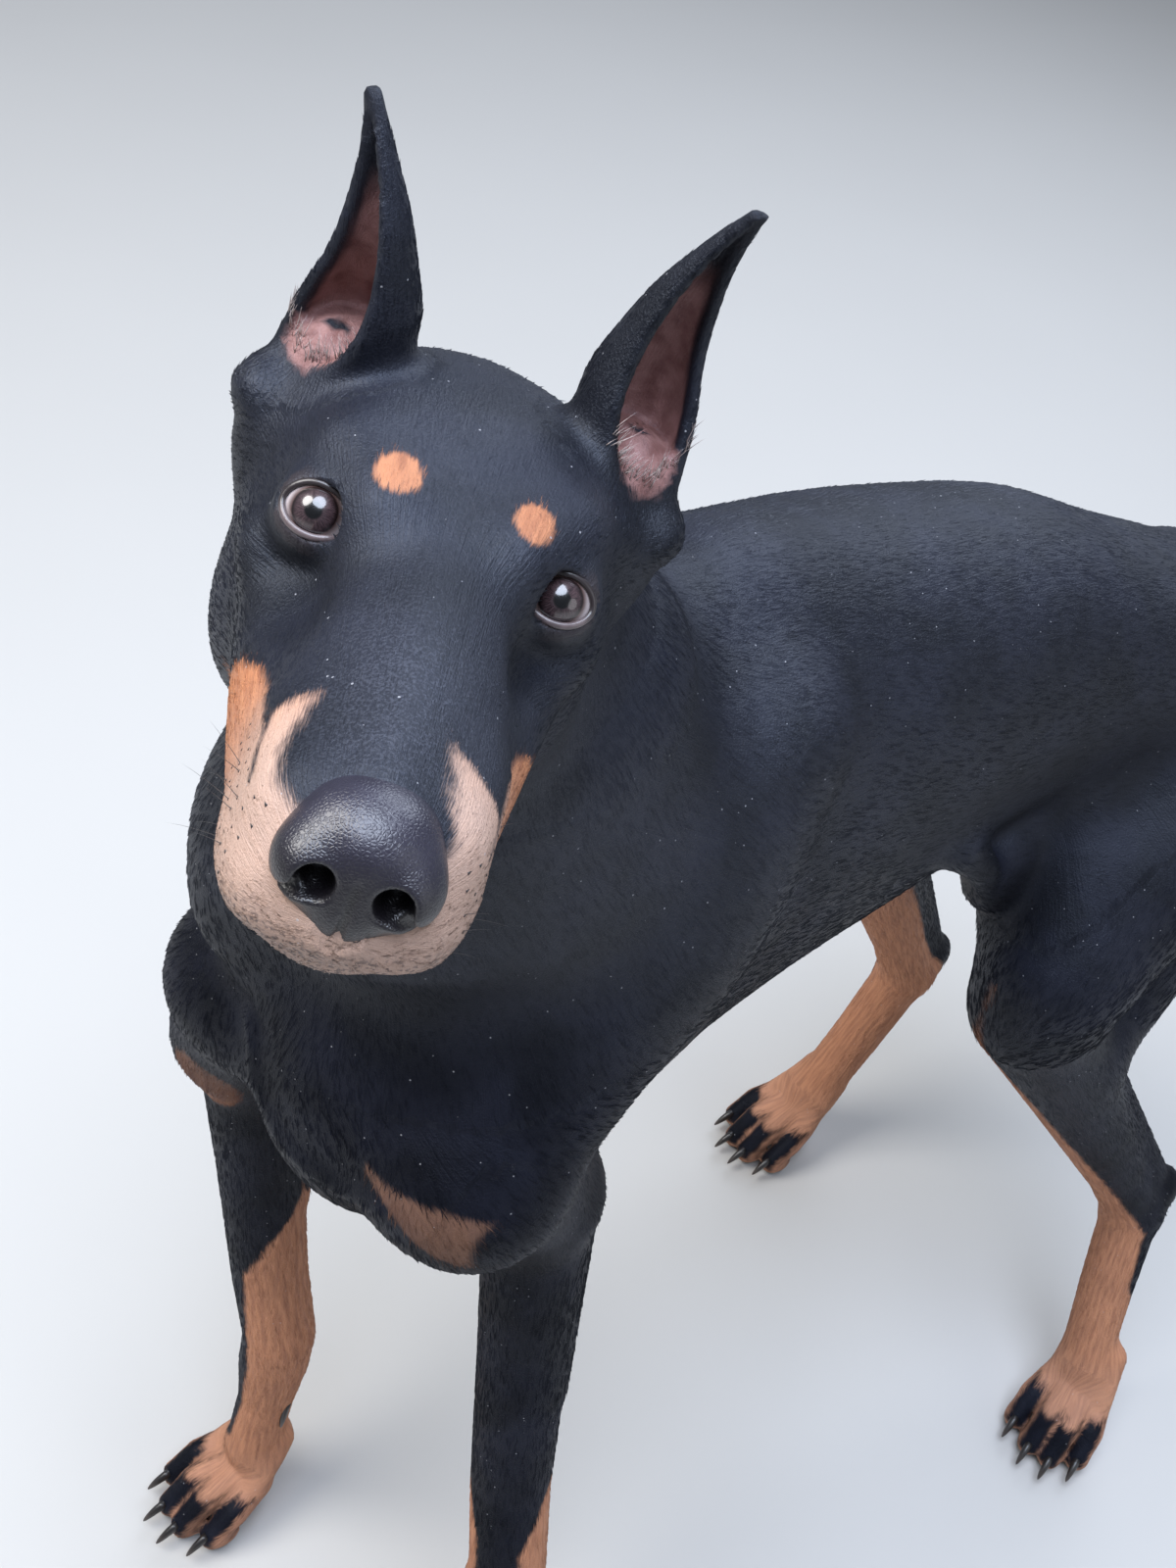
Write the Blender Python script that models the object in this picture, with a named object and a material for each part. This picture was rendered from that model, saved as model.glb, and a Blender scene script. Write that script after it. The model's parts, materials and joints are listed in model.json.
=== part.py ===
"""Solids of a standing doberman pinscher, life size, parted into named pieces with a thin gap between them.

The body is one distance field drawn by sizes: sections for trunk and skull, chains for limbs and neck, eggs
for muscles. Each piece is the field inside a box, cut at the named places.
"""

from __future__ import annotations

import itertools
import math
from dataclasses import dataclass
from typing import Callable

import bmesh
import bpy
import numpy as np
from mathutils import Matrix, Vector

# Driving sizes, in metres and triangles.
PART_GAP = 0.0003
CELL_TRUNK = 0.0070
CELL_LIMB = 0.0040
CELL_PAW = 0.0022
CELL_HEAD = 0.0021
HEAD_TRIANGLES = 4000
TRUNK_TRIANGLES = 1900
NECK_TRIANGLES = 420
UPPER_LIMB_TRIANGLES = 620
PAW_TRIANGLES = 500
CLAW_LENGTH = 0.0135
CLAW_RADIUS = 0.0034

Array = np.ndarray


def unit(vector: Array | tuple) -> Array:
    """The vector made one long.

    Args:
        vector: Three numbers.

    Returns:
        The same direction with length one.
    """
    vector = np.asarray(vector, float)
    return vector / np.linalg.norm(vector)


def between(start: tuple, end: tuple, share: float) -> Array:
    """A place on the line between two points.

    Args:
        start: Where the share is zero.
        end: Where the share is one.
        share: How far along the line.

    Returns:
        The point.
    """
    return np.array(start, float) * (1 - share) + np.array(end, float) * share


def square_axes(forward: tuple, left: tuple) -> Array:
    """Three axes made square to each other.

    Args:
        forward: The first axis.
        left: Roughly the second one.

    Returns:
        Columns forward, left and up.
    """
    forward = unit(forward)
    left = np.asarray(left, float)
    left = unit(left - forward * (left @ forward))
    return np.stack([forward, left, np.cross(forward, left)], 1)


def smooth_table(places: Array, columns: Array, count: int) -> tuple[Array, Array]:
    """Carries each column through its stations along a smooth curve.

    Args:
        places: Where the stations lie.
        columns: One row of values for each station.
        count: How many samples to take.

    Returns:
        The sampled places, and the values as one row for each column.
    """
    slopes = np.gradient(columns, places, axis=0)
    dense = np.linspace(places[0], places[-1], count)
    index = np.clip(np.searchsorted(places, dense, side="right") - 1, 0, len(places) - 2)
    span = places[index + 1] - places[index]
    share = ((dense - places[index]) / span)[:, None]
    span = span[:, None]
    values = (
        (2 * share**3 - 3 * share**2 + 1) * columns[index]
        + (share**3 - 2 * share**2 + share) * span * slopes[index]
        + (3 * share**2 - 2 * share**3) * columns[index + 1]
        + (share**3 - share**2) * span * slopes[index + 1]
    )
    return dense, values.T


def smooth_union(first: Array, second: Array, fillet: float) -> Array:
    """Joins two fields with a fillet.

    Args:
        first: Distances to one shape.
        second: Distances to the other.
        fillet: Width of the rounding where they meet.

    Returns:
        Distances to the joined shape.
    """
    near = np.maximum(fillet - np.abs(first - second), 0.0)
    return np.minimum(first, second) - near * near / (4.0 * fillet)


class Shape:
    """A solid given by its distance, below zero inside. centre and reach bound it."""

    centre: Array
    reach: float

    def distance(self, points: Array, at: Array, around: float) -> Array:
        """Distances of points that all lie within around of at."""
        raise NotImplementedError


class Egg(Shape):
    """An ellipsoid, with its own axes if it is turned."""

    def __init__(self, centre: tuple, radii: tuple, axes: Array | None = None) -> None:
        """Keeps the middle, the three radii and the axes."""
        self.centre = np.array(centre, float)
        self.radii = np.array(radii, float)
        self.axes = axes
        self.reach = float(self.radii.max())

    def distance(self, points: Array, at: Array, around: float) -> Array:
        """Distances of points that all lie within around of at."""
        local = points - self.centre
        if self.axes is not None:
            local = local @ self.axes
        first = np.linalg.norm(local / self.radii, axis=1)
        second = np.linalg.norm(local / self.radii**2, axis=1)
        return first * (first - 1.0) / np.maximum(second, 1e-9)


class Chain(Shape):
    """A limb of round section through several places, with a radius at each."""

    def __init__(self, places: list, radii: tuple) -> None:
        """Keeps the places and the radii."""
        self.places = np.array(places, float)
        self.radii = radii
        self.centre = (self.places.min(0) + self.places.max(0)) / 2
        self.reach = float(np.linalg.norm(self.places - self.centre, axis=1).max() + max(radii))

    def distance(self, points: Array, at: Array, around: float) -> Array:
        """Distances of points that all lie within around of at."""
        found = None
        for number in range(len(self.places) - 1):
            start = self.places[number]
            along = self.places[number + 1] - start
            local = points - start
            share = np.clip(local @ along / (along @ along), 0.0, 1.0)
            away = np.linalg.norm(local - share[:, None] * along, axis=1)
            away -= self.radii[number] + (self.radii[number + 1] - self.radii[number]) * share
            found = away if found is None else np.minimum(found, away)
        return found


class Sections(Shape):
    """A body drawn by its sections along x. A station holds place, top, bottom, half width, level of the
    widest point, upper exponent, lower exponent and the middle's place across."""

    def __init__(self, stations: tuple, bend: Callable[[Array], Array] | None = None) -> None:
        """Keeps the stations as a smooth table, and the bend that straightens a point first."""
        table = np.array(stations, float)
        self.places, self.table = smooth_table(table[:, 0], table[:, 1:], 160)
        self.bend = bend
        low = np.array([table[:, 0].min(), -table[:, 3].max(), table[:, 2].min()])
        high = np.array([table[:, 0].max(), table[:, 3].max(), table[:, 1].max()])
        self.centre = (low + high) / 2
        self.reach = float(np.linalg.norm(high - low) / 2 + (0.05 if bend else 0.0))

    def ratio(self, x: Array, y: Array, z: Array) -> Array:
        """How far out each point is, as a share of the section's radius in its direction."""
        columns = (np.interp(x, self.places, column) for column in self.table[:6])
        top, bottom, width, level, upper, lower = columns
        above = z > level
        height = np.where(above, np.maximum(top - level, 1e-4), np.maximum(level - bottom, 1e-4))
        power = np.where(above, upper, lower)
        across = np.abs(y) / np.maximum(width, 1e-4)
        rise = np.abs(z - level) / height
        return (across**power + rise**power) ** (1.0 / power)

    def distance(self, points: Array, at: Array, around: float) -> Array:
        """Distances of points that all lie within around of at."""
        x, y, z = (self.bend(points) if self.bend else points).T
        beyond = np.maximum(x - self.places[-1], self.places[0] - x)
        x = np.clip(x, self.places[0], self.places[-1])
        level = np.interp(x, self.places, self.table[3])
        y = y - np.interp(x, self.places, self.table[6])
        away = np.maximum(np.hypot(y, z - level), 1e-6)
        surface = away / np.maximum(self.ratio(x, y, z), 1e-6)
        step = 0.003
        taper = (away / np.maximum(self.ratio(x + step, y, z), 1e-6) - surface) / step
        inside = (away - surface) / np.sqrt(1.0 + np.minimum(taper**2, 4.0))
        return np.where(beyond > 0, np.hypot(np.maximum(inside, 0), beyond), inside)


class Cup(Shape):
    """A tapering shell open on one side, as an ear is. A station holds height as a share of the length,
    radius of the cup and half angle of its opening."""

    def __init__(self, line: tuple, bow: tuple, opening: tuple, stations: tuple, wall: float) -> None:
        """Keeps the axis from base to tip with its bow, the way the opening faces, stations and half the wall."""
        base, tip = line
        self.base = np.array(base, float)
        rise = np.array(tip, float) - self.base
        self.length = float(np.linalg.norm(rise))
        axis = rise / self.length
        facing = np.array(opening, float)
        facing = unit(facing - axis * (facing @ axis))
        self.axes = np.stack([facing, np.cross(axis, facing), axis], 1)
        table = np.array(stations, float)
        self.places, self.table = smooth_table(table[:, 0], table[:, 1:], 60)
        self.wall = wall
        self.bow = bow
        self.centre = self.base + rise / 2
        self.reach = self.length / 2 + float(table[:, 1].max()) + 0.006

    def local(self, points: Array) -> tuple[Array, Array, Array, Array, Array]:
        """Places in the cup: outwards, aside, share of the height, radius and half angle of the opening."""
        out, side, up = ((points - self.base) @ self.axes).T
        share = up / self.length
        bent_by = 4.0 * np.clip(share * (1.0 - share), 0.0, 0.25)
        radius, opening = (np.interp(share, self.places, column) for column in self.table)
        return out - self.bow[0] * bent_by, side - self.bow[1] * bent_by, share, radius, np.radians(opening)

    def distance(self, points: Array, at: Array, around: float) -> Array:
        """Distances of points that all lie within around of at."""
        out, side, share, radius, opening = self.local(points)
        side = np.abs(side)
        angle = np.arctan2(side, out)
        rim = np.hypot(out - radius * np.cos(opening), side - radius * np.sin(opening))
        flat = np.where(angle >= opening, np.abs(np.hypot(out, side) - radius), rim)
        thick = self.wall * np.clip(1.25 - 0.45 * share, 0.5, 1.4)
        ends = np.maximum(share - 1.0, self.places[0] - share) * self.length
        return np.where(ends > 0, np.hypot(np.maximum(flat - thick, 0), ends), flat - thick)


class Group(Shape):
    """Shapes joined ("add") or cut ("cut") in turn, each with its fillet. With axes, they lie in a frame."""

    def __init__(self, steps: list, origin: Array | None = None, axes: Array | None = None) -> None:
        """Keeps the steps, and the frame they are given in."""
        self.steps = steps
        self.origin = origin
        self.axes = axes
        solid = [shape for kind, _, shape in steps if kind == "add"]
        centres = np.array([shape.centre for shape in solid])
        middle = (centres.min(0) + centres.max(0)) / 2
        self.reach = max(float(np.linalg.norm(shape.centre - middle)) + shape.reach for shape in solid)
        self.centre = middle if axes is None else origin + axes @ middle

    def distance(self, points: Array, at: Array, around: float) -> Array:
        """Distances of points that all lie within around of at."""
        if self.axes is not None:
            points = (points - self.origin) @ self.axes
            at = self.axes.T @ (at - self.origin)
        found = np.full(len(points), 1.0)
        for kind, fillet, shape in self.steps:
            away = float(np.linalg.norm(shape.centre - at)) - shape.reach - around
            if away > fillet + 0.012:
                continue
            value = shape.distance(points, at, around)
            if kind == "add":
                found = smooth_union(found, value, fillet)
            else:
                found = -smooth_union(-found, value, fillet)
        return found


# Sizes of the body, in metres and degrees. x runs forward, y to the dog's left, z up from the floor.
BEND_START = 0.10
BEND_LENGTH = 0.32
BEND_ANGLE = math.radians(16.0)

# Each station: place, top, bottom, half width, level of the widest point, upper and lower exponent, middle.
TRUNK = (
    (-0.425, 0.545, 0.515, 0.010, 0.530, 2.0, 2.0, 0.0),
    (-0.412, 0.566, 0.500, 0.038, 0.538, 2.0, 2.0, 0.0),
    (-0.380, 0.590, 0.494, 0.062, 0.545, 2.0, 2.0, 0.0),
    (-0.330, 0.614, 0.494, 0.077, 0.556, 2.1, 2.0, 0.0),
    (-0.270, 0.638, 0.498, 0.076, 0.574, 2.2, 1.9, 0.0),
    (-0.210, 0.660, 0.488, 0.072, 0.592, 2.2, 1.8, -0.002),
    (-0.150, 0.684, 0.455, 0.078, 0.600, 2.1, 1.7, -0.006),
    (-0.080, 0.697, 0.412, 0.088, 0.598, 2.0, 1.6, -0.010),
    (0.000, 0.712, 0.386, 0.093, 0.595, 1.9, 1.6, -0.012),
    (0.080, 0.727, 0.378, 0.092, 0.585, 1.8, 1.7, -0.010),
    (0.150, 0.708, 0.382, 0.088, 0.570, 1.8, 1.8, -0.006),
    (0.200, 0.655, 0.410, 0.072, 0.550, 1.9, 1.9, -0.002),
)

# The skull with the upper jaw and its lips, then the lower jaw, both in the head's frame, whose origin lies
# midway between the eyes.
SKULL = (
    (-0.128, -0.010, -0.045, 0.018, -0.026, 2.0, 2.0, 0.0),
    (-0.118, 0.006, -0.068, 0.036, -0.028, 2.0, 2.0, 0.0),
    (-0.100, 0.019, -0.086, 0.047, -0.028, 2.1, 2.1, 0.0),
    (-0.075, 0.0280, -0.092, 0.0540, -0.028, 2.3, 2.2, 0.0),
    (-0.050, 0.0320, -0.090, 0.0555, -0.028, 2.4, 2.2, 0.0),
    (-0.025, 0.0290, -0.085, 0.0530, -0.030, 2.3, 2.3, 0.0),
    (-0.005, 0.0195, -0.079, 0.0490, -0.036, 2.0, 2.5, 0.0),
    (0.015, 0.0095, -0.073, 0.0450, -0.044, 1.8, 2.8, 0.0),
    (0.040, 0.0035, -0.071, 0.0405, -0.049, 1.7, 2.9, 0.0),
    (0.070, -0.0030, -0.070, 0.0350, -0.050, 1.7, 2.9, 0.0),
    (0.092, -0.0085, -0.068, 0.0312, -0.050, 1.7, 2.7, 0.0),
    (0.105, -0.0150, -0.065, 0.0265, -0.050, 1.8, 2.4, 0.0),
    (0.114, -0.0280, -0.061, 0.0190, -0.049, 2.0, 2.2, 0.0),
    (0.119, -0.0400, -0.055, 0.0070, -0.048, 2.0, 2.0, 0.0),
)
LOWER_JAW = (
    (-0.060, -0.060, -0.100, 0.030, -0.080, 2.0, 2.0, 0.0),
    (-0.030, -0.058, -0.096, 0.032, -0.078, 2.0, 2.0, 0.0),
    (0.010, -0.055, -0.090, 0.0310, -0.072, 2.0, 2.2, 0.0),
    (0.040, -0.055, -0.0860, 0.0285, -0.068, 2.0, 2.4, 0.0),
    (0.070, -0.052, -0.0830, 0.0255, -0.066, 2.0, 2.4, 0.0),
    (0.092, -0.050, -0.0790, 0.0210, -0.063, 2.0, 2.2, 0.0),
    (0.102, -0.052, -0.0720, 0.0130, -0.061, 2.0, 2.0, 0.0),
    (0.106, -0.056, -0.0660, 0.0050, -0.061, 2.0, 2.0, 0.0),
)

# Height as a share of the ear, radius of the cup, half angle of its opening.
EAR_STATIONS = (
    (-0.30, 0.0140, 35.0),
    (-0.10, 0.0168, 38.0),
    (0.05, 0.0172, 50.0),
    (0.20, 0.0164, 62.0),
    (0.40, 0.0123, 72.0),
    (0.60, 0.0086, 78.0),
    (0.80, 0.0044, 84.0),
    (0.94, 0.0019, 88.0),
    (1.00, 0.0010, 90.0),
)


@dataclass(frozen=True)
class Leg:
    """Where the joints of a leg lie. upper is the shoulder or hip, middle the elbow or knee, lower the wrist
    or hock, and ball the end of the pastern."""

    side: float
    upper: tuple
    middle: tuple
    lower: tuple
    ball: tuple
    paw: tuple
    heading: float
    size: float


FORE = {
    "left": Leg(1.0, (0.233, 0.064, 0.506), (0.167, 0.061, 0.400), (0.200, 0.133, 0.150),
                (0.223, 0.121, 0.046), (0.233, 0.120), 8.0, 1.06),
    "right": Leg(-1.0, (0.2425, -0.0740, 0.501), (0.2175, -0.1015, 0.388), (0.215, -0.054, 0.150),
                 (0.226, -0.049, 0.046), (0.236, -0.050), -6.0, 1.06),
}
HIND = {
    "left": Leg(1.0, (-0.285, 0.118, 0.535), (-0.165, 0.131, 0.394), (-0.299, 0.220, 0.176),
                (-0.270, 0.257, 0.046), (-0.256, 0.267), 12.0, 1.08),
    "right": Leg(-1.0, (-0.312, 0.018, 0.535), (-0.217, -0.046, 0.391), (-0.326, -0.010, 0.179),
                 (-0.282, -0.018, 0.046), (-0.267, -0.023), -10.0, 1.08),
}


def straighten(points: Array) -> Array:
    """Takes points of the bent trunk back to the straight one.

    Args:
        points: Places round the dog, whose trunk bends to the left behind the withers.

    Returns:
        The same places along a straight trunk.
    """
    radius = BEND_LENGTH / BEND_ANGLE
    x, y, z = points.T
    back = BEND_START - x
    turn = np.arctan2(back, radius - y)
    on_arc_x = BEND_START - turn * radius
    on_arc_y = radius - np.hypot(back, radius - y)
    past_x = back - radius * math.sin(BEND_ANGLE)
    past_y = y - radius * (1 - math.cos(BEND_ANGLE))
    along = past_x * math.cos(BEND_ANGLE) + past_y * math.sin(BEND_ANGLE)
    aside = past_y * math.cos(BEND_ANGLE) - past_x * math.sin(BEND_ANGLE)
    bend_x = np.where(turn < BEND_ANGLE, on_arc_x, BEND_START - BEND_LENGTH - along)
    bend_y = np.where(turn < BEND_ANGLE, on_arc_y, aside)
    return np.stack([np.where(back <= 0, x, bend_x), np.where(back <= 0, y, bend_y), z], 1)


def bent(x: float, y: float, z: float) -> Array:
    """Where a place of the straight trunk comes to lie.

    Args:
        x: Along the trunk, forward.
        y: To the dog's left.
        z: Up from the floor.

    Returns:
        The place on the bent trunk.
    """
    radius = BEND_LENGTH / BEND_ANGLE
    back = BEND_START - x
    if back <= 0:
        return np.array([x, y, z])
    turn = min(back / radius, BEND_ANGLE)
    rest = max(back - BEND_LENGTH, 0.0)
    px = BEND_START - (radius - y) * math.sin(turn) - rest * math.cos(BEND_ANGLE)
    py = radius - (radius - y) * math.cos(turn) + rest * math.sin(BEND_ANGLE)
    return np.array([px, py, z])


@dataclass
class Head:
    """The head's place, its features and their sizes."""

    at: tuple = (0.297, 0.050, 0.845)
    forward: tuple = (0.7031, 0.6766, 0.2188)
    left: tuple = (-0.6542, 0.7360, -0.1737)
    eye_radius: float = 0.0120
    eye_side: float = 0.0355
    eye_back: float = -0.0105
    eye_level: float = -0.0045
    lid: float = 0.0022
    ear_wall: float = 0.0020

    @property
    def axes(self) -> Array:
        """Columns forward, left and up of the head."""
        return square_axes(self.forward, self.left)

    @property
    def origin(self) -> Array:
        """The place midway between the eyes."""
        return np.array(self.at, float)

    def place(self, x: float, y: float, z: float) -> Array:
        """A place given in the head's own frame."""
        return self.origin + self.axes @ np.array([x, y, z], float)

    def eye(self, side: float) -> Array:
        """The middle of an eye, in the head's frame."""
        return np.array([self.eye_back, side * self.eye_side, self.eye_level])

    def look(self, side: float) -> Array:
        """Which way an eye and its lids face, in the head's frame."""
        return unit((0.902, -0.07 + side * 0.10, 0.43))

    def lid_axes(self, side: float) -> Array:
        """Columns look, across towards the head's left, and up over the lids."""
        look = self.look(side)
        across = unit(np.cross((0.0, 0.0, 1.0), look))
        return np.stack([look, across, np.cross(look, across)], 1)

    def ear(self, side: float) -> Cup:
        """The left ear is turned a little further forward than the right one, as the dog holds them."""
        tip = (-0.0420, 0.0514, 0.1114) if side > 0 else (-0.0446, -0.0591, 0.1023)
        turn = math.radians(33.0 if side > 0 else 47.0)
        facing = (math.cos(turn), side * math.sin(turn), 0.10)
        bow = (-0.0077, -0.0011) if side > 0 else (0.0010, 0.0097)
        return Cup(((-0.064, side * 0.0455, 0.026), tip), bow, facing, EAR_STATIONS, self.ear_wall)

    def skull_steps(self) -> list:
        """Skull, jaws, cheeks, brows and lips."""
        steps = [("add", 0.001, Sections(SKULL)), ("add", 0.004, Sections(LOWER_JAW))]
        for side in (-1.0, 1.0):
            arch = [(-0.068, side * 0.0505, -0.022), (-0.018, side * 0.0460, -0.0225)]
            brow = [(-0.020, side * 0.0320, 0.0110), (0.000, side * 0.0210, 0.0090)]
            canine = [(0.092, side * 0.0185, -0.030), (0.060, side * 0.0225, -0.030)]
            steps += [
                ("add", 0.014, Chain(arch, (0.0085, 0.0075))),
                ("add", 0.016, Egg((-0.060, side * 0.028, 0.002), (0.036, 0.026, 0.024))),
                ("add", 0.018, Egg((-0.052, side * 0.040, -0.056), (0.030, 0.017, 0.027))),
                ("add", 0.020, Chain(brow, (0.0075, 0.0055))),
                ("cut", 0.018, Egg((0.014, side * 0.0400, -0.016), (0.018, 0.010, 0.009))),
                ("add", 0.012, Egg((0.082, side * 0.0190, -0.051), (0.024, 0.012, 0.0185))),
                ("add", 0.012, Chain(canine, (0.0100, 0.0090))),
                ("add", 0.018, Egg((-0.066, side * 0.0570, -0.002), (0.017, 0.0125, 0.021))),
                ("add", 0.006, Egg((-0.060, side * 0.0645, 0.0060), (0.0120, 0.0090, 0.0095))),
            ]
        return steps

    def lid_steps(self, side: float) -> list:
        """The lids bulge over the ball of the eye and open on it in an almond."""
        eye, look, lids = self.eye(side), self.look(side), self.lid_axes(side)
        corners = [eye + lids @ (0.0098, 0.0098, 0.0008), eye + lids @ (0.0098, -0.0098, -0.0010)]
        return [
            ("add", 0.006, Egg(eye, (self.eye_radius + self.lid,) * 3)),
            ("cut", 0.0015, Egg(eye + look * self.eye_radius, (0.0060, 0.0100, 0.0078), lids)),
            ("cut", 0.0020, Chain(corners, (0.0030, 0.0030))),
        ]

    def nose_steps(self) -> list:
        """Nose leather with its wings, the nostrils with their slits, and the groove between them."""
        steps = [
            ("add", 0.0030, Egg((0.1050, 0, -0.0270), (0.0165, 0.0180, 0.0142))),
            ("add", 0.0060, Egg((0.1090, 0, -0.0400), (0.0125, 0.0140, 0.0150))),
        ]
        for side in (-1.0, 1.0):
            slit = [(0.1210, side * 0.0115, -0.0365), (0.1165, side * 0.0165, -0.0400),
                    (0.1120, side * 0.0205, -0.0400)]
            steps += [
                ("add", 0.0040, Egg((0.1110, side * 0.0118, -0.0335), (0.0118, 0.0098, 0.0112))),
                ("cut", 0.0018, Egg((0.1215, side * 0.0098, -0.0340), (0.0110, 0.0050, 0.0054))),
                ("cut", 0.0016, Chain(slit, (0.0030, 0.0022, 0.0012))),
            ]
        groove = [(0.1255, 0, -0.0330), (0.1195, 0, -0.0620)]
        steps.append(("cut", 0.0030, Chain(groove, (0.0013, 0.0009))))
        return steps

    def whole(self) -> Group:
        """The head with its ears."""
        steps = self.skull_steps()
        for side in (-1.0, 1.0):
            steps += self.lid_steps(side)
        steps += self.nose_steps()
        for side in (-1.0, 1.0):
            steps.append(("add", 0.007, self.ear(side)))
        return Group(steps, self.origin, self.axes)


@dataclass
class Body:
    """Trunk, neck, tail and legs."""

    head: Head
    toe_spread: float = 0.0138
    toe_radius: float = 0.0092
    breast_at: tuple = (0.198, 0.0, 0.512)
    breast_radii: tuple = (0.088, 0.074, 0.112)
    triceps_at: tuple = (0.124, 0.036, 0.508)
    triceps_radii: tuple = (0.050, 0.026, 0.070)
    shoulder_radii: tuple = (0.032, 0.042, 0.038, 0.032)
    forearm_radii: tuple = (0.0288, 0.0248, 0.0225, 0.0220, 0.0218, 0.0178, 0.0178)
    neck_radii: tuple = (0.092, 0.074, 0.045)
    throat_radii: tuple = (0.078, 0.043)
    fold_at: tuple = (0.245, -0.054, 0.608)
    fold_radii: tuple = (0.0505, 0.0340, 0.0755)
    right_radii: tuple = (0.032, 0.040, 0.0373, 0.0365)
    rump_at: tuple = (-0.030, 0.0, -0.020)
    rump_radii: tuple = (0.068, 0.046, 0.074)
    web_radii: tuple = (0.0095, 0.0100, 0.0096, 0.0096, 0.0105)
    fill_radii: tuple = (0.026, 0.014, 0.028)

    def paw(self, leg: Leg) -> Group:
        """A paw on the floor in its own frame, x along the toes. Each toe is a chain from the pastern."""
        size = leg.size
        steps = [("add", 0.001, Egg((-0.002 * size, 0, 0.0135 * size), (0.0215 * size, 0.0205 * size, 0.0145 * size)))]
        for spread in (-1.5, -0.5, 0.5, 1.5):
            inner = abs(spread) < 1
            reach = 0.044 if inner else 0.033
            side = spread * self.toe_spread
            places = [
                (-0.020, side * 0.45, 0.060),
                (0.002, side * 0.86, 0.0335 if inner else 0.0300),
                (reach - 0.018, side * 1.04, 0.0275 if inner else 0.0240),
                (reach - 0.004, side * 1.10, 0.0130),
            ]
            radii = tuple(self.toe_radius * size * share for share in (0.95, 0.98, 0.98, 0.84))
            pad = ((reach - 0.010) * size, side * 1.08 * size, 0.0078 * size)
            toe = [
                ("add", 0.001, Chain([np.array(place) * size for place in places], radii)),
                ("add", 0.006, Egg(pad, (0.0125 * size, 0.0082 * size, 0.0088 * size))),
            ]
            steps.append(("add", 0.0055, Group(toe)))
        turn = math.radians(leg.heading)
        axes = square_axes((math.cos(turn), math.sin(turn), 0.0), (-math.sin(turn), math.cos(turn), 0.0))
        return Group(steps, np.array([leg.paw[0], leg.paw[1], 0.0]), axes)

    def claws(self, leg: Leg, dewclaw: bool) -> list:
        """Root and direction of each claw of a paw, the dewclaw last."""
        turn = math.radians(leg.heading)
        ahead = np.array([math.cos(turn), math.sin(turn), 0.0])
        aside = np.array([-math.sin(turn), math.cos(turn), 0.0])
        centre = np.array([leg.paw[0], leg.paw[1], 0.0])
        found = []
        for spread in (-1.5, -0.5, 0.5, 1.5):
            reach = (0.044 if abs(spread) < 1 else 0.033) + 0.0030
            side = spread * self.toe_spread * 1.10
            root = centre + leg.size * (ahead * reach + aside * side + (0, 0, 0.0150))
            found.append((root, unit(ahead + aside * spread * 0.05 + (0, 0, -0.28))))
        if dewclaw:
            inner = aside * -leg.side
            root = between(leg.lower, leg.ball, 0.42) + inner * 0.0155 + (-0.004, 0, 0)
            found.append((root, unit(ahead * 0.35 + inner * 0.30 + (0, 0, -0.80))))
        return found

    def fore_leg(self, leg: Leg) -> list:
        """Shoulder blade, upper arm, forearm, wrist, pastern and paw."""
        side = leg.side
        upper, middle, lower, ball = (np.array(place) for place in (leg.upper, leg.middle, leg.lower, leg.ball))
        back = np.array([-1.0, 0.0, -0.05])
        elbow = middle + back * 0.023 + (0, 0, 0.014)
        triceps = self.triceps_at
        blade, arm = (self.shoulder_radii[:2], self.shoulder_radii[2:]) if side > 0 else (
            self.right_radii[:2], self.right_radii[2:])
        forearm = [middle + (0.002, 0, 0.020), between(middle, lower, 0.30), between(middle, lower, 0.70),
                   lower + (0, 0, 0.022), lower + (0.001, 0, -0.010), between(lower, ball, 0.45),
                   ball + (0.002, 0, 0.010)]
        return [
            ("add", 0.030, Chain([(0.085, side * 0.048, 0.665), upper], blade)),
            ("add", 0.024, Chain([upper + (-0.004, 0, -0.010), middle + (0.008, 0, 0.03)], arm)),
            ("add", 0.022, Egg((triceps[0], side * triceps[1], triceps[2]), self.triceps_radii)),
            ("add", 0.016, Chain(forearm, self.forearm_radii)),
            ("add", 0.012, Chain([elbow, between(middle, lower, 0.42) + back * 0.010], (0.0150, 0.0165))),
            ("add", 0.008, Egg(lower + back * 0.0175 + (0, 0, -0.010), (0.0085, 0.0085, 0.0120))),
            ("add", 0.010, self.paw(leg)),
        ]

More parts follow.
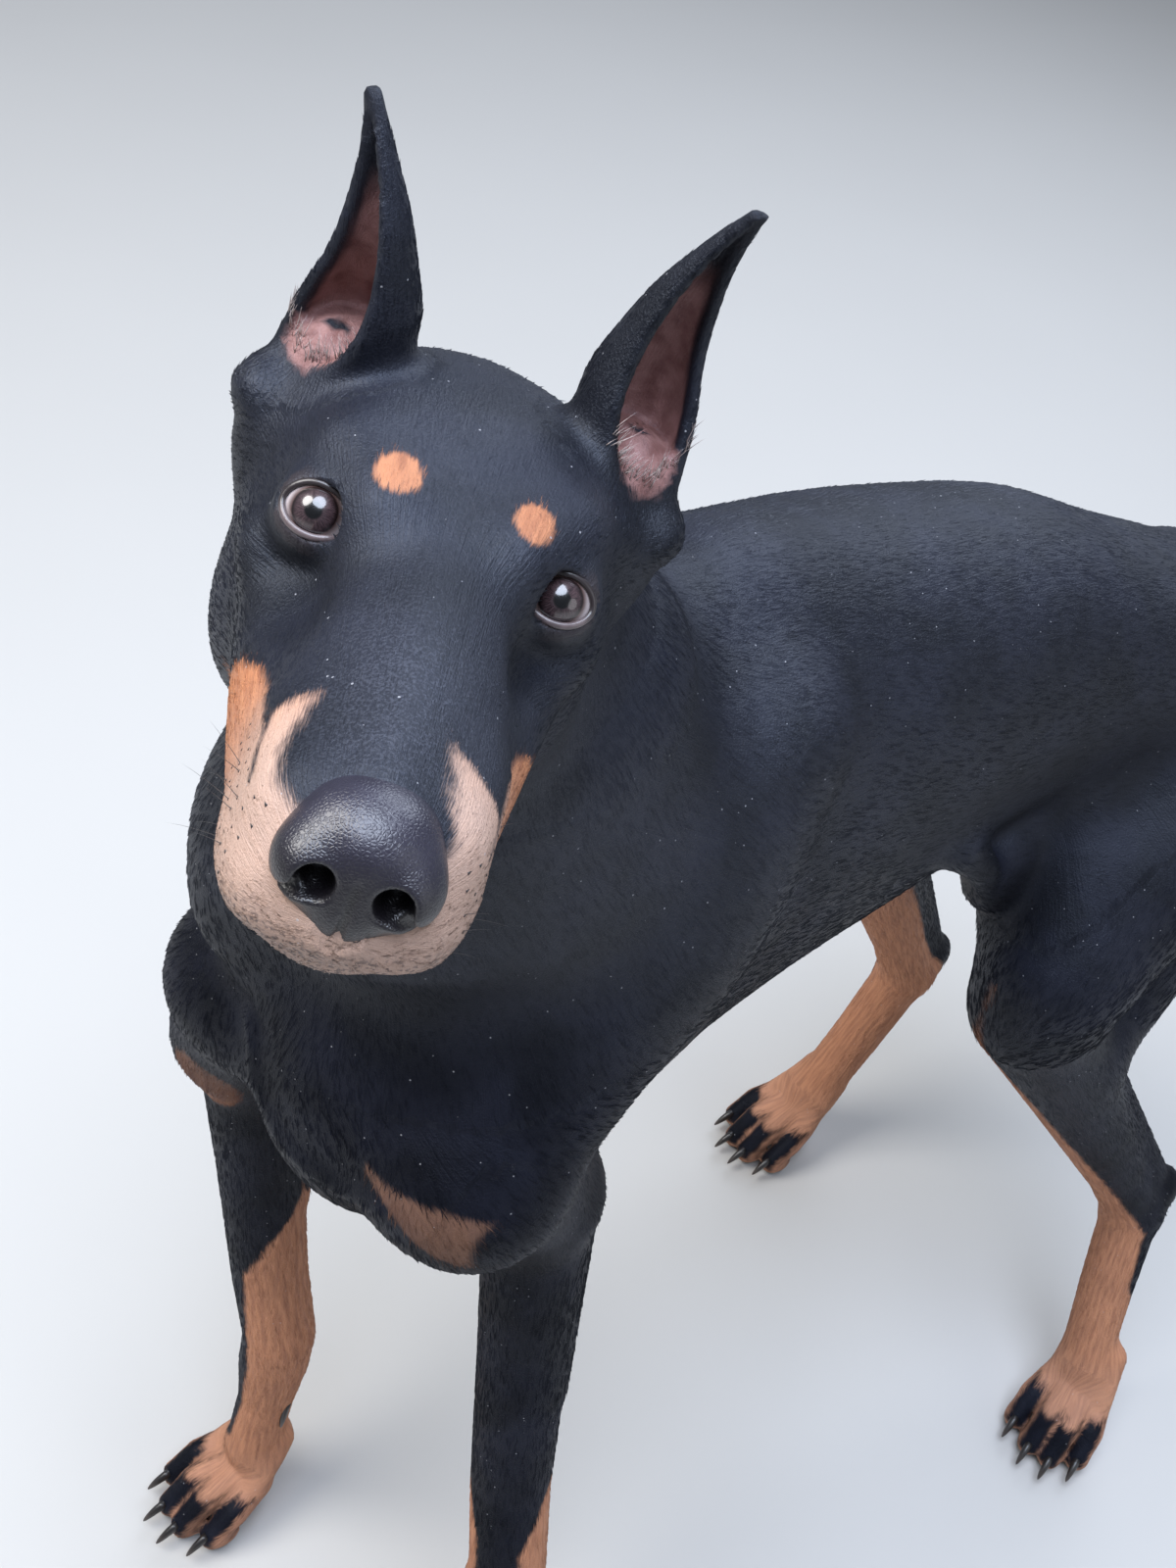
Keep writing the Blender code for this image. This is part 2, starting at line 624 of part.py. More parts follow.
    def hind_leg(self, leg: Leg) -> list:
        """Flank, rump, thigh, shin, hock, pastern and paw."""
        upper, middle, lower, ball = (np.array(place) for place in (leg.upper, leg.middle, leg.lower, leg.ball))
        shin = unit(lower - middle)
        behind = unit(np.cross(shin, np.cross(np.array([-1.0, 0.0, 0.0]), shin)))
        point = lower + (-0.021, 0.004, 0.010)
        flank = bent(-0.205, leg.side * 0.045, 0.520)
        shank = [middle, between(middle, lower, 0.40), between(middle, lower, 0.80), lower]
        pastern = [lower, between(lower, ball, 0.5), ball + (0.0, 0, 0.010)]
        calf = between(middle, lower, 0.35) + behind * 0.026
        inward = np.array([0.0, -leg.side, 0.0])
        belly, knee = bent(-0.114, leg.side * 0.070, 0.515), middle + inward * 0.020 + (-0.003, 0, 0.018)
        web = [bent(-0.086, leg.side * 0.072, 0.540), belly,
               between(belly, knee, 0.55) + inward * 0.022 + (-0.013, 0, 0.001),
               between(belly, knee, 0.78) + inward * 0.016 + (-0.007, 0, 0), knee]
        return [
            ("add", 0.030, Chain([flank, middle + (0.0, 0, 0.050)], (0.026, 0.032))),
            ("add", 0.036, Egg(upper + self.rump_at, self.rump_radii)),
            ("add", 0.030, Chain([upper + (0.02, 0, -0.02), middle + (0.0, 0, 0.03)], (0.064, 0.042))),
            ("add", 0.030, Chain([upper + (-0.060, 0, -0.03), between(middle, lower, 0.25) + behind * 0.024],
                                 (0.052, 0.032))),
            ("add", 0.020, Chain(shank, (0.038, 0.0290, 0.0205, 0.0210))),
            ("add", 0.020, Chain(web, self.web_radii)),
            ("add", 0.018, Egg(between(belly, knee, 0.30) + inward * 0.012 + (-0.024, 0, 0.004), self.fill_radii)),
            ("add", 0.012, Chain([calf, point], (0.014, 0.0105))),
            ("add", 0.008, Egg(point, (0.0145, 0.0125, 0.0170))),
            ("add", 0.010, Chain(pastern, (0.0205, 0.0190, 0.0185))),
            ("add", 0.008, Chain([point + (0.004, 0, -0.01), between(lower, ball, 0.6) + (-0.010, 0, 0)],
                                 (0.0110, 0.0130))),
            ("add", 0.010, self.paw(leg)),
        ]

    def steps(self) -> list:
        """All of the body but the head."""
        nape = self.head.place(-0.100, 0.0, -0.028)
        throat = self.head.place(-0.060, 0.0, -0.060)
        neck_root = [(0.150, 0.0, 0.600), (0.190, -0.008, 0.700)]
        steps = [
            ("add", 0.001, Sections(TRUNK, straighten)),
            ("add", 0.024, Chain([bent(-0.385, 0, 0.572), bent(-0.466, 0, 0.576)], (0.022, 0.0125))),
            ("add", 0.030, Chain([*neck_root, nape], self.neck_radii)),
            ("add", 0.030, Chain([(0.218, -0.012, 0.655), throat], self.throat_radii)),
            ("add", 0.030, Egg(self.breast_at, self.breast_radii)),
            ("add", 0.030, Egg(self.fold_at, self.fold_radii)),
        ]
        for leg in FORE.values():
            steps += self.fore_leg(leg)
        for leg in HIND.values():
            steps += self.hind_leg(leg)
        return steps

    def whole(self) -> Group:
        """The body with its head."""
        return Group(self.steps() + [("add", 0.030, self.head.whole())])


def cell_edges(corners: list) -> list:
    """The twelve edges of a cell.

    Args:
        corners: The eight corners as steps along each axis.

    Returns:
        For each edge its two corners and its axis.
    """
    edges = []
    for axis in range(3):
        for number, corner in enumerate(corners):
            if corner[axis] == 0:
                other = list(corner)
                other[axis] = 1
                edges.append((number, corners.index(tuple(other)), axis))
    return edges


CORNERS = [(i >> 2 & 1, i >> 1 & 1, i & 1) for i in range(8)]
EDGES = cell_edges(CORNERS)


def sheets_of(inside: list) -> dict:
    """Sorts the crossed edges of one cell into the sheets of surface that cross it.

    Args:
        inside: Whether each corner lies inside.

    Returns:
        A sheet for each crossed edge.
    """
    crossed = [n for n, (a, b, _) in enumerate(EDGES) if inside[a] != inside[b]]
    sheet = {n: n for n in crossed}

    def join(first: int, second: int) -> None:
        """Makes two sheets one."""
        old, new = sheet[first], sheet[second]
        for key in sheet:
            if sheet[key] == old:
                sheet[key] = new

    for axis in range(3):
        for level in (0, 1):
            face = [i for i, corner in enumerate(CORNERS) if corner[axis] == level]
            here = [n for n in crossed if EDGES[n][0] in face and EDGES[n][1] in face]
            if len(here) == 2:
                join(*here)
            elif len(here) == 4:
                for corner in face:
                    if inside[corner]:
                        join(*[n for n in here if corner in EDGES[n][:2]])
    return sheet


def sheet_table() -> tuple[Array, Array]:
    """The sheets for every pattern of corners inside. Two sheets in a cell get two points, so the mesh stays closed.

    Returns:
        The sheet of each edge for each pattern, and how many sheets each pattern has.
    """
    table = np.full((256, 12), -1, int)
    counts = np.zeros(256, int)
    for pattern in range(256):
        sheet = sheets_of([bool(pattern >> i & 1) for i in range(8)])
        names = sorted(set(sheet.values()))
        counts[pattern] = len(names)
        for edge, name in sheet.items():
            table[pattern, edge] = names.index(name)
    return table, counts


SHEETS, SHEET_COUNTS = sheet_table()


def sample(shape: Shape, grid: list, block: int = 12) -> Array:
    """The field at every grid point. A block far from the surface takes the value of its middle.

    Args:
        shape: The solid.
        grid: The places of the grid's lines along x, y and z.
        block: Lines to a block.

    Returns:
        The distances.
    """
    values = np.ones(tuple(len(axis) for axis in grid))
    starts = [range(0, len(axis), block) for axis in grid]
    for i, j, k in itertools.product(*starts):
        part = [axis[n : n + block] for axis, n in zip(grid, (i, j, k))]
        low = np.array([axis[0] for axis in part])
        high = np.array([axis[-1] for axis in part])
        middle = (low + high) / 2
        around = float(np.linalg.norm(high - low) / 2)
        quick = float(shape.distance(middle[None], middle, around)[0])
        place = tuple(slice(n, n + len(axis)) for n, axis in zip((i, j, k), part))
        if abs(quick) > 1.6 * around + 0.020:
            values[place] = quick
            continue
        spots = np.stack(np.meshgrid(*part, indexing="ij"), -1).reshape(-1, 3)
        values[place] = shape.distance(spots, middle, around).reshape([len(axis) for axis in part])
    return values


def cell_points(values: Array, grid: list) -> tuple[Array, Array, Array, Array, Array]:
    """One point for each sheet of surface in each cell.

    Args:
        values: The field at the grid points.
        grid: The grid's lines.

    Returns:
        Points, the cells that are crossed, their patterns, their first points, and the index of each cell.
    """
    inside = values < 0
    shape = np.array(values.shape) - 1
    pattern = np.zeros(shape, int)
    for number, corner in enumerate(CORNERS):
        place = tuple(slice(corner[axis], corner[axis] + shape[axis]) for axis in range(3))
        pattern |= inside[place].astype(int) << number
    cells = np.argwhere((pattern > 0) & (pattern < 255))
    codes = pattern[tuple(cells.T)]
    counts = SHEET_COUNTS[codes]
    first = np.zeros(len(cells), int)
    first[1:] = np.cumsum(counts)[:-1]
    sums = np.zeros((int(counts.sum()), 3))
    hits = np.zeros(len(sums))
    for number, (start_corner, end_corner, axis) in enumerate(EDGES):
        sheet = SHEETS[codes, number]
        rows = np.nonzero(sheet >= 0)[0]
        start = cells[rows] + CORNERS[start_corner]
        end = cells[rows] + CORNERS[end_corner]
        value = values[tuple(start.T)]
        share = value / (value - values[tuple(end.T)])
        spot = np.stack([grid[n][start[:, n]] for n in range(3)], 1)
        spot[:, axis] += share * (grid[axis][end[:, axis]] - spot[:, axis])
        target = first[rows] + sheet[rows]
        np.add.at(sums, target, spot)
        np.add.at(hits, target, 1.0)
    index = np.full(shape, -1)
    index[tuple(cells.T)] = np.arange(len(cells))
    return sums / hits[:, None], codes, first, index, inside


def polygonise(shape: Shape, grid: list) -> tuple[Array, Array]:
    """A closed mesh of quads on the surface of a solid.

    Args:
        shape: The solid.
        grid: The grid's lines along x, y and z. What sticks out of it is cut flat.

    Returns:
        Points and quads.
    """
    values = sample(shape, grid)
    for axis in range(3):
        for end in (0, -1):
            rim = [slice(None)] * 3
            rim[axis] = end
            values[tuple(rim)] = np.maximum(values[tuple(rim)], 0.001)
    values[np.abs(values) < 1e-7] = 1e-7
    points, codes, first, index, inside = cell_points(values, grid)
    size = np.array(index.shape)
    quads = []
    for axis in range(3):
        others = [n for n in range(3) if n != axis]
        ahead, behind = [slice(None)] * 3, [slice(None)] * 3
        ahead[axis], behind[axis] = slice(1, None), slice(None, -1)
        starts = np.argwhere(inside[tuple(behind)] != inside[tuple(ahead)])
        keep = np.all((starts[:, others] > 0) & (starts[:, others] < size[others]), axis=1)
        starts = starts[keep]
        rising = inside[tuple(starts.T)]
        ring = []
        for shift in ((0, 0), (1, 0), (1, 1), (0, 1)):
            cell = starts.copy()
            cell[:, others[0]] -= shift[0]
            cell[:, others[1]] -= shift[1]
            row = index[tuple(cell.T)]
            corner = [0, 0, 0]
            corner[others[0]], corner[others[1]] = shift
            low = CORNERS.index(tuple(corner))
            number = next(n for n, edge in enumerate(EDGES) if edge[0] == low and edge[2] == axis)
            ring.append(first[row] + SHEETS[codes[row], number])
        quad = np.stack(ring, 1)
        turned = rising if axis == 1 else ~rising
        quad[turned] = quad[turned][:, ::-1]
        quads.append(quad)
    return points, np.concatenate(quads)


def slope_of(shape: Shape, points: Array, step: float) -> tuple[Array, Array]:
    """The field and its slope at some points.

    Args:
        shape: The solid.
        points: Where to look, in an order that keeps neighbours together.
        step: How far apart the two samples of a slope lie.

    Returns:
        Distances, and the slope at each point.
    """
    here = np.empty(len(points))
    slope = np.empty((len(points), 3))
    for start in range(0, len(points), 4000):
        some = points[start : start + 4000]
        middle = (some.min(0) + some.max(0)) / 2
        around = float(np.linalg.norm(some.max(0) - some.min(0)) / 2)
        value = shape.distance(some, middle, around)
        here[start : start + 4000] = value
        for axis in range(3):
            shift = np.zeros(3)
            shift[axis] = step
            slope[start : start + 4000, axis] = (shape.distance(some + shift, middle, around) - value) / step
    return here, slope


def settle(shape: Shape, points: Array, cell: float, rounds: int = 2) -> Array:
    """Moves points onto the surface, each by less than half a cell at a time.

    Args:
        shape: The solid.
        points: Points near its surface.
        cell: The size of the cells that they come from.
        rounds: How many times.

    Returns:
        The points moved.
    """
    for _ in range(rounds):
        here, slope = slope_of(shape, points, cell * 0.25)
        move = -(here / np.maximum((slope**2).sum(1), 0.25))[:, None] * slope
        length = np.linalg.norm(move, axis=1)
        points = points + move * np.minimum(1.0, cell * 0.4 / np.maximum(length, 1e-9))[:, None]
    return points


def lines(low: float, high: float, cell: float) -> Array:
    """Evenly spaced lines of a grid.

    Args:
        low: The first.
        high: The last.
        cell: The most that two lie apart.

    Returns:
        Their places.
    """
    return np.linspace(low, high, max(2, int(math.ceil((high - low) / cell)) + 1))


def new_object(name: str, points: Array, faces: list) -> bpy.types.Object:
    """Makes an object from points and faces and links it to the scene."""
    mesh = bpy.data.meshes.new(name)
    mesh.from_pydata(np.asarray(points).tolist(), [], [list(map(int, face)) for face in faces])
    obj = bpy.data.objects.new(name, mesh)
    bpy.context.scene.collection.objects.link(obj)
    return obj


def apply_modifier(obj: bpy.types.Object, kind: str, **settings: object) -> None:
    """Adds a modifier to an object and applies it at once."""
    modifier = obj.modifiers.new(kind, kind)
    for key, value in settings.items():
        setattr(modifier, key, value)
    graph = bpy.context.evaluated_depsgraph_get()
    mesh = bpy.data.meshes.new_from_object(obj.evaluated_get(graph))
    old = obj.data
    obj.modifiers.clear()
    obj.data = mesh
    bpy.data.meshes.remove(old)


def fitted(name: str, shape: Shape, low: Array | tuple, high: Array | tuple, cell: float, triangles: int) -> bpy.types.Object:
    """The part of a shape that lies inside a box, as a mesh.

    Args:
        name: The object's name.
        shape: The solid.
        low: The box's lowest corner.
        high: Its highest corner.
        cell: Size of the cells that the mesh is made from.
        triangles: About how many triangles to keep.

    Returns:
        The object.
    """
    points, quads = polygonise(shape, [lines(a, b, cell) for a, b in zip(low, high)])
    obj = new_object(name, settle(shape, points, cell), quads)
    ratio = triangles / max(2 * len(quads), 1)
    if ratio < 1.0:
        apply_modifier(obj, "DECIMATE", ratio=ratio)
    return obj


def boolean(obj: bpy.types.Object, cutter: bpy.types.Object, operation: str) -> None:
    """Cuts or keeps with another object, which is then removed."""
    apply_modifier(obj, "BOOLEAN", object=cutter, operation=operation, solver="MANIFOLD")
    bpy.data.objects.remove(cutter)


def keep_largest(obj: bpy.types.Object) -> None:
    """Drops crumbs that a cut leaves beside the piece."""
    work = bmesh.new()
    work.from_mesh(obj.data)
    seen = set()
    shells = []
    for start in work.faces:
        if start in seen:
            continue
        shell, front = [], [start]
        seen.add(start)
        while front:
            face = front.pop()
            shell.append(face)
            for edge in face.edges:
                for other in edge.link_faces:
                    if other not in seen:
                        seen.add(other)
                        front.append(other)
        shells.append(shell)
    largest = max(shells, key=len)
    for shell in shells:
        if shell is not largest:
            bmesh.ops.delete(work, geom=shell, context="FACES")
    work.to_mesh(obj.data)
    work.free()


def fix_normals(obj: bpy.types.Object) -> None:
    """Turns every face outward."""
    work = bmesh.new()
    work.from_mesh(obj.data)
    bmesh.ops.recalc_face_normals(work, faces=work.faces)
    work.to_mesh(obj.data)
    work.free()


def rings_object(name: str, rings: list) -> bpy.types.Object:
    """A closed tube through rings of points, with flat ends."""
    count = len(rings[0])
    points = [spot for ring in rings for spot in ring]
    faces = [list(range(count))[::-1], list(range(len(points) - count, len(points)))]
    for row in range(len(rings) - 1):
        for number in range(count):
            after = (number + 1) % count
            start = row * count
            faces.append([start + number, start + after, start + count + after, start + count + number])
    obj = new_object(name, points, faces)
    fix_normals(obj)
    return obj


def drum(stretch: tuple) -> bpy.types.Object:
    """A round bar whose ends lie in two given planes: start, its normal, end, its normal, and the radius."""
    start, start_normal, end, end_normal, radius = stretch
    axis = unit(end - start)
    aside = unit(np.cross(axis, (0.31, 0.95, 0.07)))
    third = np.cross(axis, aside)
    rings = []
    for origin, normal in ((start, start_normal), (end, end_normal)):
        ring = []
        for number in range(28):
            angle = 2 * math.pi * number / 28
            spoke = origin + radius * (math.cos(angle) * aside + math.sin(angle) * third)
            ring.append(spoke - axis * ((spoke - origin) @ normal) / (axis @ normal))
        rings.append(ring)
    return rings_object("drum", rings)


def oval_bar(centre: tuple, across: tuple, radii: tuple, inner: float, outer: float) -> bpy.types.Object:
    """An oval bar that stands out sideways, from inner to outer."""
    across = unit(across)
    ahead = unit(np.cross((0.0, 0.0, 1.0), across))
    upward = np.cross(across, ahead)
    rings = []
    for depth in (inner, outer):
        angles = (2 * math.pi * number / 40 for number in range(40))
        rings.append([centre + across * depth + radii[0] * math.cos(angle) * ahead + radii[1] * math.sin(angle) * upward
                      for angle in angles])
    return rings_object("oval_bar", rings)


def block(low: tuple, high: tuple, origin: Array | tuple = (0, 0, 0), axes: Array = np.eye(3)) -> bpy.types.Object:
    """A box given by two corners in its own frame."""
    corners = np.array([[(low, high)[(i >> n) & 1][n] for n in range(3)] for i in range(8)], float)
    points = np.array(origin) + corners @ np.asarray(axes).T
    faces = [(0, 2, 3, 1), (4, 5, 7, 6), (0, 1, 5, 4), (2, 6, 7, 3), (0, 4, 6, 2), (1, 3, 7, 5)]
    obj = new_object("block", points, faces)
    fix_normals(obj)
    return obj


def beyond(point: Array | tuple, normal: Array | tuple, reach: float = 0.6) -> bpy.types.Object:
    """Everything on the far side of a plane, within reach."""
    normal = unit(normal)
    aside = unit(np.cross(normal, (0.30, 0.95, 0.10)))
    axes = np.stack([normal, aside, np.cross(normal, aside)], 1)
    return block((0, -reach, -reach), (reach, reach, reach), point, axes)


def ball(name: str, centre: Array, radii: tuple, axes: Array, segments: int, rings: int) -> bpy.types.Object:
    """An ellipsoid with its own axes."""
    obj = new_object(name, [], [])
    work = bmesh.new()
    bmesh.ops.create_uvsphere(work, u_segments=segments, v_segments=rings, radius=1.0)
    matrix = np.eye(4)
    matrix[:3, :3] = np.asarray(axes) * np.array(radii)
    matrix[:3, 3] = centre
    bmesh.ops.transform(work, matrix=Matrix(matrix.tolist()), verts=work.verts)
    work.to_mesh(obj.data)
    work.free()
    fix_normals(obj)
    return obj


def copy_of(obj: bpy.types.Object, name: str) -> bpy.types.Object:
    """A copy with its own mesh."""
    made = obj.copy()
    made.data = obj.data.copy()
    made.name = name
    bpy.context.scene.collection.objects.link(made)
    return made


@dataclass(frozen=True)
class Cut:
    """A plane that parts the body: a point and the way to its far side."""

    point: Array
    normal: Array

    def keep(self, obj: bpy.types.Object, far: bool) -> None:
        """Keeps one side of the plane, less half the gap."""
        sign = 1.0 if far else -1.0
        boolean(obj, beyond(self.point + sign * self.normal * PART_GAP / 2, self.normal * sign), "INTERSECT")


@dataclass
class HeadParts:
    """The head with its ears, lower jaw, nose leather and eyes."""

    head: Head
    whole: Shape
    cut: Cut

    def prism(self, outline: list, half_width: float) -> bpy.types.Object:
        """A side outline in the head's frame carried straight across."""
        rings = []
        for side in (-1, 1):
            rings.append([self.head.place(x, side * half_width, z) for x, z in outline])
        return rings_object("prism", rings)

    def ear_region(self, side: float, grow: float) -> bpy.types.Object:
        """The box that holds an ear."""
        up = unit((-0.10, side * 0.42, 0.90))
        across = unit(np.cross((1.0, 0, 0), up))
        axes = np.stack([up, across, np.cross(up, across)], 1)
        base = np.array([-0.066, side * 0.0470, 0.036]) - up * grow
        return block((0, -0.045, -0.045), (0.13, 0.045, 0.045), self.head.place(*base), self.head.axes @ axes)

    def nose_region(self, grow: float) -> bpy.types.Object:
        """The ball that holds the nose leather."""
        radii = np.array((0.0215, 0.0215, 0.0195)) + grow
        return ball("nose_region", self.head.place(0.1240, 0.0, -0.0300), radii, self.head.axes, 28, 14)

    def jaw_region(self, grow: float) -> bpy.types.Object:
        """The prism that holds the lower jaw, whose upper edge is the line of the mouth."""
        mouth = [(0.004, -0.0600), (0.030, -0.0645), (0.060, -0.0665), (0.090, -0.0630), (0.112, -0.0560)]
        outline = [(x - grow, z + grow) for x, z in mouth]
        outline += [(0.135 + grow, -0.0540 + grow), (0.135 + grow, -0.141)]
        outline += [(-0.055 - grow, -0.141), (-0.040 - grow, -0.0960 + grow)]
        return self.prism(outline, 0.06 + grow)

    def build(self) -> dict:
        """Makes the nodes of the head."""
        middle = self.head.origin
        low, high = middle - (0.135, 0.165, 0.135), middle + (0.125, 0.135, 0.150)
        skull = fitted("head", self.whole, low, high, CELL_HEAD, HEAD_TRIANGLES)
        self.cut.keep(skull, True)
        regions = {
            "ear_left": lambda grow: self.ear_region(1.0, grow),
            "ear_right": lambda grow: self.ear_region(-1.0, grow),
            "nose": self.nose_region,
            "lower_jaw": self.jaw_region,
        }
        nodes = {name: copy_of(skull, name) for name in regions}
        for name, region in regions.items():
            boolean(nodes[name], region(0.0), "INTERSECT")
            boolean(skull, region(PART_GAP), "DIFFERENCE")
        nodes["head"] = skull
        eyes = {}
        for side, name in ((1.0, "left"), (-1.0, "right")):
            centre = self.head.place(*self.head.eye(side))
            look, across, up = self.head.lid_axes(side).T
            axes = self.head.axes @ np.stack([across, up, look], 1)
            radius = self.head.eye_radius - 0.0002
            eyes[f"eye_{name}"] = ball(f"eye_{name}", centre, (radius,) * 3, axes, 18, 10)
            boolean(skull, ball("socket", centre, (radius + PART_GAP * 1.5,) * 3, axes, 24, 14), "DIFFERENCE")
        for obj in nodes.values():
            keep_largest(obj)
        return {**nodes, **eyes}


def claw(name: str, root: Array, ahead: Array, grow: float = 0.0, back: float = -0.25) -> bpy.types.Object:
    """A claw that curves down from its root to a blunt point, or its socket when it is grown."""
    aside = unit(np.cross((0.0, 0.0, 1.0), ahead))
    rings = []
    for share in (back, 0.15, 0.6, 1.0):
        bow = max(share, 0.0)
        middle = root + ahead * (CLAW_LENGTH * share) + (0, 0, -0.0042 * bow**2)
        thick = CLAW_RADIUS * (1.0 - 0.72 * bow**1.3) + grow
        lift = unit(np.cross(ahead + (0, 0, -0.75 * bow), aside))
        angles = (2 * math.pi * number / 7 for number in range(7))
        rings.append([middle + thick * (0.82 * math.cos(angle) * aside + math.sin(angle) * lift) for angle in angles])
    return rings_object(name, rings)


@dataclass
class LimbParts:
    """One leg: shoulder or thigh, then three stretches down to the floor, and its claws."""

    body: Body
    whole: Shape
    kind: str
    name: str
    leg: Leg
    neck_cut: Cut

    PIECES = {
        "fore": (("forearm", 330), ("pastern", 210), ("paw", PAW_TRIANGLES)),
        "hind": (("lower_leg", 360), ("pastern", 250), ("paw", PAW_TRIANGLES)),
    }

    def joints(self) -> list:
        """The places of the cuts across the leg, from its top to below the floor."""
        leg = self.leg
        top = between(leg.middle, leg.lower, 0.16 if self.kind == "fore" else 0.10)
        floor = np.array([leg.paw[0], leg.paw[1], -0.030])
        return [top, np.array(leg.lower), np.array(leg.ball), floor]

    def normal(self, number: int) -> Array:
        """Which way the cut at a joint faces."""
        spots = self.joints()
        if number == 0:
            return unit(spots[1] - spots[0])
        if number == len(spots) - 1:
            return np.array([0.0, 0.0, -1.0])
        return unit(unit(spots[number + 1] - spots[number]) + unit(spots[number] - spots[number - 1]))

    def stretch(self, number: int, grow: float = 0.0) -> tuple:
        """The drum round one stretch of the leg."""
        spots = self.joints()
        first, second = self.normal(number), self.normal(number + 1)
        start = spots[number] + first * (PART_GAP / 2 - grow)
        end = spots[number + 1] - second * PART_GAP / 2
        return start, first, end, second, (0.062, 0.050, 0.075)[number]

    def region(self, grow: float) -> bpy.types.Object:
        """The oval bar that parts the shoulder or thigh from the trunk."""
        side = self.leg.side
        if self.kind == "fore":
            return oval_bar((0.168, 0.0, 0.530), (0, side, 0), (0.108 + grow, 0.185 + grow), 0.050 - grow, 0.30)
        across = side * np.array([math.sin(BEND_ANGLE), math.cos(BEND_ANGLE), 0.0])
        middle = bent(-0.300, 0.0, 0.505)
        return oval_bar(middle, across, (0.128 + grow, 0.150 + grow), 0.034 - grow, 0.30)

    def box(self) -> tuple:
        """The box round the shoulder or thigh."""
        if self.kind == "fore":
            return ((0.04, 0.035, 0.33), (0.29, 0.16, 0.73)) if self.leg.side > 0 else (
                (0.04, -0.17, 0.33), (0.29, -0.035, 0.73))
        return ((-0.46, 0.04, 0.33), (-0.08, 0.25, 0.69)) if self.leg.side > 0 else (
            (-0.47, -0.12, 0.33), (-0.10, 0.10, 0.69))

    def stretches(self) -> dict:
        """The three lower pieces of the leg."""
        made = {}
        for number, (piece, triangles) in enumerate(self.PIECES[self.kind]):
            start, first, end, second, radius = self.stretch(number)
            low, high = np.minimum(start, end) - 0.062, np.maximum(start, end) + 0.062
            low[2] = max(min(start[2], end[2]) - 0.035, -0.012)
            high[2] = max(start[2], end[2]) + 0.035
            cell = CELL_PAW if piece == "paw" else CELL_LIMB
            obj = fitted(f"{self.kind}_{piece}_{self.name}", self.whole, low, high, cell, triangles)
            boolean(obj, drum((start, first, end, second, radius)), "INTERSECT")
            if piece == "paw":
                boolean(obj, beyond((0, 0, 0), (0, 0, 1)), "INTERSECT")
            keep_largest(obj)
            made[piece] = obj
        return made

    def build(self, trunk: bpy.types.Object) -> dict:
        """Makes the leg's nodes and cuts their room out of the trunk."""
        made = self.stretches()
        nodes = {obj.name: obj for obj in made.values()}
        for number, (root, ahead) in enumerate(self.body.claws(self.leg, self.kind == "fore")):
            label = f"claw_{self.kind}_{self.name}_{number + 1}" if number < 4 else f"dewclaw_{self.name}"
            nodes[label] = claw(label, root, ahead)
            holder = made["paw"] if number < 4 else made["pastern"]
            boolean(holder, claw("socket", root, ahead, PART_GAP, -0.35), "DIFFERENCE")
            keep_largest(holder)
        label = f"{'shoulder' if self.kind == 'fore' else 'thigh'}_{self.name}"
        upper = fitted(label, self.whole, *self.box(), 0.0060, UPPER_LIMB_TRIANGLES)
        boolean(upper, self.region(0.0), "INTERSECT")
        self.neck_cut.keep(upper, False)
        boolean(upper, drum(self.stretch(0, PART_GAP)), "DIFFERENCE")
        keep_largest(upper)
        boolean(trunk, self.region(PART_GAP), "DIFFERENCE")
        boolean(trunk, drum(self.stretch(0, PART_GAP)), "DIFFERENCE")
        return {**nodes, label: upper}


def build_tail(whole: Shape, trunk: bpy.types.Object) -> bpy.types.Object:
    """Cuts the short tail from the trunk."""
    root = bent(-0.424, 0.0, 0.574)
    way = unit(bent(-0.466, 0, 0.576) - bent(-0.385, 0, 0.572))
    axes = square_axes(way, (0.27, 0.96, 0))
    tail = fitted("tail", whole, root - (0.09, 0.05, 0.05), root + (0.03, 0.06, 0.05), 0.004, 240)
    boolean(tail, block((0, -0.04, -0.030), (0.09, 0.04, 0.04), root, axes), "INTERSECT")
    boolean(trunk, block((-PART_GAP, -0.041, -0.0303), (0.09, 0.041, 0.041), root, axes), "DIFFERENCE")
    keep_largest(tail)
    return tail


@dataclass(frozen=True)
class Finish:
    """Colour and roughness of one kind of surface."""

    kind: str
    colour: tuple
    roughness: float

    def put_on(self, obj: bpy.types.Object) -> None:
        """Gives a node its own material."""
        material = bpy.data.materials.new(f"{obj.name}_{self.kind}")
        material.use_nodes = True
        shader = material.node_tree.nodes["Principled BSDF"]
        shader.inputs["Base Color"].default_value = (*self.colour, 1.0)
        shader.inputs["Roughness"].default_value = self.roughness
        material.diffuse_color = (*self.colour, 1.0)
        obj.data.materials.clear()
        obj.data.materials.append(material)


FINISHES = {
    "eye": Finish("eye", (0.060, 0.032, 0.026), 0.08),
    "claw": Finish("claw", (0.030, 0.026, 0.026), 0.40),
    "nose": Finish("nose_leather", (0.030, 0.028, 0.034), 0.35),
    "pastern": Finish("rust_coat", (0.42, 0.20, 0.10), 0.60),
    "paw": Finish("rust_coat", (0.42, 0.20, 0.10), 0.60),
    "": Finish("black_coat", (0.018, 0.018, 0.022), 0.45),
}


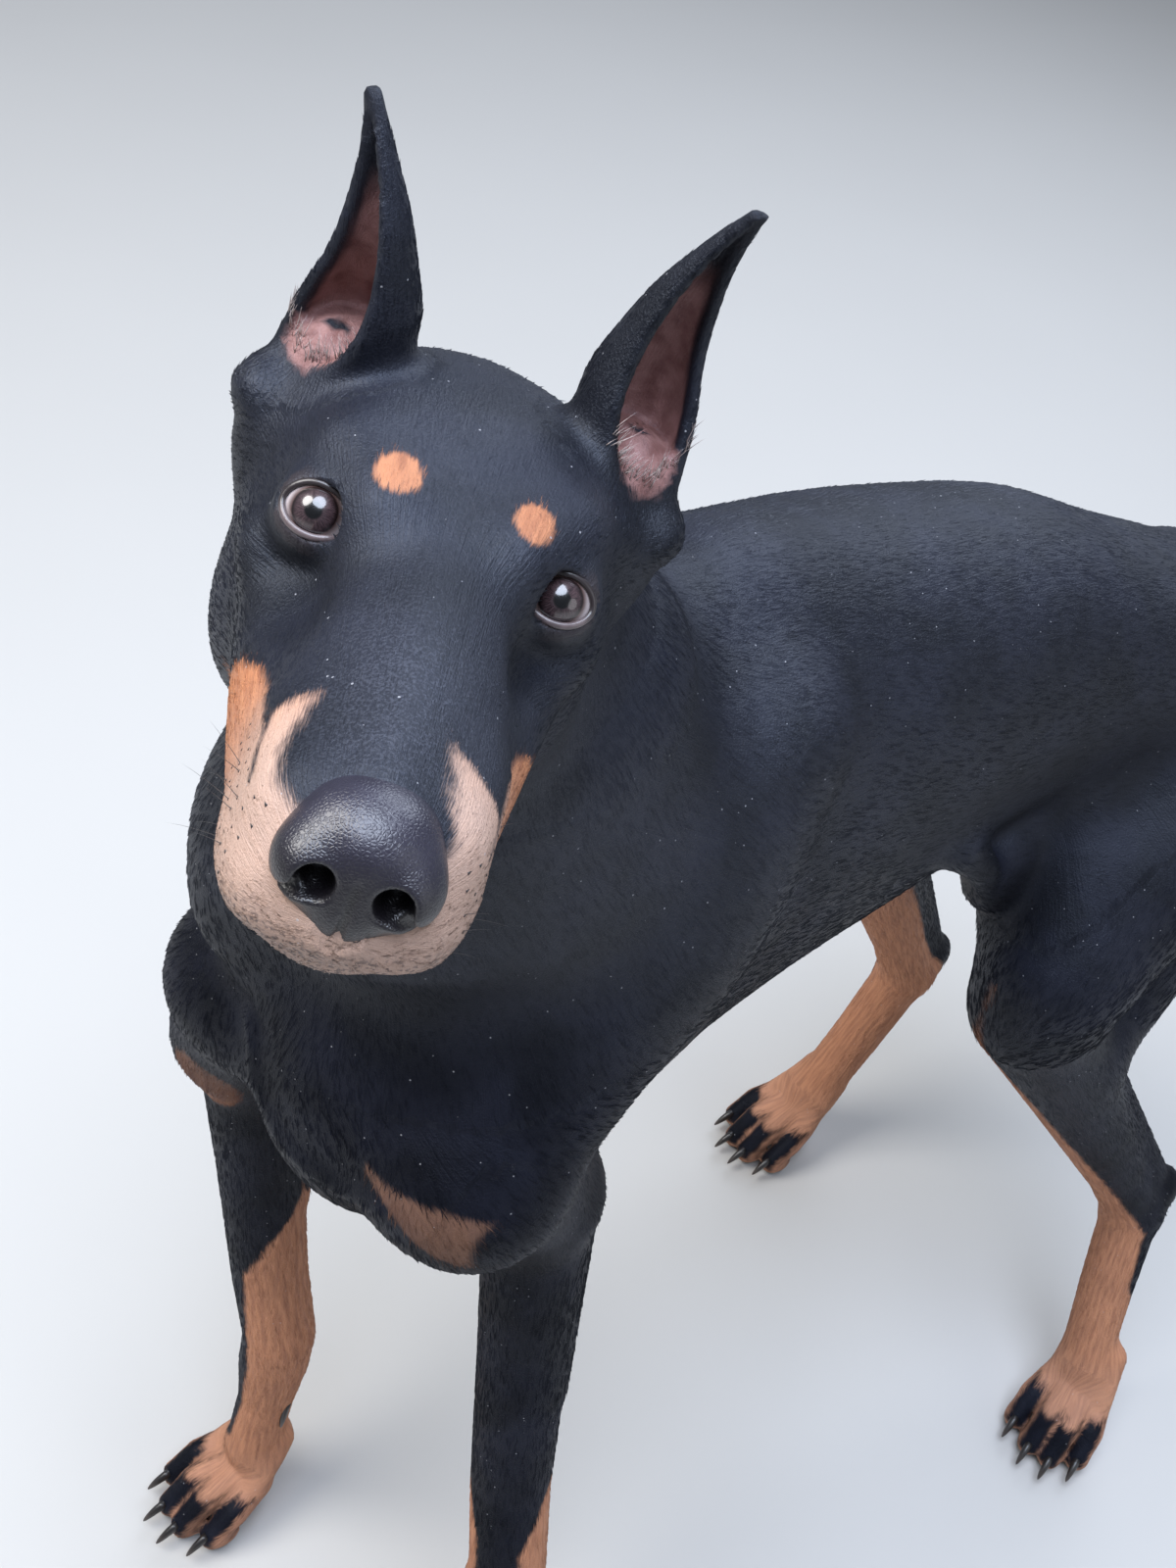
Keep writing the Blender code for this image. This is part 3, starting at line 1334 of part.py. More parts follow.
def centre_and_dress(nodes: dict) -> None:
    """Sets the middle of the model's box over the origin and gives each node its finish."""
    corners = []
    for obj in nodes.values():
        coordinates = np.empty(len(obj.data.vertices) * 3)
        obj.data.vertices.foreach_get("co", coordinates)
        corners.append(coordinates.reshape(-1, 3))
    everything = np.concatenate(corners)
    low, high = everything.min(0), everything.max(0)
    shift = Vector((-(low[0] + high[0]) / 2, -(low[1] + high[1]) / 2, 0.0))
    for name, obj in nodes.items():
        obj.name = name
        obj.data.transform(Matrix.Translation(shift))
        FINISHES[next(key for key in FINISHES if key in name)].put_on(obj)


def main() -> None:
    """Builds every node of the dog."""
    for obj in list(bpy.data.objects):
        bpy.data.objects.remove(obj)
    body = Body(Head())
    whole = body.whole()
    head_cut = Cut(body.head.place(-0.088, 0, -0.06), unit(body.head.axes @ np.array([0.86, 0.0, 0.30])))
    neck_cut = Cut(np.array([0.185, 0.0, 0.640]), unit((0.62, 0.0, 0.78)))
    nodes = HeadParts(body.head, whole, head_cut).build()

    neck = fitted("neck", whole, (0.02, -0.16, 0.50), (0.36, 0.14, 0.87), 0.0060, NECK_TRIANGLES)
    head_cut.keep(neck, False)
    neck_cut.keep(neck, True)
    keep_largest(neck)
    nodes["neck"] = neck

    trunk = fitted("torso", whole, (-0.52, -0.19, 0.33), (0.34, 0.26, 0.79), CELL_TRUNK, TRUNK_TRIANGLES)
    neck_cut.keep(trunk, False)
    nodes["tail"] = build_tail(whole, trunk)
    for kind, legs in (("fore", FORE), ("hind", HIND)):
        for name, leg in legs.items():
            nodes.update(LimbParts(body, whole, kind, name, leg, neck_cut).build(trunk))
    keep_largest(trunk)
    nodes["torso"] = trunk
    centre_and_dress(nodes)


main()
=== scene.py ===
"""A life-size model of a black and rust doberman pinscher.

Skin, coat, eyes, nose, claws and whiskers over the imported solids, on a plain floor in soft light.
"""

from __future__ import annotations

import itertools
import json
import logging
import math
from dataclasses import dataclass, field
from enum import Enum
from typing import Callable

import bmesh
import bpy
import numpy as np
from mathutils import Matrix, Vector

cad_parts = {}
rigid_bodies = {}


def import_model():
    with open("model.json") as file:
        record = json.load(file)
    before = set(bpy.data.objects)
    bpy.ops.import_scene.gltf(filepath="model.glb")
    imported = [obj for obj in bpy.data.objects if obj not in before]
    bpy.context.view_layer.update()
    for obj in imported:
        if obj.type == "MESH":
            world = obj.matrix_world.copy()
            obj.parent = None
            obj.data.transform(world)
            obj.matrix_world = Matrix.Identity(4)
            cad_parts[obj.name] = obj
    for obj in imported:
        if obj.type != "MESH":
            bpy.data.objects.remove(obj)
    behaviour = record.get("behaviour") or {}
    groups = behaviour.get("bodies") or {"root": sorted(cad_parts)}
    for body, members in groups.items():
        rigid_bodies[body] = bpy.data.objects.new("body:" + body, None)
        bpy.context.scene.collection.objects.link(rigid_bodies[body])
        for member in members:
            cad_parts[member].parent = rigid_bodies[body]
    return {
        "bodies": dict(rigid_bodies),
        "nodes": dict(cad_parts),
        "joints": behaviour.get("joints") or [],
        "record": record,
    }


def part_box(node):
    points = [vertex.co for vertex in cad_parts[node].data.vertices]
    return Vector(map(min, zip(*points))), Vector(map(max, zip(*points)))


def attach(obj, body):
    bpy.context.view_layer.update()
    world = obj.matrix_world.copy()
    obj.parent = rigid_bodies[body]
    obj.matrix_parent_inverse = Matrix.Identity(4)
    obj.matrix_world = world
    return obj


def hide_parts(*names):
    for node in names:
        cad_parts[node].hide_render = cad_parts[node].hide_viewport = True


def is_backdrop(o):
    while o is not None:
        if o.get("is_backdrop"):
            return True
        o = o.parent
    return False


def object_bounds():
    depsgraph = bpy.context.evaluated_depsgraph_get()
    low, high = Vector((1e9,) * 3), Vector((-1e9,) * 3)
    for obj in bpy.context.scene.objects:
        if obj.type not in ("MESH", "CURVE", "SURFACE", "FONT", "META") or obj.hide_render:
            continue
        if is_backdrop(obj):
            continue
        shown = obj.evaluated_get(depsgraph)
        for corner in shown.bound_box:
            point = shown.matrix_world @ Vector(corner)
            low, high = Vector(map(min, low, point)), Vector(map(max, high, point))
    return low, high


LOG = logging.getLogger("doberman")

Array = np.ndarray

# The dog's right and left.
SIDES = (-1.0, 1.0)


def unit(vector: Array | tuple) -> Array:
    """The vector made one long.

    Args:
        vector: Three numbers.

    Returns:
        The same direction with length one.
    """
    vector = np.asarray(vector, float)
    return vector / np.linalg.norm(vector)


def unit_rows(rows: Array) -> Array:
    """Each row made one long.

    Args:
        rows: Directions.

    Returns:
        The same directions with length one.
    """
    return rows / np.linalg.norm(rows, axis=1)[:, None]


def between(start: tuple, end: tuple, share: float) -> Array:
    """A place on the line between two points.

    Args:
        start: Where the share is zero.
        end: Where the share is one.
        share: How far along the line.

    Returns:
        The point.
    """
    return np.array(start, float) * (1 - share) + np.array(end, float) * share


def square_axes(forward: tuple, left: tuple) -> Array:
    """Three axes made square to each other.

    Args:
        forward: The first axis.
        left: Roughly the second one.

    Returns:
        Columns forward, left and up.
    """
    forward = unit(forward)
    left = np.asarray(left, float)
    left = unit(left - forward * (left @ forward))
    return np.stack([forward, left, np.cross(forward, left)], 1)


def smooth_table(places: Array, columns: Array, count: int) -> tuple[Array, Array]:
    """Carries each column through its stations along a smooth curve.

    Args:
        places: Where the stations lie.
        columns: One row of values for each station.
        count: How many samples to take.

    Returns:
        The sampled places, and the values as one row for each column.
    """
    slopes = np.gradient(columns, places, axis=0)
    dense = np.linspace(places[0], places[-1], count)
    index = np.clip(np.searchsorted(places, dense, side="right") - 1, 0, len(places) - 2)
    span = places[index + 1] - places[index]
    share = ((dense - places[index]) / span)[:, None]
    span = span[:, None]
    values = (
        (2 * share**3 - 3 * share**2 + 1) * columns[index]
        + (share**3 - 2 * share**2 + share) * span * slopes[index]
        + (3 * share**2 - 2 * share**3) * columns[index + 1]
        + (share**3 - share**2) * span * slopes[index + 1]
    )
    return dense, values.T


def smooth_union(first: Array, second: Array, fillet: float) -> Array:
    """Joins two fields with a fillet.

    Args:
        first: Distances to one shape.
        second: Distances to the other.
        fillet: Width of the rounding where they meet.

    Returns:
        Distances to the joined shape.
    """
    near = np.maximum(fillet - np.abs(first - second), 0.0)
    return np.minimum(first, second) - near * near / (4.0 * fillet)


class Shape:
    """A solid given by its distance, below zero inside. centre and reach bound it."""

    centre: Array
    reach: float

    def distance(self, points: Array, at: Array, around: float) -> Array:
        """Distances of points that all lie within around of at."""
        raise NotImplementedError


class Egg(Shape):
    """An ellipsoid, with its own axes if it is turned."""

    def __init__(self, centre: tuple, radii: tuple, axes: Array | None = None) -> None:
        """Keeps the middle, the three radii and the axes."""
        self.centre = np.array(centre, float)
        self.radii = np.array(radii, float)
        self.axes = axes
        self.reach = float(self.radii.max())

    def distance(self, points: Array, at: Array, around: float) -> Array:
        """Distances of points that all lie within around of at."""
        local = points - self.centre
        if self.axes is not None:
            local = local @ self.axes
        first = np.linalg.norm(local / self.radii, axis=1)
        second = np.linalg.norm(local / self.radii**2, axis=1)
        return first * (first - 1.0) / np.maximum(second, 1e-9)


class Chain(Shape):
    """A limb of round section through several places, with a radius at each."""

    def __init__(self, places: list, radii: tuple) -> None:
        """Keeps the places and the radii."""
        self.places = np.array(places, float)
        self.radii = radii
        self.centre = (self.places.min(0) + self.places.max(0)) / 2
        self.reach = float(np.linalg.norm(self.places - self.centre, axis=1).max() + max(radii))

    def distance(self, points: Array, at: Array, around: float) -> Array:
        """Distances of points that all lie within around of at."""
        found = None
        for number in range(len(self.places) - 1):
            start = self.places[number]
            along = self.places[number + 1] - start
            local = points - start
            share = np.clip(local @ along / (along @ along), 0.0, 1.0)
            away = np.linalg.norm(local - share[:, None] * along, axis=1)
            away -= self.radii[number] + (self.radii[number + 1] - self.radii[number]) * share
            found = away if found is None else np.minimum(found, away)
        return found


class Sections(Shape):
    """A body drawn by its sections along x. A station holds place, top, bottom, half width, level of the
    widest point, upper exponent, lower exponent and the middle's place across."""

    def __init__(self, stations: tuple, bend: Callable[[Array], Array] | None = None) -> None:
        """Keeps the stations as a smooth table, and the bend that straightens a point first."""
        table = np.array(stations, float)
        self.places, self.table = smooth_table(table[:, 0], table[:, 1:], 160)
        self.bend = bend
        low = np.array([table[:, 0].min(), -table[:, 3].max(), table[:, 2].min()])
        high = np.array([table[:, 0].max(), table[:, 3].max(), table[:, 1].max()])
        self.centre = (low + high) / 2
        self.reach = float(np.linalg.norm(high - low) / 2 + (0.05 if bend else 0.0))

    def ratio(self, x: Array, y: Array, z: Array) -> Array:
        """How far out each point is, as a share of the section's radius in its direction."""
        columns = (np.interp(x, self.places, column) for column in self.table[:6])
        top, bottom, width, level, upper, lower = columns
        above = z > level
        height = np.where(above, np.maximum(top - level, 1e-4), np.maximum(level - bottom, 1e-4))
        power = np.where(above, upper, lower)
        across = np.abs(y) / np.maximum(width, 1e-4)
        rise = np.abs(z - level) / height
        return (across**power + rise**power) ** (1.0 / power)

    def distance(self, points: Array, at: Array, around: float) -> Array:
        """Distances of points that all lie within around of at."""
        x, y, z = (self.bend(points) if self.bend else points).T
        beyond = np.maximum(x - self.places[-1], self.places[0] - x)
        x = np.clip(x, self.places[0], self.places[-1])
        level = np.interp(x, self.places, self.table[3])
        y = y - np.interp(x, self.places, self.table[6])
        away = np.maximum(np.hypot(y, z - level), 1e-6)
        surface = away / np.maximum(self.ratio(x, y, z), 1e-6)
        step = 0.003
        taper = (away / np.maximum(self.ratio(x + step, y, z), 1e-6) - surface) / step
        inside = (away - surface) / np.sqrt(1.0 + np.minimum(taper**2, 4.0))
        return np.where(beyond > 0, np.hypot(np.maximum(inside, 0), beyond), inside)


class Cup(Shape):
    """A tapering shell open on one side, as an ear is. A station holds height as a share of the length,
    radius of the cup and half angle of its opening."""

    def __init__(self, line: tuple, bow: tuple, opening: tuple, stations: tuple, wall: float) -> None:
        """Keeps the axis from base to tip with its bow, the way the opening faces, stations and half the
        wall."""
        base, tip = line
        self.base = np.array(base, float)
        rise = np.array(tip, float) - self.base
        self.length = float(np.linalg.norm(rise))
        axis = rise / self.length
        facing = np.array(opening, float)
        facing = unit(facing - axis * (facing @ axis))
        self.axes = np.stack([facing, np.cross(axis, facing), axis], 1)
        table = np.array(stations, float)
        self.places, self.table = smooth_table(table[:, 0], table[:, 1:], 60)
        self.wall = wall
        self.bow = bow
        self.centre = self.base + rise / 2
        self.reach = self.length / 2 + float(table[:, 1].max()) + 0.006

    def local(self, points: Array) -> tuple[Array, Array, Array, Array, Array]:
        """Places in the cup: outwards, aside, share of the height, radius and half angle of the opening."""
        out, side, up = ((points - self.base) @ self.axes).T
        share = up / self.length
        bent_by = 4.0 * np.clip(share * (1.0 - share), 0.0, 0.25)
        radius, opening = (np.interp(share, self.places, column) for column in self.table)
        return out - self.bow[0] * bent_by, side - self.bow[1] * bent_by, share, radius, np.radians(opening)

    def distance(self, points: Array, at: Array, around: float) -> Array:
        """Distances of points that all lie within around of at."""
        out, side, share, radius, opening = self.local(points)
        side = np.abs(side)
        angle = np.arctan2(side, out)
        rim = np.hypot(out - radius * np.cos(opening), side - radius * np.sin(opening))
        flat = np.where(angle >= opening, np.abs(np.hypot(out, side) - radius), rim)
        thick = self.wall * np.clip(1.25 - 0.45 * share, 0.5, 1.4)
        ends = np.maximum(share - 1.0, self.places[0] - share) * self.length
        return np.where(ends > 0, np.hypot(np.maximum(flat - thick, 0), ends), flat - thick)


class Group(Shape):
    """Shapes joined ("add") or cut ("cut") in turn, each with its fillet. With axes, they lie in a frame."""

    def __init__(self, steps: list, origin: Array | None = None, axes: Array | None = None) -> None:
        """Keeps the steps, and the frame they are given in."""
        self.steps = steps
        self.origin = origin
        self.axes = axes
        solid = [shape for kind, _, shape in steps if kind == "add"]
        centres = np.array([shape.centre for shape in solid])
        middle = (centres.min(0) + centres.max(0)) / 2
        self.reach = max(float(np.linalg.norm(shape.centre - middle)) + shape.reach for shape in solid)
        self.centre = middle if axes is None else origin + axes @ middle

    def distance(self, points: Array, at: Array, around: float) -> Array:
        """Distances of points that all lie within around of at."""
        if self.axes is not None:
            points = (points - self.origin) @ self.axes
            at = self.axes.T @ (at - self.origin)
        found = np.full(len(points), 1.0)
        for kind, fillet, shape in self.steps:
            away = float(np.linalg.norm(shape.centre - at)) - shape.reach - around
            if away > fillet + 0.012:
                continue
            value = shape.distance(points, at, around)
            if kind == "add":
                found = smooth_union(found, value, fillet)
            else:
                found = -smooth_union(-found, value, fillet)
        return found


# Sizes of the body, in metres and degrees. x runs forward, y to the dog's left, z up from the floor.
BEND_START = 0.10
BEND_LENGTH = 0.32
BEND_ANGLE = math.radians(16.0)

# Each station: place, top, bottom, half width, level of the widest point, upper and lower exponent, middle.
TRUNK = (
    (-0.425, 0.545, 0.515, 0.010, 0.530, 2.0, 2.0, 0.0),
    (-0.412, 0.566, 0.500, 0.038, 0.538, 2.0, 2.0, 0.0),
    (-0.380, 0.590, 0.494, 0.062, 0.545, 2.0, 2.0, 0.0),
    (-0.330, 0.614, 0.494, 0.077, 0.556, 2.1, 2.0, 0.0),
    (-0.270, 0.638, 0.498, 0.076, 0.574, 2.2, 1.9, 0.0),
    (-0.210, 0.660, 0.488, 0.072, 0.592, 2.2, 1.8, -0.002),
    (-0.150, 0.684, 0.455, 0.078, 0.600, 2.1, 1.7, -0.006),
    (-0.080, 0.697, 0.412, 0.088, 0.598, 2.0, 1.6, -0.010),
    (0.000, 0.712, 0.386, 0.093, 0.595, 1.9, 1.6, -0.012),
    (0.080, 0.727, 0.378, 0.092, 0.585, 1.8, 1.7, -0.010),
    (0.150, 0.708, 0.382, 0.088, 0.570, 1.8, 1.8, -0.006),
    (0.200, 0.655, 0.410, 0.072, 0.550, 1.9, 1.9, -0.002),
)

# The skull with the upper jaw and its lips, then the lower jaw, both in the head's frame, whose origin lies
# midway between the eyes.
SKULL = (
    (-0.128, -0.010, -0.045, 0.018, -0.026, 2.0, 2.0, 0.0),
    (-0.118, 0.006, -0.068, 0.036, -0.028, 2.0, 2.0, 0.0),
    (-0.100, 0.019, -0.086, 0.047, -0.028, 2.1, 2.1, 0.0),
    (-0.075, 0.0280, -0.092, 0.0540, -0.028, 2.3, 2.2, 0.0),
    (-0.050, 0.0320, -0.090, 0.0555, -0.028, 2.4, 2.2, 0.0),
    (-0.025, 0.0290, -0.085, 0.0530, -0.030, 2.3, 2.3, 0.0),
    (-0.005, 0.0195, -0.079, 0.0490, -0.036, 2.0, 2.5, 0.0),
    (0.015, 0.0095, -0.073, 0.0450, -0.044, 1.8, 2.8, 0.0),
    (0.040, 0.0035, -0.071, 0.0405, -0.049, 1.7, 2.9, 0.0),
    (0.070, -0.0030, -0.070, 0.0350, -0.050, 1.7, 2.9, 0.0),
    (0.092, -0.0085, -0.068, 0.0312, -0.050, 1.7, 2.7, 0.0),
    (0.105, -0.0150, -0.065, 0.0265, -0.050, 1.8, 2.4, 0.0),
    (0.114, -0.0280, -0.061, 0.0190, -0.049, 2.0, 2.2, 0.0),
    (0.119, -0.0400, -0.055, 0.0070, -0.048, 2.0, 2.0, 0.0),
)
LOWER_JAW = (
    (-0.060, -0.060, -0.100, 0.030, -0.080, 2.0, 2.0, 0.0),
    (-0.030, -0.058, -0.096, 0.032, -0.078, 2.0, 2.0, 0.0),
    (0.010, -0.055, -0.090, 0.0310, -0.072, 2.0, 2.2, 0.0),
    (0.040, -0.055, -0.0860, 0.0285, -0.068, 2.0, 2.4, 0.0),
    (0.070, -0.052, -0.0830, 0.0255, -0.066, 2.0, 2.4, 0.0),
    (0.092, -0.050, -0.0790, 0.0210, -0.063, 2.0, 2.2, 0.0),
    (0.102, -0.052, -0.0720, 0.0130, -0.061, 2.0, 2.0, 0.0),
    (0.106, -0.056, -0.0660, 0.0050, -0.061, 2.0, 2.0, 0.0),
)

# Height as a share of the ear, radius of the cup, half angle of its opening.
EAR_STATIONS = (
    (-0.30, 0.0140, 35.0),
    (-0.10, 0.0168, 38.0),
    (0.05, 0.0172, 50.0),
    (0.20, 0.0164, 62.0),
    (0.40, 0.0123, 72.0),
    (0.60, 0.0086, 78.0),
    (0.80, 0.0044, 84.0),
    (0.94, 0.0019, 88.0),
    (1.00, 0.0010, 90.0),
)


@dataclass(frozen=True)
class Leg:
    """Where the joints of a leg lie. upper is the shoulder or hip, middle the elbow or knee, lower the wrist
    or hock, and ball the end of the pastern."""

    side: float
    upper: tuple
    middle: tuple
    lower: tuple
    ball: tuple
    paw: tuple
    heading: float
    size: float

    @property
    def joints(self) -> tuple:
        """The four joints from the top down."""
        return tuple(np.array(place) for place in (self.upper, self.middle, self.lower, self.ball))


FORE = {
    "left": Leg(1.0, (0.233, 0.064, 0.506), (0.167, 0.061, 0.400), (0.200, 0.133, 0.150),
                (0.223, 0.121, 0.046), (0.233, 0.120), 8.0, 1.06),
    "right": Leg(-1.0, (0.2425, -0.0740, 0.501), (0.2175, -0.1015, 0.388), (0.215, -0.054, 0.150),
                 (0.226, -0.049, 0.046), (0.236, -0.050), -6.0, 1.06),
}
HIND = {
    "left": Leg(1.0, (-0.285, 0.118, 0.535), (-0.165, 0.131, 0.394), (-0.299, 0.220, 0.176),
                (-0.270, 0.257, 0.046), (-0.256, 0.267), 12.0, 1.08),
    "right": Leg(-1.0, (-0.312, 0.018, 0.535), (-0.217, -0.046, 0.391), (-0.326, -0.010, 0.179),
                 (-0.282, -0.018, 0.046), (-0.267, -0.023), -10.0, 1.08),
}


def straighten(points: Array) -> Array:
    """Takes points of the bent trunk back to the straight one.

    Args:
        points: Places round the dog, whose trunk bends to the left behind the withers.

    Returns:
        The same places along a straight trunk.
    """
    radius = BEND_LENGTH / BEND_ANGLE
    x, y, z = points.T
    back = BEND_START - x
    turn = np.arctan2(back, radius - y)
    on_arc_x = BEND_START - turn * radius
    on_arc_y = radius - np.hypot(back, radius - y)
    past_x = back - radius * math.sin(BEND_ANGLE)
    past_y = y - radius * (1 - math.cos(BEND_ANGLE))
    along = past_x * math.cos(BEND_ANGLE) + past_y * math.sin(BEND_ANGLE)
    aside = past_y * math.cos(BEND_ANGLE) - past_x * math.sin(BEND_ANGLE)
    bend_x = np.where(turn < BEND_ANGLE, on_arc_x, BEND_START - BEND_LENGTH - along)
    bend_y = np.where(turn < BEND_ANGLE, on_arc_y, aside)
    return np.stack([np.where(back <= 0, x, bend_x), np.where(back <= 0, y, bend_y), z], 1)


def bent(x: float, y: float, z: float) -> Array:
    """Where a place of the straight trunk comes to lie.

    Args:
        x: Along the trunk, forward.
        y: To the dog's left.
        z: Up from the floor.

    Returns:
        The place on the bent trunk.
    """
    radius = BEND_LENGTH / BEND_ANGLE
    back = BEND_START - x
    if back <= 0:
        return np.array([x, y, z])
    turn = min(back / radius, BEND_ANGLE)
    rest = max(back - BEND_LENGTH, 0.0)
    px = BEND_START - (radius - y) * math.sin(turn) - rest * math.cos(BEND_ANGLE)
    py = radius - (radius - y) * math.cos(turn) + rest * math.sin(BEND_ANGLE)
    return np.array([px, py, z])


@dataclass
class Head:
    """The head's place, its features and their sizes."""

    at: tuple = (0.297, 0.050, 0.845)
    forward: tuple = (0.7031, 0.6766, 0.2188)
    left: tuple = (-0.6542, 0.7360, -0.1737)
    eye_radius: float = 0.0120
    eye_side: float = 0.0355
    eye_back: float = -0.0105
    eye_level: float = -0.0045
    lid: float = 0.0022
    ear_wall: float = 0.0020

    @property
    def axes(self) -> Array:
        """Columns forward, left and up of the head."""
        return square_axes(self.forward, self.left)

    @property
    def origin(self) -> Array:
        """The place midway between the eyes."""
        return np.array(self.at, float)

    def place(self, x: float, y: float, z: float) -> Array:
        """A place given in the head's own frame."""
        return self.origin + self.axes @ np.array([x, y, z], float)

    def local(self, points: Array) -> Array:
        """Places of the dog's frame in the head's own one."""
        return (points - self.origin) @ self.axes

    def eye(self, side: float) -> Array:
        """The middle of an eye, in the head's frame."""
        return np.array([self.eye_back, side * self.eye_side, self.eye_level])

    def look(self, side: float) -> Array:
        """Which way an eye and its lids face, in the head's frame."""
        return unit((0.902, -0.07 + side * 0.10, 0.43))

    def lid_axes(self, side: float) -> Array:
        """Columns look, across towards the head's left, and up over the lids."""
        look = self.look(side)
        across = unit(np.cross((0.0, 0.0, 1.0), look))
        return np.stack([look, across, np.cross(look, across)], 1)

    def ear(self, side: float) -> Cup:
        """The left ear is turned a little further forward than the right one, as the dog holds them."""
        tip = (-0.0420, 0.0514, 0.1114) if side > 0 else (-0.0446, -0.0591, 0.1023)
        turn = math.radians(33.0 if side > 0 else 47.0)
        facing = (math.cos(turn), side * math.sin(turn), 0.10)
        bow = (-0.0077, -0.0011) if side > 0 else (0.0010, 0.0097)
        return Cup(((-0.064, side * 0.0455, 0.026), tip), bow, facing, EAR_STATIONS, self.ear_wall)

    def skull_steps(self) -> list:
        """Skull, jaws, cheeks, brows and lips."""
        steps = [("add", 0.001, Sections(SKULL)), ("add", 0.004, Sections(LOWER_JAW))]
        for side in SIDES:
            arch = [(-0.068, side * 0.0505, -0.022), (-0.018, side * 0.0460, -0.0225)]
            brow = [(-0.020, side * 0.0320, 0.0110), (0.000, side * 0.0210, 0.0090)]
            canine = [(0.092, side * 0.0185, -0.030), (0.060, side * 0.0225, -0.030)]
            steps += [
                ("add", 0.014, Chain(arch, (0.0085, 0.0075))),
                ("add", 0.016, Egg((-0.060, side * 0.028, 0.002), (0.036, 0.026, 0.024))),
                ("add", 0.018, Egg((-0.052, side * 0.040, -0.056), (0.030, 0.017, 0.027))),
                ("add", 0.020, Chain(brow, (0.0075, 0.0055))),
                ("cut", 0.018, Egg((0.014, side * 0.0400, -0.016), (0.018, 0.010, 0.009))),
                ("add", 0.012, Egg((0.082, side * 0.0190, -0.051), (0.024, 0.012, 0.0185))),
                ("add", 0.012, Chain(canine, (0.0100, 0.0090))),
                ("add", 0.018, Egg((-0.066, side * 0.0570, -0.002), (0.017, 0.0125, 0.021))),
                ("add", 0.006, Egg((-0.060, side * 0.0645, 0.0060), (0.0120, 0.0090, 0.0095))),
            ]
        return steps

    def lid_steps(self, side: float) -> list:
        """The lids bulge over the ball of the eye and open on it in an almond."""
        eye, look, lids = self.eye(side), self.look(side), self.lid_axes(side)
        corners = [eye + lids @ (0.0098, 0.0098, 0.0008), eye + lids @ (0.0098, -0.0098, -0.0010)]
        return [
            ("add", 0.006, Egg(eye, (self.eye_radius + self.lid,) * 3)),
            ("cut", 0.0015, Egg(eye + look * self.eye_radius, (0.0060, 0.0100, 0.0078), lids)),
            ("cut", 0.0020, Chain(corners, (0.0030, 0.0030))),
        ]

    def nose_steps(self) -> list:
        """Nose leather with its wings, the nostrils with their slits, and the groove between them."""
        steps = [
            ("add", 0.0030, Egg((0.1050, 0, -0.0270), (0.0165, 0.0180, 0.0142))),
            ("add", 0.0060, Egg((0.1090, 0, -0.0400), (0.0125, 0.0140, 0.0150))),
        ]
        for side in SIDES:
            slit = [(0.1210, side * 0.0115, -0.0365), (0.1165, side * 0.0165, -0.0400),
                    (0.1120, side * 0.0205, -0.0400)]
            steps += [
                ("add", 0.0040, Egg((0.1110, side * 0.0118, -0.0335), (0.0118, 0.0098, 0.0112))),
                ("cut", 0.0018, Egg((0.1215, side * 0.0098, -0.0340), (0.0110, 0.0050, 0.0054))),
                ("cut", 0.0016, Chain(slit, (0.0030, 0.0022, 0.0012))),
            ]
        groove = [(0.1255, 0, -0.0330), (0.1195, 0, -0.0620)]
        steps.append(("cut", 0.0030, Chain(groove, (0.0013, 0.0009))))
        return steps

    def whole(self) -> Group:
        """The head with its ears."""
        steps = self.skull_steps()
        for side in SIDES:
            steps += self.lid_steps(side)
        steps += self.nose_steps()
        for side in SIDES:
            steps.append(("add", 0.007, self.ear(side)))
        return Group(steps, self.origin, self.axes)


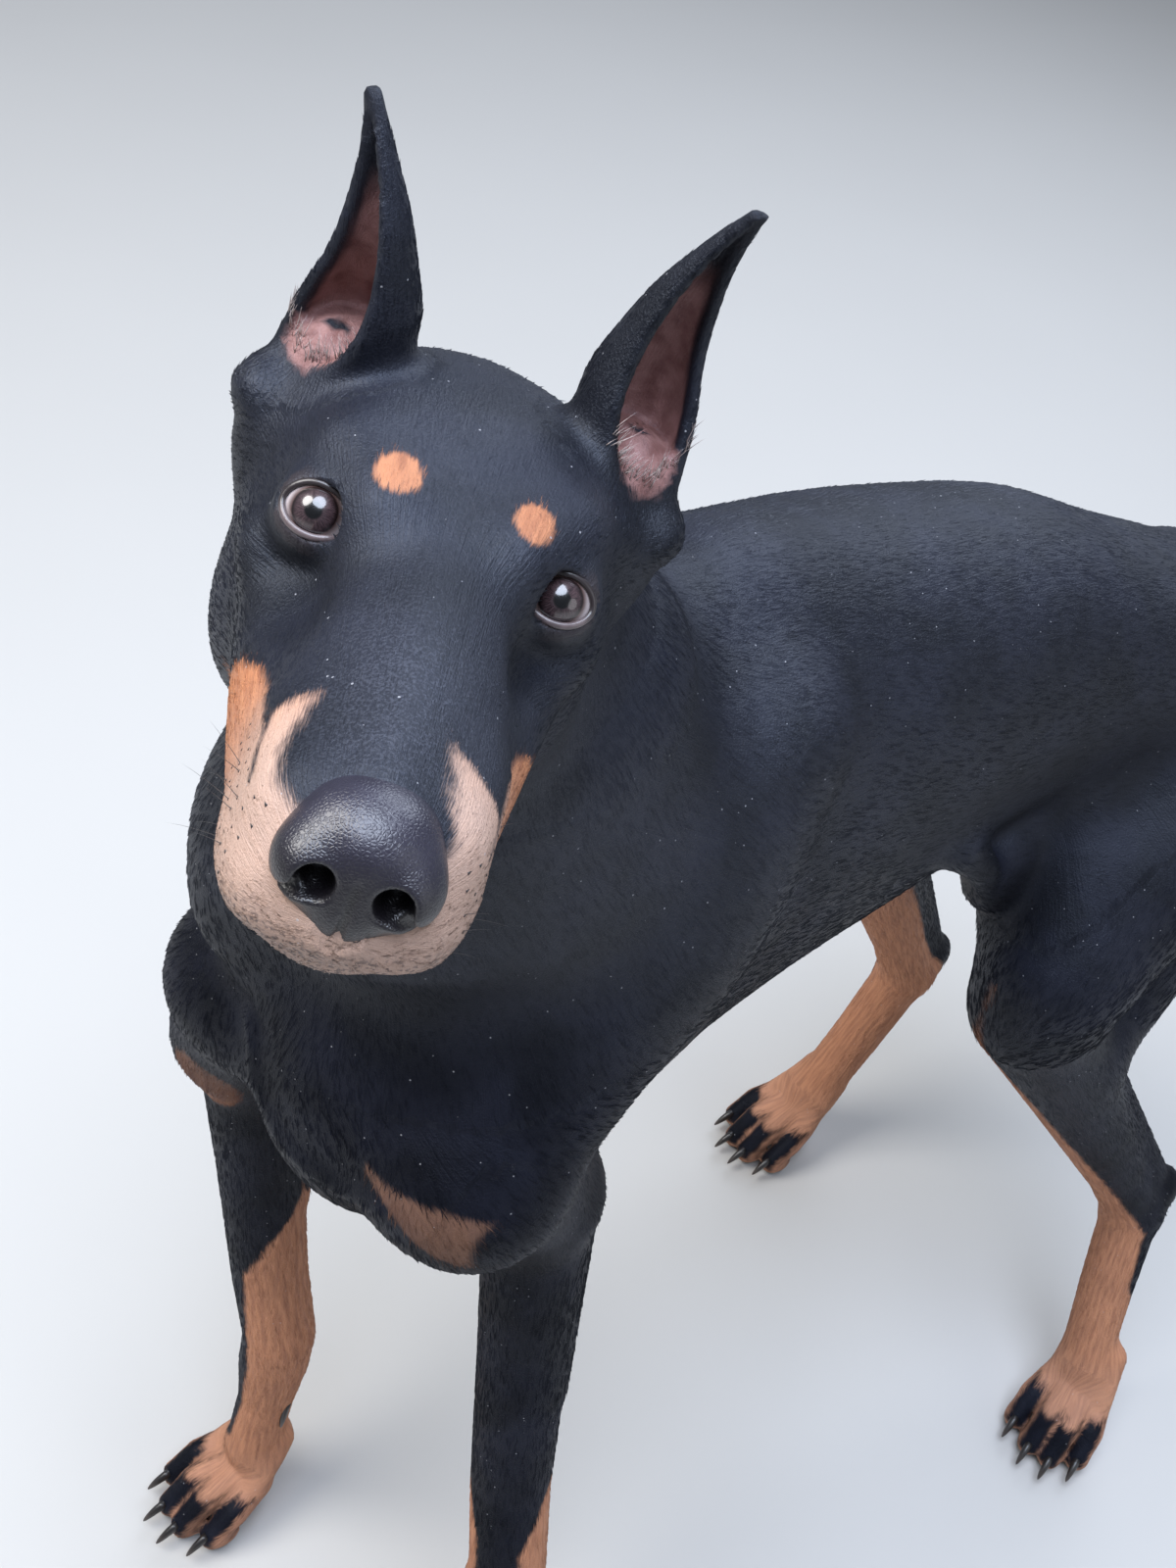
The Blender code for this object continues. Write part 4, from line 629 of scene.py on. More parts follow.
@dataclass
class Body:
    """Trunk, neck, tail and legs."""

    head: Head
    toe_spread: float = 0.0138
    toe_radius: float = 0.0092
    breast_at: tuple = (0.198, 0.0, 0.512)
    breast_radii: tuple = (0.088, 0.074, 0.112)
    triceps_at: tuple = (0.124, 0.036, 0.508)
    triceps_radii: tuple = (0.050, 0.026, 0.070)
    shoulder_radii: tuple = (0.032, 0.042, 0.038, 0.032)
    forearm_radii: tuple = (0.0288, 0.0248, 0.0225, 0.0220, 0.0218, 0.0178, 0.0178)
    neck_radii: tuple = (0.092, 0.074, 0.045)
    throat_radii: tuple = (0.078, 0.043)
    fold_at: tuple = (0.245, -0.054, 0.608)
    fold_radii: tuple = (0.0505, 0.0340, 0.0755)
    right_radii: tuple = (0.032, 0.040, 0.0373, 0.0365)
    rump_at: tuple = (-0.030, 0.0, -0.020)
    rump_radii: tuple = (0.068, 0.046, 0.074)
    web_radii: tuple = (0.0095, 0.0100, 0.0096, 0.0096, 0.0105)
    fill_radii: tuple = (0.026, 0.014, 0.028)

    def paw(self, leg: Leg) -> Group:
        """A paw on the floor in its own frame, x along the toes. Each toe is a chain from the pastern."""
        size = leg.size
        palm = (0.0215 * size, 0.0205 * size, 0.0145 * size)
        steps = [("add", 0.001, Egg((-0.002 * size, 0, 0.0135 * size), palm))]
        for spread in (-1.5, -0.5, 0.5, 1.5):
            inner = abs(spread) < 1
            reach = 0.044 if inner else 0.033
            side = spread * self.toe_spread
            places = [
                (-0.020, side * 0.45, 0.060),
                (0.002, side * 0.86, 0.0335 if inner else 0.0300),
                (reach - 0.018, side * 1.04, 0.0275 if inner else 0.0240),
                (reach - 0.004, side * 1.10, 0.0130),
            ]
            radii = tuple(self.toe_radius * size * share for share in (0.95, 0.98, 0.98, 0.84))
            pad = ((reach - 0.010) * size, side * 1.08 * size, 0.0078 * size)
            toe = [
                ("add", 0.001, Chain([np.array(place) * size for place in places], radii)),
                ("add", 0.006, Egg(pad, (0.0125 * size, 0.0082 * size, 0.0088 * size))),
            ]
            steps.append(("add", 0.0055, Group(toe)))
        turn = math.radians(leg.heading)
        axes = square_axes((math.cos(turn), math.sin(turn), 0.0), (-math.sin(turn), math.cos(turn), 0.0))
        return Group(steps, np.array([leg.paw[0], leg.paw[1], 0.0]), axes)

    def claws(self, leg: Leg, dewclaw: bool) -> list:
        """Root and direction of each claw of a paw, the dewclaw last."""
        turn = math.radians(leg.heading)
        ahead = np.array([math.cos(turn), math.sin(turn), 0.0])
        aside = np.array([-math.sin(turn), math.cos(turn), 0.0])
        centre = np.array([leg.paw[0], leg.paw[1], 0.0])
        found = []
        for spread in (-1.5, -0.5, 0.5, 1.5):
            reach = (0.044 if abs(spread) < 1 else 0.033) + 0.0030
            side = spread * self.toe_spread * 1.10
            root = centre + leg.size * (ahead * reach + aside * side + (0, 0, 0.0150))
            found.append((root, unit(ahead + aside * spread * 0.05 + (0, 0, -0.28))))
        if dewclaw:
            inner = aside * -leg.side
            root = between(leg.lower, leg.ball, 0.42) + inner * 0.0155 + (-0.004, 0, 0)
            found.append((root, unit(ahead * 0.35 + inner * 0.30 + (0, 0, -0.80))))
        return found

    def fore_leg(self, leg: Leg) -> list:
        """Shoulder blade, upper arm, forearm, wrist, pastern and paw."""
        side = leg.side
        upper, middle, lower, ball = leg.joints
        back = np.array([-1.0, 0.0, -0.05])
        elbow = middle + back * 0.023 + (0, 0, 0.014)
        triceps = self.triceps_at
        blade, arm = (self.shoulder_radii[:2], self.shoulder_radii[2:]) if side > 0 else (
            self.right_radii[:2], self.right_radii[2:])
        forearm = [middle + (0.002, 0, 0.020), between(middle, lower, 0.30), between(middle, lower, 0.70),
                   lower + (0, 0, 0.022), lower + (0.001, 0, -0.010), between(lower, ball, 0.45),
                   ball + (0.002, 0, 0.010)]
        return [
            ("add", 0.030, Chain([(0.085, side * 0.048, 0.665), upper], blade)),
            ("add", 0.024, Chain([upper + (-0.004, 0, -0.010), middle + (0.008, 0, 0.03)], arm)),
            ("add", 0.022, Egg((triceps[0], side * triceps[1], triceps[2]), self.triceps_radii)),
            ("add", 0.016, Chain(forearm, self.forearm_radii)),
            ("add", 0.012, Chain([elbow, between(middle, lower, 0.42) + back * 0.010], (0.0150, 0.0165))),
            ("add", 0.008, Egg(lower + back * 0.0175 + (0, 0, -0.010), (0.0085, 0.0085, 0.0120))),
            ("add", 0.010, self.paw(leg)),
        ]

    def hind_leg(self, leg: Leg) -> list:
        """Flank, rump, thigh, shin, hock, pastern and paw."""
        upper, middle, lower, ball = leg.joints
        shin = unit(lower - middle)
        behind = unit(np.cross(shin, np.cross(np.array([-1.0, 0.0, 0.0]), shin)))
        point = lower + (-0.021, 0.004, 0.010)
        flank = bent(-0.205, leg.side * 0.045, 0.520)
        shank = [middle, between(middle, lower, 0.40), between(middle, lower, 0.80), lower]
        pastern = [lower, between(lower, ball, 0.5), ball + (0.0, 0, 0.010)]
        calf = between(middle, lower, 0.35) + behind * 0.026
        inward = np.array([0.0, -leg.side, 0.0])
        belly, knee = bent(-0.114, leg.side * 0.070, 0.515), middle + inward * 0.020 + (-0.003, 0, 0.018)
        web = [bent(-0.086, leg.side * 0.072, 0.540), belly,
               between(belly, knee, 0.55) + inward * 0.022 + (-0.013, 0, 0.001),
               between(belly, knee, 0.78) + inward * 0.016 + (-0.007, 0, 0), knee]
        return [
            ("add", 0.030, Chain([flank, middle + (0.0, 0, 0.050)], (0.026, 0.032))),
            ("add", 0.036, Egg(upper + self.rump_at, self.rump_radii)),
            ("add", 0.030, Chain([upper + (0.02, 0, -0.02), middle + (0.0, 0, 0.03)], (0.064, 0.042))),
            ("add", 0.030, Chain([upper + (-0.060, 0, -0.03), between(middle, lower, 0.25) + behind * 0.024],
                                 (0.052, 0.032))),
            ("add", 0.020, Chain(shank, (0.038, 0.0290, 0.0205, 0.0210))),
            ("add", 0.020, Chain(web, self.web_radii)),
            ("add", 0.018,
             Egg(between(belly, knee, 0.30) + inward * 0.012 + (-0.024, 0, 0.004), self.fill_radii)),
            ("add", 0.012, Chain([calf, point], (0.014, 0.0105))),
            ("add", 0.008, Egg(point, (0.0145, 0.0125, 0.0170))),
            ("add", 0.010, Chain(pastern, (0.0205, 0.0190, 0.0185))),
            ("add", 0.008, Chain([point + (0.004, 0, -0.01), between(lower, ball, 0.6) + (-0.010, 0, 0)],
                                 (0.0110, 0.0130))),
            ("add", 0.010, self.paw(leg)),
        ]

    def steps(self) -> list:
        """All of the body but the head."""
        nape = self.head.place(-0.100, 0.0, -0.028)
        throat = self.head.place(-0.060, 0.0, -0.060)
        neck_root = [(0.150, 0.0, 0.600), (0.190, -0.008, 0.700)]
        steps = [
            ("add", 0.001, Sections(TRUNK, straighten)),
            ("add", 0.024, Chain([bent(-0.385, 0, 0.572), bent(-0.466, 0, 0.576)], (0.022, 0.0125))),
            ("add", 0.030, Chain([*neck_root, nape], self.neck_radii)),
            ("add", 0.030, Chain([(0.218, -0.012, 0.655), throat], self.throat_radii)),
            ("add", 0.030, Egg(self.breast_at, self.breast_radii)),
            ("add", 0.030, Egg(self.fold_at, self.fold_radii)),
        ]
        for leg in FORE.values():
            steps += self.fore_leg(leg)
        for leg in HIND.values():
            steps += self.hind_leg(leg)
        return steps

    def whole(self) -> Group:
        """The body with its head."""
        return Group(self.steps() + [("add", 0.030, self.head.whole())])


def cell_edges(corners: list) -> list:
    """The twelve edges of a cell.

    Args:
        corners: The eight corners as steps along each axis.

    Returns:
        For each edge its two corners and its axis.
    """
    edges = []
    for axis in range(3):
        for number, corner in enumerate(corners):
            if corner[axis] == 0:
                other = list(corner)
                other[axis] = 1
                edges.append((number, corners.index(tuple(other)), axis))
    return edges


CORNERS = [(i >> 2 & 1, i >> 1 & 1, i & 1) for i in range(8)]
EDGES = cell_edges(CORNERS)


def sheets_of(inside: list) -> dict:
    """Sorts the crossed edges of one cell into the sheets of surface that cross it.

    Args:
        inside: Whether each corner lies inside.

    Returns:
        A sheet for each crossed edge.
    """
    crossed = [n for n, (a, b, _) in enumerate(EDGES) if inside[a] != inside[b]]
    sheet = {n: n for n in crossed}

    def join(first: int, second: int) -> None:
        """Makes two sheets one."""
        old, new = sheet[first], sheet[second]
        for key in sheet:
            if sheet[key] == old:
                sheet[key] = new

    for axis in range(3):
        for level in (0, 1):
            face = [i for i, corner in enumerate(CORNERS) if corner[axis] == level]
            here = [n for n in crossed if EDGES[n][0] in face and EDGES[n][1] in face]
            if len(here) == 2:
                join(*here)
            elif len(here) == 4:
                for corner in face:
                    if inside[corner]:
                        join(*[n for n in here if corner in EDGES[n][:2]])
    return sheet


def sheet_table() -> tuple[Array, Array]:
    """The sheets for every pattern of corners inside. Two sheets in a cell get two points, so that the mesh
    stays closed.

    Returns:
        The sheet of each edge for each pattern, and how many sheets each pattern has.
    """
    table = np.full((256, 12), -1, int)
    counts = np.zeros(256, int)
    for pattern in range(256):
        sheet = sheets_of([bool(pattern >> i & 1) for i in range(8)])
        names = sorted(set(sheet.values()))
        counts[pattern] = len(names)
        for edge, name in sheet.items():
            table[pattern, edge] = names.index(name)
    return table, counts


SHEETS, SHEET_COUNTS = sheet_table()


def sample(shape: Shape, grid: list, block: int = 12) -> Array:
    """The field at every grid point. A block far from the surface takes the value of its middle.

    Args:
        shape: The solid.
        grid: The places of the grid's lines along x, y and z.
        block: Lines to a block.

    Returns:
        The distances.
    """
    values = np.ones(tuple(len(axis) for axis in grid))
    starts = [range(0, len(axis), block) for axis in grid]
    for i, j, k in itertools.product(*starts):
        part = [axis[n : n + block] for axis, n in zip(grid, (i, j, k))]
        low = np.array([axis[0] for axis in part])
        high = np.array([axis[-1] for axis in part])
        middle = (low + high) / 2
        around = float(np.linalg.norm(high - low) / 2)
        quick = float(shape.distance(middle[None], middle, around)[0])
        place = tuple(slice(n, n + len(axis)) for n, axis in zip((i, j, k), part))
        if abs(quick) > 1.6 * around + 0.020:
            values[place] = quick
            continue
        spots = np.stack(np.meshgrid(*part, indexing="ij"), -1).reshape(-1, 3)
        values[place] = shape.distance(spots, middle, around).reshape([len(axis) for axis in part])
    return values


def cell_points(values: Array, grid: list) -> tuple[Array, Array, Array, Array, Array]:
    """One point for each sheet of surface in each cell.

    Args:
        values: The field at the grid points.
        grid: The grid's lines.

    Returns:
        Points, the cells that are crossed, their patterns, their first points, and the index of each cell.
    """
    inside = values < 0
    shape = np.array(values.shape) - 1
    pattern = np.zeros(shape, int)
    for number, corner in enumerate(CORNERS):
        place = tuple(slice(corner[axis], corner[axis] + shape[axis]) for axis in range(3))
        pattern |= inside[place].astype(int) << number
    cells = np.argwhere((pattern > 0) & (pattern < 255))
    codes = pattern[tuple(cells.T)]
    counts = SHEET_COUNTS[codes]
    first = np.zeros(len(cells), int)
    first[1:] = np.cumsum(counts)[:-1]
    sums = np.zeros((int(counts.sum()), 3))
    hits = np.zeros(len(sums))
    for number, (start_corner, end_corner, axis) in enumerate(EDGES):
        sheet = SHEETS[codes, number]
        rows = np.nonzero(sheet >= 0)[0]
        start = cells[rows] + CORNERS[start_corner]
        end = cells[rows] + CORNERS[end_corner]
        value = values[tuple(start.T)]
        share = value / (value - values[tuple(end.T)])
        spot = np.stack([grid[n][start[:, n]] for n in range(3)], 1)
        spot[:, axis] += share * (grid[axis][end[:, axis]] - spot[:, axis])
        target = first[rows] + sheet[rows]
        np.add.at(sums, target, spot)
        np.add.at(hits, target, 1.0)
    index = np.full(shape, -1)
    index[tuple(cells.T)] = np.arange(len(cells))
    return sums / hits[:, None], codes, first, index, inside


def polygonise(shape: Shape, grid: list) -> tuple[Array, Array]:
    """A closed mesh of quads on the surface of a solid.

    Args:
        shape: The solid.
        grid: The grid's lines along x, y and z. What sticks out of it is cut flat.

    Returns:
        Points and quads.
    """
    values = sample(shape, grid)
    for axis in range(3):
        for end in (0, -1):
            rim = [slice(None)] * 3
            rim[axis] = end
            values[tuple(rim)] = np.maximum(values[tuple(rim)], 0.001)
    values[np.abs(values) < 1e-7] = 1e-7
    points, codes, first, index, inside = cell_points(values, grid)
    size = np.array(index.shape)
    quads = []
    for axis in range(3):
        others = [n for n in range(3) if n != axis]
        ahead, behind = [slice(None)] * 3, [slice(None)] * 3
        ahead[axis], behind[axis] = slice(1, None), slice(None, -1)
        starts = np.argwhere(inside[tuple(behind)] != inside[tuple(ahead)])
        keep = np.all((starts[:, others] > 0) & (starts[:, others] < size[others]), axis=1)
        starts = starts[keep]
        rising = inside[tuple(starts.T)]
        ring = []
        for shift in ((0, 0), (1, 0), (1, 1), (0, 1)):
            cell = starts.copy()
            cell[:, others[0]] -= shift[0]
            cell[:, others[1]] -= shift[1]
            row = index[tuple(cell.T)]
            corner = [0, 0, 0]
            corner[others[0]], corner[others[1]] = shift
            low = CORNERS.index(tuple(corner))
            number = next(n for n, edge in enumerate(EDGES) if edge[0] == low and edge[2] == axis)
            ring.append(first[row] + SHEETS[codes[row], number])
        quad = np.stack(ring, 1)
        turned = rising if axis == 1 else ~rising
        quad[turned] = quad[turned][:, ::-1]
        quads.append(quad)
    return points, np.concatenate(quads)


def slope_of(shape: Shape, points: Array, step: float) -> tuple[Array, Array]:
    """The field and its slope at some points.

    Args:
        shape: The solid.
        points: Where to look, in an order that keeps neighbours together.
        step: How far apart the two samples of a slope lie.

    Returns:
        Distances, and the slope at each point.
    """
    here = np.empty(len(points))
    slope = np.empty((len(points), 3))
    for start in range(0, len(points), 4000):
        some = points[start : start + 4000]
        middle = (some.min(0) + some.max(0)) / 2
        around = float(np.linalg.norm(some.max(0) - some.min(0)) / 2)
        value = shape.distance(some, middle, around)
        here[start : start + 4000] = value
        for axis in range(3):
            shift = np.zeros(3)
            shift[axis] = step
            slope[start : start + 4000, axis] = (shape.distance(some + shift, middle, around) - value) / step
    return here, slope


def settle(shape: Shape, points: Array, cell: float, rounds: int = 2) -> Array:
    """Moves points onto the surface, each by less than half a cell at a time.

    Args:
        shape: The solid.
        points: Points near its surface.
        cell: The size of the cells that they come from.
        rounds: How many times.

    Returns:
        The points moved.
    """
    for _ in range(rounds):
        here, slope = slope_of(shape, points, cell * 0.25)
        move = -(here / np.maximum((slope**2).sum(1), 0.25))[:, None] * slope
        length = np.linalg.norm(move, axis=1)
        points = points + move * np.minimum(1.0, cell * 0.4 / np.maximum(length, 1e-9))[:, None]
    return points


def lines(low: float, high: float, cell: float) -> Array:
    """Evenly spaced lines of a grid.

    Args:
        low: The first.
        high: The last.
        cell: The most that two lie apart.

    Returns:
        Their places.
    """
    return np.linspace(low, high, max(2, int(math.ceil((high - low) / cell)) + 1))


class Slot(Enum):
    """The record's material slots."""

    BLACK = "black_coat"
    RUST = "rust_coat"
    NOSE = "nose_leather"
    EYE = "eye"
    CLAW = "claw"


def ramp_up(value: Array, low: float, high: float) -> Array:
    """A smooth rise from zero at low to one at high.

    Args:
        value: Numbers.
        low: Where the rise starts.
        high: Where it ends.

    Returns:
        The rise for each number.
    """
    share = np.clip((value - low) / (high - low), 0.0, 1.0)
    return share * share * (3.0 - 2.0 * share)


class Inset(Shape):
    """The body drawn in by the depth of the coat, less on the head and not at all on the thin ears."""

    def __init__(self, whole: Group, head: Head, depth: float) -> None:
        """Keeps the body, the head's frame and the depth."""
        self.whole = whole
        self.head = head
        self.depth = depth
        self.centre = whole.centre
        self.reach = whole.reach

    def distance(self, points: Array, at: Array, around: float) -> Array:
        """Distances of points that all lie within around of at."""
        local = self.head.local(points)
        away = ramp_up(np.linalg.norm(local, axis=1), 0.13, 0.19)
        face = 1.0 - ramp_up(local[:, 2], 0.020, 0.036)
        depth = self.depth * np.where(away < 1, 0.45 * face * (1 - away) + away, 1.0)
        return self.whole.distance(points, at, around) + depth


@dataclass
class Strand:
    """A line of the body that the coat runs along, with the body's radius at each of its places."""

    places: Array
    radii: Array

    def near(self, points: Array) -> tuple[Array, Array, Array, Array]:
        """Finds the nearest place of the line to each point.

        Args:
            points: Places on the skin.

        Returns:
            Share of the radius away, length along, the line's direction, and the way out from it.
        """
        best = np.full(len(points), 1e9)
        along = np.zeros(len(points))
        tangent = np.zeros((len(points), 3))
        out = np.zeros((len(points), 3))
        length = 0.0
        for number in range(len(self.places) - 1):
            start = self.places[number]
            step = self.places[number + 1] - start
            size = float(np.linalg.norm(step))
            local = points - start
            share = np.clip(local @ step / (step @ step), 0.0, 1.0)
            away = local - share[:, None] * step
            radius = self.radii[number] * (1 - share) + self.radii[number + 1] * share
            ratio = np.linalg.norm(away, axis=1) / radius
            closer = ratio < best
            best[closer] = ratio[closer]
            along[closer] = length + share[closer] * size
            tangent[closer] = step / size
            out[closer] = away[closer]
            length += size
        return best, along, tangent, out

    @property
    def length(self) -> float:
        """How long the line is."""
        return float(np.linalg.norm(np.diff(self.places, axis=0), axis=1).sum())


# The radius that each strand's map is drawn with, so that its coordinates are metres.
MAP_RADII = np.array([0.045, 0.075, 0.095, 0.016, 0.016, 0.016, 0.024, 0.024, 0.026, 0.026])


@dataclass
class Lie:
    """How the coat lies: for any place its strand, its place along and round that strand, and the hair's
    direction."""

    body: Body
    strands: list = field(default_factory=list)

    def __post_init__(self) -> None:
        """Draws the strands from the nose over the back to the tail, and down each leg and up each ear."""
        head = self.body.head
        nose, brow = head.place(0.122, 0, -0.045), head.place(0.0, 0, -0.030)
        poll = head.place(-0.100, 0, -0.030)
        root = np.array([0.185, 0.0, 0.640])
        trunk = [root, (0.10, 0, 0.570), bent(-0.06, 0, 0.565), bent(-0.22, 0, 0.580), bent(-0.40, 0, 0.560)]
        self.strands = [
            Strand(np.array([nose, brow, poll]), np.array([0.030, 0.052, 0.055])),
            Strand(np.array([poll, root]), np.array([0.055, 0.085])),
            Strand(np.array(trunk), np.array([0.100, 0.130, 0.120, 0.090, 0.070])),
            Strand(np.array([bent(-0.40, 0, 0.568), bent(-0.475, 0, 0.574)]), np.array([0.030, 0.016])),
        ]
        for side in SIDES:
            ear = head.ear(side)
            tip = ear.base + ear.axes[:, 2] * ear.length
            places = [head.place(*(ear.base + (tip - ear.base) * share)) for share in (0.10, 1.0)]
            self.strands.append(Strand(np.array(places), np.array([0.026, 0.010])))
        kinds = (
            (FORE, (-0.02, 0.0, 0.0), (0.040, 0.034, 0.023, 0.024, 0.024)),
            (HIND, (-0.03, 0.0, -0.02), (0.070, 0.050, 0.024, 0.024, 0.024)),
        )
        for legs, behind, radii in kinds:
            for leg in legs.values():
                toe = (leg.paw[0] + 0.05, leg.paw[1], 0.015)
                places = [np.array(leg.upper) + behind, leg.middle, leg.lower, leg.ball, toe]
                self.strands.append(Strand(np.array(places, float), np.array(radii)))

    def read(self, points: Array) -> tuple[Array, Array, Array, Array]:
        """Reads the strands at some places.

        Args:
            points: Places on the skin.

        Returns:
            Strand number, length along it, angle round it, and the unprojected direction of the hair.
        """
        ratios, alongs, angles, flows = [], [], [], []
        for number, strand in enumerate(self.strands):
            ratio, along, tangent, out = strand.near(points)
            up = np.array([0.0, 0.0, 1.0]) if number < 4 else np.array([1.0, 0.0, 0.0])
            across = np.cross(tangent, up)
            across /= np.maximum(np.linalg.norm(across, axis=1), 1e-6)[:, None]
            above = np.cross(across, tangent)
            ratios.append(ratio)
            alongs.append(along)
            angles.append(np.arctan2((out * across).sum(1), (out * above).sum(1)))
            flow = tangent.copy()
            if number in (1, 2):
                flow[:, 2] -= 0.45 * np.clip(ratio, 0, 1.3)
            flows.append(flow)
        ratios = np.array(ratios)
        chosen = ratios.argmin(0)
        rows = np.arange(len(points))
        weight = np.exp(-6.0 * (ratios - ratios.min(0)))
        weight /= weight.sum(0)
        flow = (np.array(flows) * weight[:, :, None]).sum(0)
        return chosen, np.array(alongs)[chosen, rows], np.array(angles)[chosen, rows], flow

    def fineness(self, points: Array) -> Array:
        """The share of its full length that a tuft has, least on the muzzle and the feet."""
        head = self.body.head
        local = head.local(points)
        muzzle = ramp_up(local[:, 0], 0.01, 0.06) * (np.linalg.norm(local, axis=1) < 0.16)
        feet = 1 - ramp_up(points[:, 2], 0.04, 0.10)
        return 1 - 0.42 * np.maximum(muzzle, feet)

    def patch(self, chosen: Array, along: Array, angle: Array) -> Array:
        """Places on an unwrap of the skin, one cell of it for each strand.

        Args:
            chosen: Strand numbers.
            along: Lengths along the strands.
            angle: Angles round them.

        Returns:
            Two map coordinates for each place.
        """
        lengths = np.array([strand.length for strand in self.strands])
        across = 0.04 + 0.92 * np.clip(along / lengths[chosen], 0, 1)
        around = 0.04 + 0.92 * (angle + math.pi) / (2 * math.pi)
        return np.stack([(chosen % 4 + across) / 4, (chosen // 4 + around) / 4], 1)


